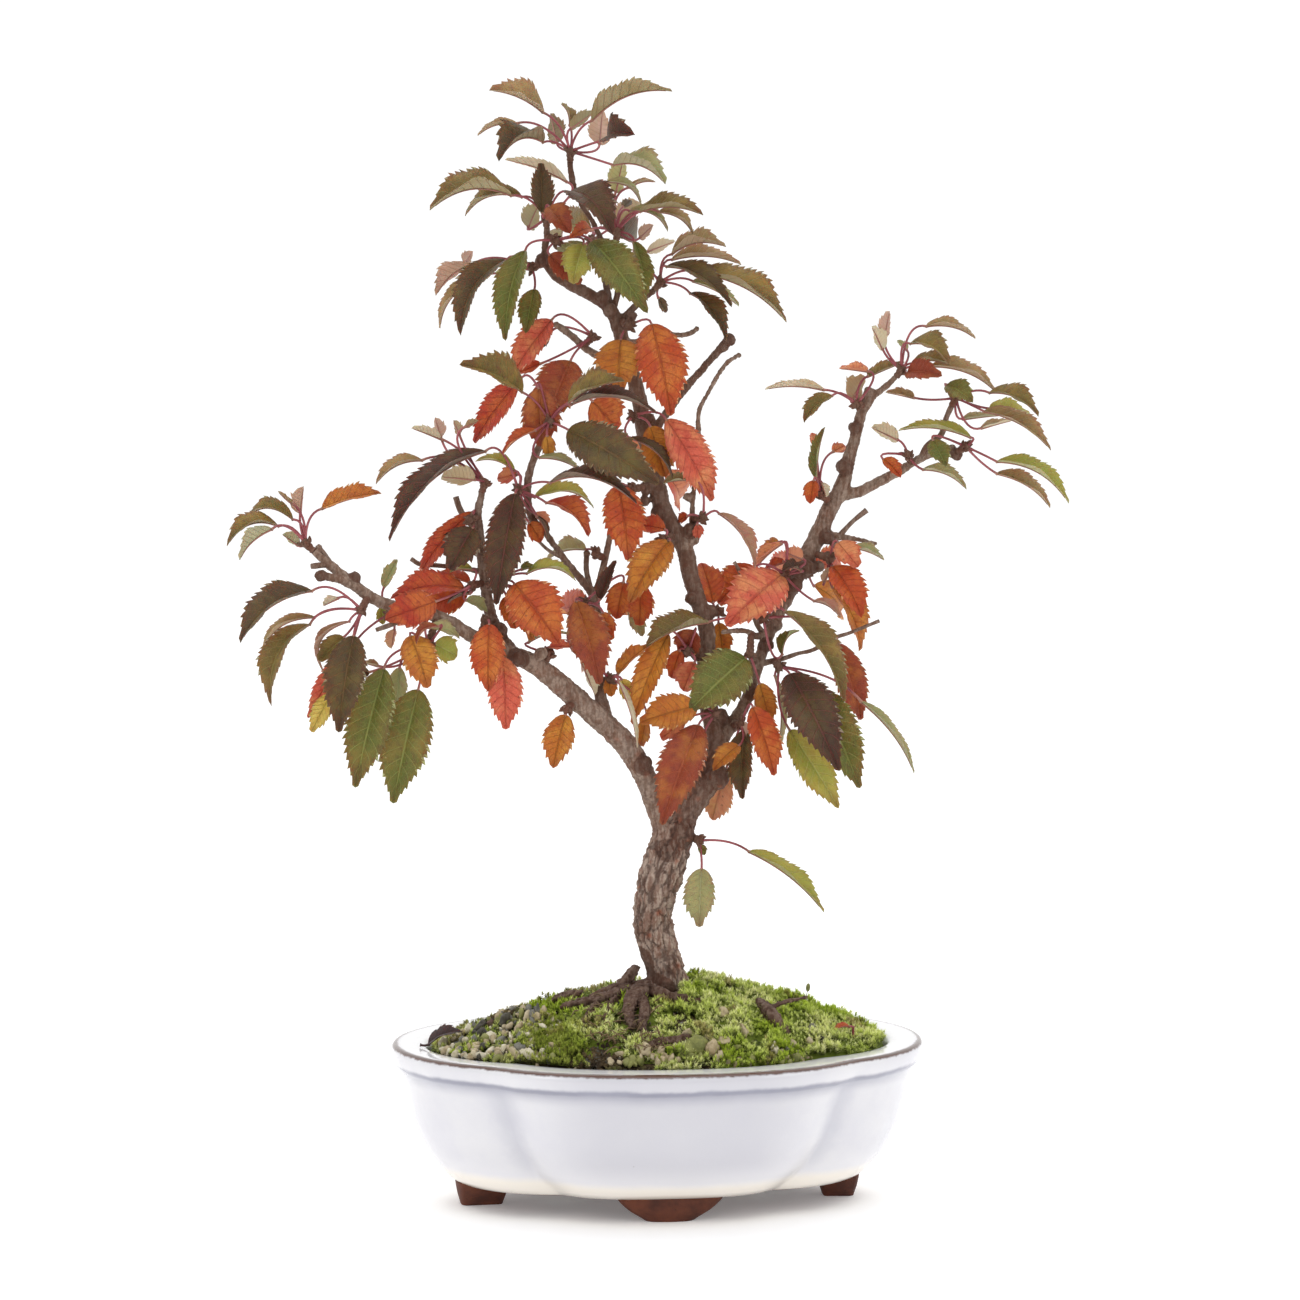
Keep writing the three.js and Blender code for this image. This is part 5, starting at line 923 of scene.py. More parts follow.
# Bared roots
# Dark broken roots and dry fibres at the left of the trunk's foot. They grew with the tree, and the
# rain has washed them out of the soil.
# Each root: [x, z, radius] along the surface of the heap, as seen
ROOTS = (
    ((-1, 82, 3), (-4, 79, 3.3), (-7, 75.5, 2.9), (-8, 71, 2), (-6.5, 66, 1.2)),
    ((-2, 81, 2.6), (3, 79.5, 2.3), (9, 78, 1.8), (15, 77, 1.3), (21, 76.5, 0.8)),
    ((-4, 78, 2.3), (-1.5, 73, 2.1), (-3, 68, 1.5), (-2, 63, 0.9)),
    ((-7, 81, 2.3), (-14, 78.5, 2.4), (-21, 76.5, 2.1), (-28, 75.5, 1.6), (-34, 74, 1)),
    ((-26, 79, 1.6), (-31, 79.5, 1.9), (-36, 79, 1.5), (-38.5, 81, 0.9)),
    ((-12, 79, 1.5), (-16, 73, 1.3), (-17, 69, 0.8)),
    ((-20, 76, 1.3), (-24, 71, 1), (-26, 67, 0.6)),
    ((-1, 59, 1), (4, 60.5, 1.6), (10, 61.5, 1.5), (15, 62.5, 0.9)),
    ((-61, 67, 1.2), (-61, 70, 1.5), (-60, 72, 0.9)),
)
ROOT_END = ((-5, 90.3, -7, 1.2), (-7.5, 86.5, -8, 1.7), (-11, 83, -11, 2), (-16, 80, -15, 2.2))
ROOT_SIDES = 16
FIBRES = 70
FIBRE_RADII = (0.32, 0.15)


def on_surface(row):
    """A knot of a root that lies half sunk in the soil."""
    x, z, radius = row
    return (*(on_soil(x, z) + (0, -0.4 * radius, 0.3 * radius)), radius)


root_curves = [along_knots(np.array([on_surface(row) for row in line]), 0.6) for line in ROOTS]
roots = Body()
for centres, radii in [*root_curves, along_line(ROOT_END, 0.6)]:
    flutes = 0.16 * np.sin(np.arange(ROOT_SIDES) * math.pi / 2)[None, :]
    swell = 0.3 * waver(centres, 1.8)[:, None]
    points, faces = tube(centres, radii[:, None] * (1 + flutes + swell), ROOT_SIDES)
    gnarl = rough(points, 1.5, 0.6)[:, None] * (1, -1, 1)
    points = points + gnarl + rough(points, 0.7, 0.35)[:, None] * (-1, 1, 1)
    roots.add(points, faces, 0, (0.15, 0.25))
for number in range(FIBRES):
    x, z = chance.choice((somewhere(-32, 4, 66, 80), somewhere(-22, 6, 56, 66)))
    start = on_soil(x, z)
    way = Vector((chance.uniform(-1, 1), chance.uniform(-0.8, 0.4), chance.uniform(-0.2, 0.5))).normalized()
    span = chance.uniform(3, 8)
    curve = np.array([
        start + np.array(way) * span * t + np.array((0, -0.5, 0.4 + 1.3 * math.sin(3 * t)))
        + 0.8 * np.sin(t * 5 + number) * np.array((0.6, 0.3, 0.5)) for t in np.linspace(0, 1, 9)])
    roots.add(*tube(curve, np.linspace(*FIBRE_RADII, 9), 5), 1, (0.1, 0))
STRAW = bark_finish("dry_fibre", 0x7d674c, 0x7d674c, 0x5a4330, 0xa9946f)
DARK_ROOT = bark_finish("dark_root", 0x5e4234, 0x50382b, 0x3a251b, 0xb09886)
roots.piece("bared_roots", [DARK_ROOT, STRAW], "tree_wood")

# The moss
# Feather moss in cushions over the heap: a thin felt of old growth with thousands of short shoots,
# each a stem with whorls of pointed leaves. It is bright where it is young and dark in the hollows.
# Each cushion: from and to in degrees, inner and outer share of the way to the rim, thickness,
# number of shoots, share of them lost to grit in front, height of the shoots
MOSS = {
    "moss_right": (285, 450, 0.0, 1.0, 3.6, 8700, 0.0, 1.0),
    "moss_back": (110, 180, 0.22, 1.0, 2.6, 2600, 0.3, 0.75),
    "moss_front": (210, 270, 0.22, 0.88, 2.4, 3600, 0.35, 1.0),
}
# The whorls of a shoot: [share of its height, leaves, rise of a leaf in radians]
WHORLS = ((0.35, 4, 0.15), (0.6, 5, 0.4), (0.85, 5, 0.7), (1.0, 4, 1.1))
MOSS_LEAN = 0.22  # how far a shoot leans, as a slope
MOSS_LEAF = (0.45, 0.7)  # the length of its leaves, as a share of its height
MOSS_LEAF_HALF = 0.16  # half the width of a leaf, as a share of its length


def moss_finish(name, low, young, bright, yellow):
    finish, tree, shader, spot, mark, kind = new_finish(name, roughness=0.7, specular_ior_level=0.25)
    patches = use(tree, MOTTLE, Vector=spot, Scale=55.0, Low=0.4, High=0.6)["Mask"]
    sunny = use(tree, MOTTLE, Vector=spot, Scale=28.0, Low=0.45, High=0.6)["Mask"]
    top = mix(tree, times(tree, sunny, kind["X"]), mix(tree, patches, young, bright), yellow)
    body = mix(tree, fade(tree, mark["X"], 0.25, 0.75), low, top)
    grain = use(tree, MOTTLE, Vector=spot, Scale=1500.0, Low=0.3, High=0.7)["Grain"]
    lay_on(tree, shader, body, grain, 0.0003)
    return finish


MOSS_FINISH = moss_finish("feather_moss", 0x5c6a1a, 0xb8cc44, 0xe2ec88, 0xf8f6c0)
OLIVE_MOSS = moss_finish("olive_moss", 0x544e22, 0x909440, 0xbcb46a, 0xd8cc9a)


def shoots(body, roots, heights, finish):
    """Moss shoots: whorls of pointed leaves up a short stem, each leaf one sliver."""
    count = len(roots)
    lean = rng.normal(0, MOSS_LEAN, (count, 3)) * (1, 1, 0) + (0, 0, 1)
    lean /= np.linalg.norm(lean, axis=1)[:, None]
    tint = rng.random(count)
    for level, leaves, lift in WHORLS:
        for leaf in range(leaves):
            turn = leaf / leaves * 2 * math.pi + rng.random(count) * 1.2 + level * 3
            flat = np.stack((np.cos(turn), np.sin(turn), np.zeros(count)), axis=1)
            side = np.stack((-np.sin(turn), np.cos(turn), np.zeros(count)), axis=1)
            base = roots + lean * (heights * level)[:, None]
            size = heights * rng.uniform(*MOSS_LEAF, count)
            tip = base + (flat * math.cos(lift) + lean * math.sin(lift)) * size[:, None]
            half = side * (size * MOSS_LEAF_HALF)[:, None]
            points = np.stack((base - half, base + half, tip), axis=1).reshape(-1, 3)
            faces = np.arange(count * 3).reshape(-1, 3).tolist()
            shade = np.repeat(tint, 3)
            height = np.tile((level * 0.55, level * 0.55, level * 0.55 + 0.45), count)
            body.add(points, faces, finish, np.column_stack((height, shade)), np.column_stack((shade, shade)))


def growing(points):
    """Which of the points aren't on the bare patches, whose edges are ragged."""
    at = seen(points)
    ragged = 1 + 0.5 * waver(points, 2.5)
    away = [np.hypot((at[:, 0] - x) / wide, (at[:, 1] - z) / high) for x, z, wide, high in BARE]
    return np.min(away, axis=0) > ragged


def cushion_lift(share, degrees, thickness):
    """How far a moss cushion stands above the soil: it swells and sinks in soft humps."""
    return 1.5 + thickness * (0.75 + 0.35 * np.sin(share * 23) * np.sin(degrees * 0.19))


EDGE_SHARE = 0.06  # how far in a cushion thins out towards its edge
EDGE_DEGREES = 5  # the same, to either side
FELT_ROWS = 60
SHOOT_HEIGHTS = (1.3, 3.1)
rng = np.random.default_rng(11)
for name, (start, end, inner, outer, thickness, count, lost, height) in MOSS.items():
    body = Body()
    columns = int((end - start) * 1.1)
    share, degrees = np.meshgrid(
        np.linspace(inner, outer, FELT_ROWS), np.linspace(start, end, columns), indexing="ij")
    u = np.minimum(share - inner, outer - share) / EDGE_SHARE
    v = np.minimum(degrees - start, end - degrees) / EDGE_DEGREES
    drop = np.clip(np.minimum(u, v), 0, 1) ** 0.5
    felt = soil_point(share, degrees % 360)
    felt[..., 2] += 0.4 + (cushion_lift(share, degrees, thickness) - 1.2) * drop
    flat = felt.reshape(-1, 3)
    flat[:, 2] += rough(flat, 3.0, 1.1) * drop.ravel()
    body.add(flat, grid_faces(FELT_ROWS, columns)[:, ::-1].tolist(), 0, (0.22, 0.5), (0.3, 0.5))
    ragged = rng.normal(0, 0.012, (2, count))[0]
    at = np.sqrt(rng.uniform((inner + 0.12) ** 2, (outer + 0.12) ** 2, count)) - 0.12 + ragged
    at = np.clip(at, inner, outer - 0.004)
    turn = rng.uniform(start, end, count) + 7 * np.sin(at * 13 + start) + rng.normal(0, 3.5, count)
    tall = height * rng.uniform(*SHOOT_HEIGHTS, count) * (1 + 0.25 * np.sin(at * 17 + turn * 0.3))
    roots_at = soil_point(at, turn % 360)
    roots_at[:, 2] += cushion_lift(at, turn, thickness) - 1.9 + rough(roots_at, 6.0, 1.2)
    kept = growing(roots_at) & ~((roots_at[:, 1] < 0) & (rng.random(count) < lost))
    left = np.clip((-12 - roots_at[:, 0]) / 40, 0, 1)
    olive = waver(roots_at, 12) + 1.1 * left > 0.4
    shoots(body, roots_at[kept & ~olive], tall[kept & ~olive], 0)
    shoots(body, roots_at[kept & olive], tall[kept & olive], 1)
    body.piece(f"{name}_growth", [MOSS_FINISH, OLIVE_MOSS], name, [name])

# Tufts between the stones
# Small rosettes of star moss and strays of feather moss. They grow on the grit at the left and in
# front, with their roots between the stones.
STAR_PATCH = (-37, 60)  # the middle of the star moss, as seen
STAR_SHOOTS = 700  # how many there are
STAR_HEIGHTS = (1.6, 2.8)
STRAY_HEIGHTS = (1.8, 3.4)
tufts = Body()
turn = np.concatenate((rng.uniform(172, 214, 1500), rng.uniform(262, 292, 900)))
at = np.sqrt(rng.uniform(0.1, 0.97, len(turn)))
thick = np.array([noise.noise(Vector((a * 14, t / 9, 0))) for a, t in zip(at, turn)]) > -0.12
turn, at = turn[thick], at[thick]
spots = soil_point(at, turn, 0.3)
spots = spots[growing(spots)]
shoots(tufts, spots, rng.uniform(*STRAY_HEIGHTS, len(spots)), 0)
STAR_MOSS = moss_finish("star_moss", 0x5c6420, 0x98a63e, 0xbec660, 0xd6d284)
star = zip(rng.normal(STAR_PATCH[0], 6, STAR_SHOOTS), rng.normal(STAR_PATCH[1], 5, STAR_SHOOTS))
star_roots = np.array([on_soil(x, z) for x, z in star]) - (0, 0, 0.8)
shoots(tufts, star_roots, rng.uniform(*STAR_HEIGHTS, STAR_SHOOTS), 1)
tufts.piece("moss_tufts", [MOSS_FINISH, STAR_MOSS], "moss_front")

# The leaves
# Small cherry leaves in autumn colour, in sprays: each spray grows from a ringed spur with dark bud
# scales, on thin red stalks. A blade is folded along its midrib, arched and twice toothed.
# Each spray: the place of its spur [x, z as seen, depth], and its leaves. A leaf is
# [stalk end x, z, tip x, z, swing, face, fold, bow, width, tone], with its angles in degrees.
SPRAYS = {
  "crown_tip": ((-30, 399.5, 19), (
    (-40, 414, -60, 423, 18, 66, 32, 0.08, 17, "tan"),
    (-40, 403, -57, 396.5, 35, 68, 34, 0.22, 20, "bronze"),
    (-50, 410, -65, 406, -25, 80, 35, 0.1, 6, "tan"),
    (-35, 402.5, -37, 413.5, -45, 150, 20, 0, 9, "bronze"),
    (-30, 409, -33, 417.5, -45, 60, 40, 0.1, 6, "olive"),
    (-30, 408, -21, 414.5, -40, 140, 25, 0, 7, "olive"),
    (-22, 411, 8, 423, 12, 104, 30, 0.12, 18, "olive"),
    (-19, 402, -18, 415, -50, 160, 15, 0, 10, "rose"),
    (-16, 404, -6, 406, 50, 40, 30, 0.2, 14, "dark"),
    (-14, 394.5, 6, 388, 20, 75, 35, 0.15, 18, "sage"),
  )),
  "crown_right": ((-12.5, 369.5, 23), (
    (-13, 384, -10, 398, -30, 150, 20, 0, 9, "lime"),
    (-17, 388, -3, 380, -20, 70, 35, 0.2, 6, "sage"),
    (-8, 386, 2, 388.5, -20, 75, 40, 0.1, 3.5, "tan"),
    (-8, 377.5, 7, 370, -15, 60, 30, 0.2, 7, "sage"),
    (-4, 377, 20, 376.5, 15, 70, 32, 0.1, 14, "olive"),
    (3, 377, 16.5, 369, -20, 65, 30, 0.15, 8, "tan"),
    (-4, 367, 1, 372, -45, 150, 20, 0, 6, "rose"),
    (-6, 366, -2, 343, 15, 35, 30, 0.08, 9, "green"),
    (-22, 370.5, -30, 367.5, 60, 30, 25, 0.1, 7, "orange"),
  )),
  "crown_left": ((-39, 374.5, 17), (
    (-31, 384, -14, 369, 38, 42, 22, 0.2, 19, "dark"),
    (-31, 388, -54, 397, -25, 130, 25, 0.05, 8, "pale"),
    (-52, 383, -83, 378.5, 15, 72, 34, 0.16, 21, "olive"),
    (-48, 382.5, -70, 376, -10, 66, 30, 0.18, 12, "olive"),
    (-40.5, 376, -41, 395.5, -25, 12, 22, 0, 10, "bronze"),
    (-46, 371, -42, 380, -50, 150, 20, 0, 10, "sage"),
    (-38, 379, -30, 369, 35, 15, 20, 0.1, 11, "rust"),
  )),
  "crown_mid": ((-35.5, 366, 16), (
    (-25, 365, -29, 350, 25, 12, 14, 0.1, 13, "lime"),
    (-22, 366, -1, 339.5, 32, 14, 18, 0.1, 17, "green"),
    (-38, 361, -26, 350, 10, 20, 18, 0.05, 11, "rust"),
    (-47, 362.5, -55, 329, 22, 32, 26, 0.1, 14, "green"),
  )),
  "crown_low": ((-44.5, 356, 18), (
    (-54, 359, -72, 331, 12, 46, 28, 0.2, 16, "bronze"),
    (-66, 352, -80, 333.5, -30, 65, 30, 0.12, 8, "tan"),
    (-67, 357, -81, 346, -25, 128, 28, 0.12, 12, "rose"),
    (-70, 357.5, -67, 362, -60, 150, 20, 0, 6, "rose"),
    (-43.5, 348, -47, 331.5, 28, 14, 18, 0.05, 9.5, "green"),
  )),
  "upper_right": ((4, 350.5, 30), (
    (8, 361, 28.5, 364.5, 10, 75, 34, 0.14, 15, "tan"),
    (-1, 362, 9, 366, -50, 150, 20, 0, 6, "pale"),
    (8, 359, 34.5, 358, -15, 72, 34, 0.08, 11, "tan"),
    (6, 356.5, 31, 342, 25, 52, 28, 0.14, 12, "bronze"),
    (18, 354, 52, 336.5, 12, 66, 32, 0.1, 19, "olive"),
    (16, 351, 34, 342, -25, 60, 30, 0.05, 9, "sage"),
    (15, 346.5, 29, 329, 20, 46, 28, 0.15, 11, "bronze"),
    (3, 345, 6.5, 339, -50, 20, 20, 0, 4, "bronze"),
  )),
  "leader_left": ((-21.5, 330, 20), (
    (-37, 336.5, -52, 316, 10, 25, 25, 0.05, 14, "coral"),
    (-30, 321, -39.5, 297.5, 30, 12, 16, 0.06, 19, "rust"),
    (-41, 320, -50, 316.5, -20, 30, 25, 0, 6, "red"),
  )),
  "leader_front": ((-8, 334, 18), (
    (-11, 329, -12, 309, 28, 8, 12, 0.06, 19, "gold"),
    (0.5, 335, 8, 300.5, 20, 10, 14, 0.08, 20, "orange"),
  )),
  "mid_left": ((-38, 298, -6), (
    (-48, 309, -71.5, 320, 20, 46, 34, 0.08, 18, "olive"),
    (-42, 311, -41, 288.5, -20, 10, 15, 0, 16, "rust"),
    (-49, 314, -67, 290, -20, 25, 20, 0.05, 12, "red"),
    (-31, 305, -10, 314, 20, 62, 30, 0.08, 16, "olive"),
    (-30, 304.5, 2.5, 302, 8, 68, 34, 0.14, 10, "dark"),
    (-22, 306, -12, 295, -25, 12, 15, 0, 17, "orange"),
    (-31, 295, 3, 275, 30, 10, 16, 0.08, 19, "bronze"),
    (-43, 295, -56, 286, -15, 60, 30, 0.1, 7, "orange"),
    (-39, 293, -38, 284, -20, 15, 15, 0, 6, "gold"),
    (-42, 284.5, -25, 279, -10, 70, 35, 0.1, 6, "sage"),
  )),
  "inner_end": ((-49.8, 272, 0), (
    (-62, 287, -99.5, 254, 22, 62, 28, 0.12, 17, "dark"),
    (-51, 279.5, -66, 283.5, -15, 60, 30, 0.15, 7, "lime"),
    (-51, 271, -58.5, 229, 18, 10, 18, 0.05, 16, "dark"),
    (-38, 275, -5, 268, 25, 64, 32, 0.16, 12, "dark"),
    (-44, 269.5, -21, 266, -25, 60, 28, 0.2, 9, "lime"),
    (-39.5, 267.5, -23, 255, 15, 58, 26, 0.16, 15, "red"),
    (-43, 262.5, -38.5, 253, -10, 75, 40, 0.1, 4, "dark"),
  )),
  "upright_top": ((-62.5, 275, -10), (
    (-66, 276, -79, 277.5, 20, 140, 20, 0, 11, "tan"),
    (-79, 291.5, -90, 296, -10, 120, 25, 0, 7, "pale"),
    (-86, 283.5, -104, 275, 10, 66, 32, 0.14, 9, "tan"),
  )),
  "leader_mid": ((-6.5, 300, 20), (
    (6, 299, 24, 268, -15, 20, 20, 0.06, 17, "coral"),
    (0, 296.5, 6, 277, -25, 15, 18, 0, 15, "gold"),
    (-8, 292, 9, 277, -10, 60, 30, 0.15, 7, "dark"),
  )),
  "twig_knob": ((20, 261.5, 16), (
    (26, 263.5, 40.5, 243, 12, 60, 26, 0.12, 10, "rose"),
    (15, 276, 5, 275, -20, 65, 30, 0.05, 8, "sage"),
  )),
  "branch_head": ((64.5, 270.5, 36), (
    (63, 276, 65.5, 296, 10, 60, 30, 0.05, 8, "green"),
    (62, 276, 60.5, 267, 20, 20, 20, 0, 7, "orange"),
  )),
  "shoot_tip": ((95, 317.5, 39), (
    (88, 325, 84, 334, -30, 140, 25, 0, 8, "pale"),
    (88.5, 330, 90, 339.5, -40, 140, 20, 0, 7, "rose"),
    (98, 327.5, 113, 320, 15, 55, 28, 0.2, 14, "olive"),
    (104, 334, 123, 330, -20, 75, 35, 0.1, 9, "tan"),
    (99, 320, 113, 320, 30, 70, 32, 0.1, 10, "olive"),
    (97, 316.5, 110, 315.5, 45, 30, 25, 0.1, 11, "rust"),
    (106, 319, 131, 310, -12, 68, 32, 0.1, 12, "tan"),
  )),
  "branch_fork": ((78, 304.5, 37), (
    (82, 315, 96, 321, -20, 60, 28, 0, 8, "olive"),
    (82.5, 317, 71.5, 318.5, -25, 70, 30, 0, 8, "coral"),
    (66, 310, 43.5, 311, -10, 80, 34, 0.05, 8, "pale"),
    (69, 308, 58, 298, 10, 50, 25, 0.1, 10, "olive"),
    (76, 306, 81, 315, -40, 140, 20, 0, 12, "tan"),
  )),
  "arm_twig": ((115.5, 307, 40), (
    (126, 302, 152, 288, 10, 60, 28, 0.1, 12, "tan"),
    (128, 303, 144, 301, -20, 65, 30, 0.05, 10, "lime"),
    (128, 309, 147, 300.5, 15, 56, 28, 0.16, 12, "olive"),
    (112, 312, 122, 305.5, 35, 25, 20, 0.1, 10, "green"),
    (125, 295.5, 137, 299, -20, 70, 30, 0, 6, "pale"),
    (118, 299, 133, 301, -30, 70, 30, 0, 6, "sage"),
    (100, 307, 89, 309.5, -25, 60, 28, 0, 7, "tan"),
  )),
  "arm_knob": ((119.5, 288.5, 38), (
    (121.5, 292, 94, 295.5, -12, 70, 32, 0.08, 9, "lime"),
    (107, 291, 112, 281.5, 45, 15, 20, 0, 9, "green"),
    (131, 283, 159, 268, 10, 66, 32, 0.14, 12, "lime"),
    (131, 278.5, 152, 266, -15, 60, 30, 0.1, 10, "tan"),
  )),
  "arm_mid": ((97.5, 285.5, 38), (
    (88, 284, 95, 277, 15, 30, 25, 0.1, 7, "orange"),
    (94, 291, 84, 296, -30, 140, 25, 0, 9, "pale"),
    (103, 280, 120, 273, 10, 66, 32, 0.12, 9, "sage"),
  )),
  "right_spur": ((68.5, 246, 31), (
    (71, 252.5, 79, 243, 20, 20, 18, 0, 11, "coral"),
    (77, 250.5, 89, 246, -15, 68, 32, 0.05, 8, "sage"),
    (69, 243.5, 80.5, 224, 25, 30, 22, 0.08, 15, "orange"),
    (69, 235.5, 80, 211, -8, 48, 26, 0.12, 14, "gold"),
  )),
  "right_left_spur": ((51, 240, 25), (
    (50, 252, 38, 240, -10, 72, 30, 0.06, 10, "coral"),
    (49, 252.5, 42, 249, -40, 50, 25, 0, 7, "gold"),
    (51, 245, 43, 242, -30, 60, 25, 0, 7, "red"),
    (50, 240, 29, 221, 28, 16, 16, 0.08, 22, "coral"),
    (40, 243, 25.5, 229, -12, 12, 14, 0.05, 16, "orange"),
    (62, 230.2, 72.3, 224.3, 15, 66, 28, 0.12, 7, "rose"),
  )),
  "low_cluster": ((43, 223.5, 13), (
    (22, 222, -1.5, 213.5, 15, 66, 30, 0.06, 19, "olive"),
    (51, 226.3, 74.5, 192, 18, 54, 30, 0.1, 17, "olive"),
    (71.5, 214, 80.5, 184.5, -12, 12, 14, 0.05, 13, "rust"),
    (50, 209.5, 56.5, 219, -30, 60, 35, 0.2, 7, "green"),
  )),
  "low_twig_spur": ((49, 205, 9), (
    (53, 202.5, 72, 166, 35, 12, 18, 0.08, 20, "dark"),
    (63, 197, 80, 159, 22, 10, 16, 0.06, 18, "green"),
    (53, 181, 72, 151, 12, 10, 14, 0.05, 14, "lime"),
    (47.5, 202, 48, 169, -10, 70, 35, 0.08, 5, "sage"),
    (80, 192, 101.5, 165, -15, 70, 34, 0.06, 7, "sage"),
  )),
  "mottled": ((38, 209.5, 10), (
    (36.5, 208.5, 15, 188.5, 30, 10, 16, 0.06, 22, "green"),
    (41.5, 199, 46, 183, -12, 15, 16, 0, 9.5, "gold"),
  )),
  "low_right": ((34.5, 183, 0), (
    (39, 190, 47.5, 163.5, 10, 18, 18, 0.06, 13, "orange"),
    (36, 181, 35, 154.5, 15, 25, 22, 0.05, 12, "bronze"),
    (34, 175, 24, 165.5, 30, 25, 22, 0.1, 9, "gold"),
    (29, 166, 23.5, 146, -25, 15, 15, 0.05, 14, "salmon"),
  )),
  "fork_cluster": ((25, 187, -4), (
    (18.5, 183, 4.5, 145, 28, 12, 16, 0.06, 18, "rust"),
    (18, 190, -4, 184, 15, 20, 14, 0.04, 15, "gold"),
    (14, 185, 4, 177.5, -15, 30, 20, 0, 9, "coral"),
    (20, 178, 16, 161.5, -25, 20, 15, 0, 7, "coral"),
  )),
  "leader_low": ((14.5, 211, 5), (
    (17, 219, 12, 209, -10, 15, 15, 0, 12, "rust"),
    (7, 217.5, -7, 183.5, 22, 22, 20, 0.06, 12, "gold"),
    (11.5, 211.5, 8, 200.5, -20, 15, 15, 0, 8, "orange"),
    (17, 207, 12.5, 195.5, -25, 15, 15, 0, 12, "coral"),
  )),
  "inner_low": ((-15, 200.5, -7), (
    (-26, 207, -20.5, 194.5, -10, 130, 25, 0, 8, "pale"),
    (-12.5, 202, 0.5, 214, -12, 55, 26, 0.04, 10, "gold"),
    (-11, 200.5, -7.5, 191.5, -20, 25, 20, 0, 7, "yellow"),
    (-12, 200, -4, 174.5, 5, 72, 36, 0.04, 4, "pale"),
    (-1.5, 185, -3.5, 174.5, -30, 15, 15, 0, 6.5, "gold"),
  )),
  "inner_fork": ((-25, 229.5, 1), (
    (-28, 230, -19, 198.5, 18, 14, 20, 0.05, 17, "rust"),
    (-29.5, 211.5, -21, 201, -15, 55, 30, 0.05, 7, "gold"),
    (-10, 237.5, -13, 223, -15, 12, 14, 0, 11, "orange"),
    (-18, 226, -14.5, 215, -20, 15, 15, 0, 7, "orange"),
    (-19, 230.5, -13, 245.5, 10, 20, 35, 0.1, 7, "dark"),
  )),
  "inner_top": ((-20.5, 248, 8), (
    (-24, 249.7, -39.5, 246, -10, 68, 26, 0.1, 13, "sage"),
  )),
  "branch_back": ((-38, 210, -13), (
    (-46.5, 214.2, -30.5, 218, -25, 70, 30, 0.1, 6, "sage"),
  )),
  "upright_right": ((-58.5, 236.5, -15), (
    (-51.5, 236.8, -34.5, 214, 22, 14, 16, 0.06, 22, "orange"),
    (-47, 240.5, -28, 238.3, -10, 66, 28, 0.2, 9, "lime"),
    (-47.5, 231, -45, 215, 18, 15, 16, 0.05, 9.5, "gold"),
    (-54.5, 232, -51, 219.5, 14, 20, 18, 0.05, 11, "orange"),
  )),
  "upright_left": ((-67.5, 236, -14), (
    (-70, 234.7, -98.5, 231.5, 14, 46, 20, 0.12, 15, "red"),
    (-81, 230, -100.5, 223, 20, 12, 14, 0, 15, "red"),
    (-69, 233.5, -86, 227, -12, 14, 14, 0.05, 13, "orange"),
    (-68, 237, -83.5, 238.7, -15, 60, 25, 0.08, 9, "orange"),
    (-68, 233, -77, 229.5, 10, 70, 35, 0.1, 4, "dark"),
    (-70, 230.5, -61.5, 226, -15, 50, 25, 0.05, 8, "sage"),
  )),
  "upright_high": ((-68, 261, -13), (
    (-67, 258, -76, 242, 16, 12, 16, 0.05, 15, "dark"),
    (-67, 264, -88, 238.5, -14, 22, 18, 0.16, 9, "red"),
  )),
  "branch_low": ((-62, 222.5, -19), (
    (-61, 221.5, -61.5, 195.7, 14, 8, 14, 0.06, 14, "orange"),
    (-56, 209, -54.7, 181, 4, 8, 14, 0.04, 14, "coral"),
  )),
  "left_green": ((-84, 213.5, -31), (
    (-91, 217, -84.5, 197, 18, 14, 14, 0.08, 14.5, "gold"),
    (-88, 196.5, -98, 153, 16, 8, 16, 0.04, 20, "green"),
    (-101, 204.5, -112.5, 159, 12, 10, 16, 0.04, 18, "green"),
    (-95, 205, -96.5, 190, -20, 12, 14, 0, 8, "sage"),
    (-82, 214, -73, 209, -20, 18, 15, 0, 11, "lime"),
    (-84, 220, -72, 216, -28, 50, 25, 0.1, 8, "sage"),
    (-80, 220.5, -89, 214, 5, 60, 30, 0.25, 6, "rust"),
  )),
  "left_bronze": ((-109.5, 226.5, -33), (
    (-128, 234, -156, 215, 14, 60, 26, 0.14, 19, "bronze"),
    (-129, 221.3, -144.5, 190.5, 16, 46, 26, 0.24, 14, "olive"),
    (-127, 224, -148, 208.5, -14, 70, 32, 0.2, 7, "tan"),
    (-114, 222.5, -124, 202, -8, 80, 34, 0.3, 6, "rose"),
    (-112.5, 217, -118.5, 180.3, 24, 12, 18, 0.06, 16.5, "bronze"),
    (-116, 216.5, -126, 207.5, 5, 15, 15, 0, 9, "olive"),
    (-121, 195, -129, 180, -18, 15, 15, 0, 8, "yellow"),
  )),
  "left_coral": ((-99, 225, -18), (
    (-112.5, 213.5, -130.5, 185.5, 6, 22, 18, 0.04, 9, "coral"),
    (-101, 235, -96, 246, -12, 30, 25, 0, 6, "sage"),
  )),
  "left_tip": ((-130.5, 252, -28), (
    (-124.5, 265, -102, 271.5, 12, 58, 26, 0.04, 13, "gold"),
    (-132.5, 263, -131.5, 273.5, -20, 130, 35, 0, 9, "rose"),
    (-135, 261, -153.5, 261.5, -12, 60, 28, 0.26, 10, "olive"),
    (-140.5, 258.5, -160.5, 251.5, 16, 62, 28, 0.24, 12, "olive"),
    (-143, 257.5, -156, 246, 26, 120, 28, 0.1, 10, "sage"),
  )),
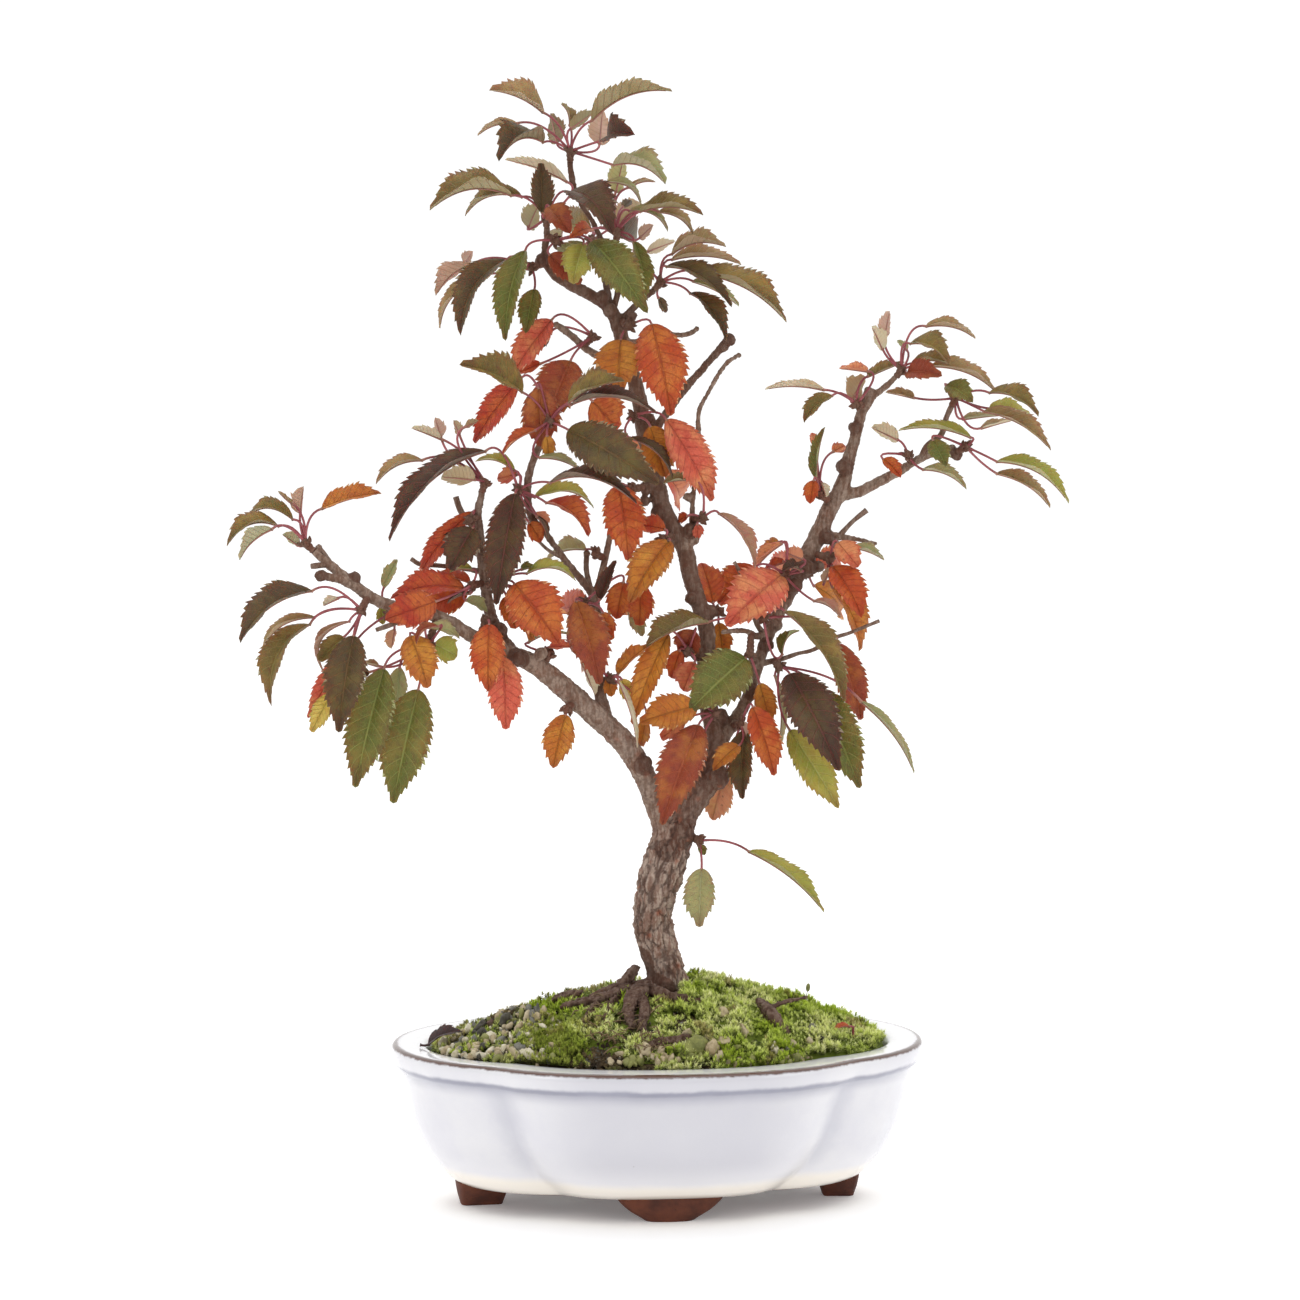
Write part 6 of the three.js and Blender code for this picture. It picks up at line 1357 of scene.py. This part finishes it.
  "branch_gold": ((-31.5, 188.8, -15), (
    (-32, 187, -37, 166.3, 12, 14, 14, 0.04, 12.5, "gold"),
  )),
  "leader_orange": ((-7, 272.5, 16), (
    (-12, 274, -8, 245.5, 26, 10, 14, 0.06, 17, "orange"),
  )),
  "leader_gold": ((5, 253.5, 11), (
    (7.5, 253, -8, 229.5, 24, 20, 20, 0.1, 16, "gold"),
    (6, 257, -5.5, 259, -15, 40, 20, 0.05, 10, "red"),
    (-3.5, 237, -4, 220.5, -8, 10, 14, 0, 12, "orange"),
    (-8, 229, -2.5, 216.5, -20, 25, 20, 0, 8, "sage"),
  )),
  "leader_right": ((26.5, 226, 16), (
    (24, 229, 19.5, 245, -28, 12, 14, 0.04, 13, "orange"),
    (26, 222, 28, 207.5, -10, 14, 14, 0, 9, "gold"),
  )),
  "back_crown": ((-22, 366, 37), (
    (-22, 370, -34, 366, -70, 62, 28, 0.14, 17, "olive"),
    (-18, 371, -6, 360, -68, 60, 28, 0.12, 18, "bronze"),
    (-24, 365, -28, 353, -66, 50, 26, 0.12, 16, "green"),
    (-12, 372, 3, 377, -62, 70, 30, 0.1, 15, "tan"),
  )),
  "back_mid": ((-20.5, 222, 12), (
    (-22, 226, -36, 222, -66, 60, 28, 0.12, 17, "orange"),
    (-16, 225, -6, 222, -70, 60, 28, 0.12, 16, "gold"),
    (-21, 218, -24, 206, -66, 50, 26, 0.12, 15, "rust"),
  )),
  "back_leader": ((4, 283, 32), (
    (6, 286, 16, 282, -68, 62, 28, 0.12, 16, "gold"),
    (0, 285, -10, 279, -70, 60, 28, 0.12, 17, "orange"),
    (5, 279, 10, 267, -62, 45, 26, 0.12, 15, "coral"),
  )),
  "back_right": ((60, 240.5, 42), (
    (62, 243, 74, 238, -66, 62, 28, 0.12, 17, "orange"),
    (57, 243, 46, 236, -66, 60, 28, 0.12, 16, "coral"),
    (62, 236, 72, 224, -58, 45, 26, 0.12, 15, "gold"),
  )),
  "trunk_sprout": ((18.8, 138.5, -5), (
    (19.7, 128, 18.8, 105.3, 18, 15, 14, 0.03, 13, "sage"),
    (37.5, 134.5, 67, 112, 10, 66, 30, 0.06, 12, "lime"),
  )),
}

# Young leaflets in the same sprays, too small to be solids of their own
LEAFLETS = {
  "crown_right": ((-10.5, 378.5, -7, 381.5, -60, 20, 20, 0, 4, "bronze"),),
  "leader_left": ((-38, 331, -41, 326, -30, 20, 20, 0, 4, "dark"),),
  "inner_end": (
    (-50, 278, -58, 276.5, -25, 30, 20, 0, 8, "coral"),
    (-44, 263.5, -38, 260, -30, 130, 20, 0, 6, "coral"),
    (-46, 260, -41, 252.5, -15, 20, 20, 0, 8, "orange"),
  ),
  "upright_top": (
    (-79, 292, -81, 299.5, -30, 150, 20, 0, 6, "rose"),
    (-72, 293, -74, 298.5, -30, 140, 20, 0, 5, "tan"),
    (-70, 296, -65, 298.5, -30, 140, 20, 0, 4, "tan"),
  ),
  "twig_knob": (
    (18, 259.5, 18, 253.5, -20, 20, 20, 0, 5, "coral"),
    (14.5, 262.5, 10.5, 260.5, -30, 30, 20, 0, 5, "red"),
  ),
  "branch_head": (
    (69, 286.5, 74, 289, -40, 30, 20, 0, 6, "coral"),
    (62.5, 288, 61.5, 294, -40, 30, 20, 0, 5, "coral"),
    (65, 275, 67, 269.5, 10, 140, 20, 0, 5, "pale"),
  ),
  "shoot_tip": ((97, 325, 93.5, 329, -50, 40, 20, 0, 4, "sage"),),
  "right_spur": ((66, 237, 68, 243, 10, 130, 20, 0, 5, "rose"),),
  "right_left_spur": (
    (58, 246, 51, 249, -10, 140, 20, 0, 8, "coral"),
    (57.5, 241.5, 50, 241.5, 20, 65, 25, 0.2, 9, "dark"),
  ),
  "low_right": ((34, 184, 37.5, 177.5, 20, 140, 20, 0, 6, "rose"),),
  "inner_low": ((-16, 201, -14.5, 193.5, -10, 15, 15, 0, 6, "gold"),),
  "branch_back": ((-38.5, 212.5, -30, 212.8, 10, 50, 25, 0, 7, "coral"),),
  "upright_right": (
    (-51, 232.5, -49.5, 225, -5, 25, 20, 0, 5, "rust"),
    (-49, 242, -43.5, 243.5, -15, 60, 25, 0, 6, "green"),
  ),
  "upright_left": ((-67, 242, -76, 241.3, -5, 66, 28, 0.1, 6, "lime"),),
  "left_green": (
    (-103, 205.3, -109.5, 207, -15, 70, 30, 0, 5, "tan"),
    (-106.5, 203, -110, 202, 5, 20, 35, 0, 5, "dark"),
  ),
  "left_bronze": ((-118, 231.3, -124, 228.5, -20, 120, 25, 0, 6, "pale"),),
  "left_coral": (
    (-97, 219.5, -98.5, 212, -10, 130, 20, 0, 7, "salmon"),
    (-101.5, 228, -101.5, 221, -10, 20, 20, 0, 5, "lime"),
  ),
  "left_tip": (
    (-135, 267, -140.5, 272, -10, 75, 35, -0.05, 3, "tan"),
    (-133, 251, -139, 255.5, -15, 130, 25, 0, 8, "sage"),
  ),
  "trunk_sprout": ((18.7, 137, 21, 133, 0, 20, 20, 0, 4, "green"),),
}

# Leaf colours: [upper side, patches, rim and tip, veins, under side]
TONES = {
    "olive": (0x6a5e2c, 0x8a7436, 0x643c2e, 0xa09258, 0xa09672),
    "bronze": (0x4c4126, 0x62562a, 0x412a22, 0x80603c, 0x928468),
    "dark": (0x42301f, 0x554626, 0x33201a, 0x7e4440, 0x887868),
    "green": (0x5e6628, 0x766e30, 0x543e22, 0xa0a45c, 0xa0a470),
    "lime": (0x969c42, 0xaea84a, 0x8e7436, 0xc6c278, 0xb6b486),
    "sage": (0x949a64, 0xa6a06a, 0x8a6c54, 0xbcb88c, 0xb2ae8c),
    "gold": (0xba6e26, 0xcc8c34, 0x8c4022, 0x8a5026, 0xd09c68),
    "yellow": (0xcdb04a, 0xd8c060, 0xa88a3c, 0xa08838, 0xd8c890),
    "tan": (0x8f7c4c, 0xa38a58, 0x8a5444, 0xb8a47c, 0xb4a080),
    "orange": (0xb84e22, 0xca7432, 0x962c20, 0x8e3a20, 0xd48e60),
    "coral": (0xd0624a, 0xde9260, 0xac3e30, 0xa44438, 0xe09878),
    "red": (0xb23e24, 0xc4662f, 0x8c2a24, 0x86302a, 0xc87864),
    "rust": (0x8e4026, 0xa8642e, 0x662a24, 0xb45e40, 0xb87c60),
    "rose": (0xa87a64, 0x9c8058, 0xa05a4c, 0xc8a08c, 0xc4a490),
    "salmon": (0xdd9a70, 0xd9b078, 0xc06c4c, 0xc08468, 0xe0b494),
    "pale": (0xccbf9e, 0xc2b084, 0xb08670, 0xddd0b0, 0xd9cbae),
}
EYE = np.array((0.0, -EYE_DISTANCE, EYE_HEIGHT))
WIDEST = 0.46  # the share of its length at which a blade is widest
FOOT_ROUND = 0.6  # how a blade narrows to its foot and its tip: rounder where the power is lower
TIP_ROUND = 0.75
BLADE_THICK = 0.32
TOOTH = 2.5  # the length of margin that a tooth takes, in mm
VEIN_SPACING = 4.2
# How far the surface rises or falls, as shares of the blade's width: between the side veins, along
# the margin and between midrib and margin. The curl of the tip is a share of its length.
QUILT = 0.055
WAVE = 0.05
CROWN = 0.1
CURL = 0.03
RIB_RADII = (0.42, 0.1)
STALK_RADIUS = 0.46
STALK_SWELL = 0.3
STALK_SIDES = 7
BUD_SCALES = 7
# The outline of a bud scale: [share of its length, thickness]
SCALE_OUTLINE = ((0, 0.6), (0.15, 0.9), (0.4, 1), (0.65, 0.75), (0.85, 0.4), (0.97, 0.1))
# The points across a blade, from one margin to the other
COLUMNS = np.array((-1, -0.8, -0.55, -0.28, -0.09, 0, 0.09, 0.28, 0.55, 0.8, 1))
NUDGE = 4.0  # one step forward or back, in mm
# The moves of a leaf's foot and tip, forward or back, that make room between sprays: smallest first
SHIFTS = sorted(((whole * NUDGE, tip * NUDGE) for whole in range(-5, 6) for tip in range(-5, 6)),
                key=lambda move: (round(math.hypot(*move), 6), *move))


def half_width(share):
    """The half width of a blade at a share of its length, where its greatest is 1."""
    share = np.clip(share, 0, 1)
    return (share / WIDEST) ** FOOT_ROUND * ((1 - share) / (1 - WIDEST)) ** TIP_ROUND


class Leaf:
    """Where one leaf lies: its foot, its tip, the way its upper side looks and its sideways axis."""

    def __init__(self, spur, row, shift=(0.0, 0.0)):
        foot_x, foot_z, tip_x, tip_z, swing, face, self.fold, self.bow, self.width, self.tone = row
        lean = math.tan(math.radians(swing))
        stalk_span = math.hypot(foot_x - spur[0], foot_z - spur[1])
        blade_span = math.hypot(tip_x - foot_x, tip_z - foot_z)
        foot_depth = spur[2] - lean * stalk_span * 0.6 + shift[0]
        tip_depth = foot_depth - lean * blade_span + shift[1]
        self.foot = place(foot_x, foot_z, foot_depth)
        self.tip = place(tip_x, tip_z, tip_depth)
        self.length = float(np.linalg.norm(self.tip - self.foot))
        self.along = unit(self.tip - self.foot)
        view = unit(EYE - (self.foot + self.tip) / 2)
        view = unit(view - self.along * view.dot(self.along))
        up = np.cross(self.along, view)
        up = -up if up[2] < 0 else up
        self.upper = view * math.cos(math.radians(face)) + up * math.sin(math.radians(face))
        self.side = np.cross(self.along, self.upper)

    def point(self, share, reach, lift=0.0):
        """A point of the blade: reach is its distance from the midrib, in mm."""
        share, reach = np.broadcast_arrays(np.asarray(share, dtype=float), np.asarray(reach, dtype=float))
        fold = math.radians(self.fold)
        rise = 4 * self.bow * self.length * share * (1 - share) + np.abs(reach) * math.sin(fold) + lift
        return (self.foot + self.along * (self.length * share)[..., None]
                + self.side * (reach * math.cos(fold))[..., None] + self.upper * rise[..., None])

    def first_tooth(self):
        """Where the solid leaf has the tooth nearest its foot. It has one to three on each side."""
        teeth = 3 if self.length > 37 else 2 if self.length > 21 else 1
        share = 0.85 / (teeth + 0.35)
        return self.point(share, half_width(share) * self.width / 2)


def seated(solid_points, spur, row):
    """The leaf in the place where the solid model's leaf lies."""
    best = None
    for shift in SHIFTS:
        leaf = Leaf(spur, row, shift)
        miss = solid_points.find(leaf.tip)[2] + solid_points.find(leaf.first_tooth())[2]
        if best is None or miss < best[0] - 0.02:
            best = (miss, leaf)
        if miss < 0.1:
            break
    return best[1]


def blade(body, leaf, finish, seed):
    """Upper and under side of a blade, with the margin cut into teeth that point to the tip."""
    teeth = int(np.clip(round(leaf.length / TOOTH), 4, 17))
    rows = [(0.0, 0.0, 0.0)]
    # Each tooth has three rows: its notch, its back and its point
    for tooth in range(teeth):
        big = 1.0 if tooth % 2 == 0 else 0.55
        for at, cut, forward in ((0.0, -0.13 * big, 0.0), (0.45, -0.02, 0.1), (0.8, 0.08 * big, 0.5 * big)):
            rows.append(((tooth + 0.35 + at) / (teeth + 0.9), cut, forward / (teeth + 0.9)))
    rows.append((1.0, 0.0, 0.0))
    share, cut, forward = np.array(rows).T
    edge = np.abs(COLUMNS)
    grid_share = share[:, None] + np.where(edge == 1, forward[:, None], 0)
    drawn_out = 1 - 0.5 * np.clip((share - 0.6) / 0.4, 0, 1) ** 1.5
    wide = (half_width(share) * drawn_out)[:, None] * leaf.width / 2
    near_margin = np.clip((edge - 0.72) / 0.28, 0, 1)
    reach = COLUMNS * wide * (1 + cut[:, None] * near_margin)
    pairs = max(4, round(leaf.length / VEIN_SPACING))
    rib = np.abs(np.sin(math.pi * (grid_share * pairs - edge * 1.5 + (COLUMNS > 0) * 0.5)))
    quilt = QUILT * leaf.width * rib ** 0.7 * edge * (1.15 - edge) * np.sqrt(half_width(share))[:, None]
    wave = WAVE * leaf.width * edge ** 2 * np.sin(grid_share * 11 + seed * 6 + np.sign(COLUMNS) * 1.3)
    crown = CROWN * leaf.width * edge * (1 - edge)
    curl = -CURL * leaf.length * grid_share ** 3
    lift = quilt + (wave + crown) * half_width(share)[:, None] + curl
    top = leaf.point(grid_share, reach, lift)
    low = leaf.point(grid_share, reach, lift - BLADE_THICK * (1 - edge ** 2))
    faces = grid_faces(len(rows), len(COLUMNS))
    mark = np.stack(np.broadcast_arrays(grid_share, COLUMNS), axis=-1).reshape(-1, 2)
    body.add(top.reshape(-1, 3), faces.tolist(), finish, mark, (seed, 0))
    body.add(low.reshape(-1, 3), faces[:, ::-1].tolist(), finish, mark, (seed, 1))
    ribs = np.linspace(0, 0.93, 14)
    centres = leaf.point(ribs, 0.0, -0.35 - CURL * leaf.length * ribs ** 3)
    body.add(*tube(centres, np.interp(ribs, (0, 1), RIB_RADII), 6), 0, (0.9, 0))


def stalk(body, start, leaf):
    """The thin stalk, which bends into line with the midrib and is thicker at both ends."""
    span = float(np.linalg.norm(leaf.foot - start))
    if span < 0.5:
        return
    bend = leaf.foot - leaf.along * 0.45 * span
    t = np.linspace(0, 1, max(6, int(span / 1.5)))[:, None]
    centres = (1 - t) ** 2 * start + 2 * t * (1 - t) * bend + t ** 2 * leaf.foot
    centres = np.vstack((centres, leaf.foot + leaf.along * 0.6))
    share = np.linspace(0, 1, len(centres))
    along = np.append(np.repeat(share, STALK_SIDES), (0, 1))
    points, faces = tube(centres, STALK_RADIUS + STALK_SWELL * (2 * share - 1) ** 8, STALK_SIDES)
    body.add(points, faces, 0, np.column_stack((along, np.zeros(len(along)))))


def scale_bud(body, base, way, size, seed):
    """One pointed brown bud scale."""
    shares, thick = np.array(SCALE_OUTLINE).T
    centres = base + unit(way) * (shares * size)[:, None]
    body.add(*tube(centres, size * 0.3 * thick, 8), 1, (0.12, 0.25 * seed))


def spur(body, point, seed):
    """The short spur that carries the stalks: ringed bark with scales around its end."""
    foot = axis[nearest.find(point)[1]][0]
    reach = float(np.linalg.norm(point - foot))
    way = unit(point - foot) if reach > 0.3 else np.array((0.0, -0.3, 1.0))
    t = np.linspace(0, 1, max(8, int(reach / 0.5)))
    centres = foot + way * (t * reach)[:, None]
    radii = 1.25 + 0.35 * t + 0.16 * np.sin(t * reach * 3.6)
    body.add(*tube(centres, radii, 12), 1, (0.13, 0.1))
    lump, faces = BALLS[2]
    push = np.array([noise.noise(Vector(p) * 2.3 + Vector(point)) for p in lump])
    body.add(point + lump * (1.8 + 0.9 * push[:, None]), faces, 1, (0.13, 0.15))
    for number in range(BUD_SCALES):
        turn = number * 2.4 + seed * 6
        side = unit(np.cross(way, (0.3, 0.5, 0.2)))
        out = side * math.cos(turn) + np.cross(way, side) * math.sin(turn)
        spread = 0.5 + 0.9 * ((number * 0.37 + seed) % 1)
        base = point + out * 1.1 - way * (1.6 * ((number * 0.61) % 1))
        scale_bud(body, base, out * spread + way, 1.9 + 1.2 * ((number * 0.53 + seed) % 1), seed)


def make_veins():
    """Midrib, side veins and the net between them, from a leaf's own along and across marks."""
    group, given, out = new_group(
        "leaf_veins", {"Along": 0.0, "Across": 0.0, "Pairs": 8.0, "Seed": 0.0}, ("Ribs", "Net", "Height"))
    off = reckon(group, "ABSOLUTE", given["Across"])
    middle = fall(group, off, 0.015, 0.075)
    turned = times(group, reckon(group, "GREATER_THAN", given["Across"], 0.0), 0.5)
    phase = reckon(group, "SUBTRACT", times(group, given["Along"], given["Pairs"]), times(group, off, 1.5))
    near = reckon(group, "PINGPONG", plus(group, phase, turned), 0.5)
    side = times(group, fall(group, near, 0.015, 0.085), fade(group, off, 0.7, 1.0, 1.0, 0.1))
    spot = add_node(group, "ShaderNodeCombineXYZ", {
        0: times(group, given["Along"], 2.6), 1: given["Across"], 2: given["Seed"]}).outputs[0]
    cells = add_node(
        group, "ShaderNodeTexVoronoi", {"Vector": spot, "Scale": 9.0}, feature="DISTANCE_TO_EDGE")
    net = fall(group, cells.outputs["Distance"], 0.01, 0.07)
    ribs = reckon(group, "MAXIMUM", middle, times(group, side, 0.75))
    height = plus(group, ribs, times(group, net, 0.35))
    for label, value in (("Ribs", ribs), ("Net", net), ("Height", times(group, height, -1.0))):
        group.links.new(value, out[label])
    return group


VEINS = make_veins()


def leaf_finish(tone, upper, patch, rim, vein, under):
    finish, tree, shader, spot, mark, kind = new_finish(
        f"leaf_{tone}", subsurface_weight=0.12, subsurface_scale=0.0015, specular_ior_level=0.3)
    veins = use(tree, VEINS, Along=mark["X"], Across=mark["Y"], Pairs=9.0, Seed=kind["X"])
    shift = add_node(tree, "ShaderNodeCombineXYZ", {0: kind["X"], 1: kind["X"]}).outputs[0]
    moved = add_node(tree, "ShaderNodeVectorMath", {0: spot, 1: shift}, operation="ADD").outputs[0]
    wide = use(tree, MOTTLE, Vector=moved, Scale=75.0, Low=0.42, High=0.62)
    fine = use(tree, MOTTLE, Vector=moved, Scale=420.0, Low=0.45, High=0.7)
    spots = use(tree, SPECKS, Vector=moved, Scale=330.0, Size=0.25, Share=0.16)["Mask"]
    edge = fade(tree, reckon(tree, "ABSOLUTE", mark["Y"]), 0.62, 1.0)
    tip = fade(tree, mark["X"], 0.72, 0.98)
    worn = times(tree, reckon(tree, "MAXIMUM", edge, tip), fade(tree, wide["Grain"], 0.3, 0.6))
    top = paint(
        tree, mix(tree, wide["Mask"], upper, patch), (times(tree, fine["Mask"], 0.5), rim),
        (times(tree, worn, 0.75), rim), (times(tree, veins["Net"], 0.26), vein),
        (times(tree, veins["Ribs"], 0.5), vein), (times(tree, spots, 0.6), 0x4a2c22))
    back = paint(
        tree, under, (times(tree, veins["Ribs"], 0.45), rim), (times(tree, wide["Mask"], 0.35), patch))
    tree.links.new(fade(tree, kind["Y"], 0.0, 1.0, 0.42, 0.75), shader.inputs["Roughness"])
    height = plus(tree, veins["Height"], times(tree, fine["Grain"], 0.6))
    lay_on(tree, shader, mix(tree, kind["Y"], top, back), height, 0.0005, 0.7)
    return finish


def stalk_finish():
    finish, tree, shader, spot, mark, _ = new_finish(
        "red_stalk", roughness=0.45, subsurface_weight=0.1, subsurface_scale=0.001)
    patches = use(tree, MOTTLE, Vector=spot, Scale=110.0, Low=0.35, High=0.65)
    body = mix(tree, patches["Mask"], 0x7c3138, 0xa4565a)
    body = mix(tree, fade(tree, mark["X"], 0.75, 1.0, 0.0, 0.55), body, 0xa98d6a)
    lay_on(tree, shader, body, patches["Grain"], 0.0003)
    return finish


STALK = stalk_finish()
LEAF_FINISHES = {tone: leaf_finish(tone, *shades) for tone, shades in TONES.items()}


def solid_corners(name):
    """The corners of a solid of the frame, to be looked up by place, in mm."""
    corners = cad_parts[name].data.vertices
    tree = kdtree.KDTree(len(corners))
    for number, corner in enumerate(corners):
        tree.insert(np.array(corner.co) * 1000 - VIEW_TO_ROW, number)
    tree.balance()
    return tree


for name, (spur_place, rows) in SPRAYS.items():
    body = Body()
    solid = solid_corners(f"spray_{name}")
    start = place(*spur_place)
    leaves = [seated(solid, spur_place, row) for row in rows]
    leaves += [Leaf(spur_place, row) for row in LEAFLETS.get(name, ())]
    tones = sorted({leaf.tone for leaf in leaves})
    for leaf in leaves:
        seed = chance.random()
        stalk(body, start, leaf)
        blade(body, leaf, 2 + tones.index(leaf.tone), seed)
    spur(body, start, chance.random())
    finishes = [STALK, SPUR_BARK] + [LEAF_FINISHES[tone] for tone in tones]
    body.piece(f"leaves_{name}", finishes, f"spray_{name}", [f"spray_{name}"])

# The fallen leaf
# One dry purple-brown leaf that has dropped. It lies loose on the soil at the left end of the pot,
# with its thin stalk out over the rim.
FALLEN_SPUR = (-88, 59.85, -16)
FALLEN_ROW = (-85, 59.85, -72, 65.3, 5, 62, 20, 0.12, 9, "dark")
fallen = Body()
leaf = Leaf(FALLEN_SPUR, FALLEN_ROW)
stalk(fallen, place(*FALLEN_SPUR), leaf)
blade(fallen, leaf, 1, 0.3)
dry_leaf = leaf_finish("dry", 0x3a2a28, 0x4a3836, 0x2c2020, 0x5a4440, 0x6a5650)
fallen.piece("dry_leaf", [dry_leaf, dry_leaf], "fallen_leaf", ["fallen_leaf"])

# The seedling and the dead stub
# A red-leaved seedling is rooted in the moss at the right. Beside it the dead stub of a twig leans
# in the soil, with a dry side shoot that still carries an oval seed case.
SEEDLING_FOOT = (77.4, 57.5, -12)
SEEDLING_TOP = (78, 66.5, -15)
SEEDLING_LEAF = (76.5, 67, 70.5, 66, 30, 60, 24, 0.1, 4, "red")
seedling = Body()
rise = np.linspace(0, 1, 12)[:, None]
line = place(*SEEDLING_FOOT) * (1 - rise) + place(*SEEDLING_TOP) * rise
line += np.sin(rise * 5) * (0.25, 0, 0)
seedling.add(*tube(line, np.linspace(0.6, 0.45, 12), 8), 0, (0.3, 0))
leaf = Leaf(SEEDLING_TOP, SEEDLING_LEAF)
stalk(seedling, place(*SEEDLING_TOP), leaf)
blade(seedling, leaf, 1, 0.6)
seedling.piece("red_seedling", [STALK, LEAF_FINISHES["red"]], "seedling", ["seedling"])

STUB = ((55, 57.5, -26, 2), (49.5, 67, -25.5, 2.7), (45.5, 72.5, -21, 2.5), (41, 77, -16, 1.4))
SIDE_SHOOT = ((45.5, 73.5, -20.5, 1), (51, 76.3, -17, 0.8), (60, 78.3, -12, 0.6))
CASE_STALK = (59.6, 77.9, -12)
CASE_MIDDLE = (60.4, 82, -12)
CASE_HALF_LENGTH = 1.6
CASE_RADIUS = 0.85
stub = Body()
for line in (STUB, SIDE_SHOOT):
    centres, radii = along_line(line, 0.5)
    points, faces = tube(centres, radii * (1 + 0.3 * waver(centres, 1.7)), 14)
    stub.add(points + rough(points, 1.4, 0.5)[:, None], faces, 0, (0.15, 0.2))
case = place(*CASE_MIDDLE)
stub.add(*tube(np.linspace(place(*CASE_STALK), case, 5), np.full(5, 0.14), 6), 1, (0.1, 0))
rise = np.linspace(-1, 1, 9)
centres = case + (CASE_HALF_LENGTH * rise)[:, None] * (0.1, 0, 1)
radii = CASE_RADIUS * np.sqrt(np.clip(1 - (0.99 * rise) ** 2, 0.02, 1))
stub.add(*tube(centres, radii, 10), 1, (0.1, 0))
stub.piece("dry_stub", [DARK_ROOT, STONE_FINISHES[MOSSY]], "dead_stub", ["dead_stub"])

# The studio
# A pale paper floor in a white room, with soft light from both sides and from above. The camera
# stands level with the crown and looks slightly down.
FLOOR_HALF = 4  # half the width of the floor, in metres
floor_mesh = bpy.data.meshes.new("floor")
corners = [(x * FLOOR_HALF, y * FLOOR_HALF, 0) for x, y in ((-1, -1), (1, -1), (1, 1), (-1, 1))]
floor_mesh.from_pydata(corners, [], [(0, 1, 2, 3)])
floor = bpy.data.objects.new("floor", floor_mesh)
bpy.context.scene.collection.objects.link(floor)
floor_finish, tree, shader, spot, _, _ = new_finish("floor_paper", roughness=0.9, specular_ior_level=0.1)
paper = use(tree, MOTTLE, Vector=spot, Scale=30.0, Low=0.2, High=0.8)["Mask"]
white = mix(tree, paper, (0.96, 0.96, 0.965, 1), (0.975, 0.975, 0.975, 1))
tree.links.new(white, shader.inputs["Base Color"])
shader.inputs["Emission Color"].default_value = (1, 1, 1, 1)
shader.inputs["Emission Strength"].default_value = 0.14
floor_mesh.materials.append(floor_finish)

world = bpy.data.worlds.new("white_room")
world.use_nodes = True
room = world.node_tree
look = add_node(room, "ShaderNodeTexCoord").outputs["Generated"]
way = add_node(room, "ShaderNodeSeparateXYZ", {0: look}).outputs
ahead = fade(room, way["Y"], -0.8, 0.5, 0.66, 1.08)
brightness = plus(room, ahead, fade(room, way["Z"], 0.2, 1.0, 0.0, 0.3))
room.links.new(brightness, room.nodes["Background"].inputs["Strength"])
room.nodes["Background"].inputs["Color"].default_value = (1, 1, 1, 1)
scene = bpy.context.scene
scene.world = world
# Each lamp: [name, place, size, power]
LAMPS = (
    ("left_box", (-1.3, -1.4, 1.1), 0.7, 4.0),
    ("right_box", (1.5, -1.1, 0.9), 0.7, 3.0),
    ("top_box", (0, 0.2, 1.8), 1.4, 3.5),
)
LIT_MIDDLE = (0, 0, 0.18)
for name, spot_at, size, power in LAMPS:
    lamp = bpy.data.lights.new(name, "AREA")
    lamp.size = size
    lamp.energy = power
    box = bpy.data.objects.new(name, lamp)
    box.location = spot_at
    box.rotation_euler = (Vector(LIT_MIDDLE) - box.location).to_track_quat("-Z", "Y").to_euler()
    scene.collection.objects.link(box)

AIM = (0, 0, 211.4)  # the point in the middle of the picture
camera_data = bpy.data.cameras.new("view")
camera_data.sensor_width = 36.0
camera_data.lens = 117.1
camera_data.clip_end = 20.0
camera = bpy.data.objects.new("view", camera_data)
camera.location = (EYE + VIEW_TO_ROW) / 1000
target = Vector((np.array(AIM) + VIEW_TO_ROW) / 1000)
camera.rotation_euler = (target - camera.location).to_track_quat("-Z", "Y").to_euler()
scene.collection.objects.link(camera)
scene.camera = camera
scene.view_settings.view_transform = "Standard"
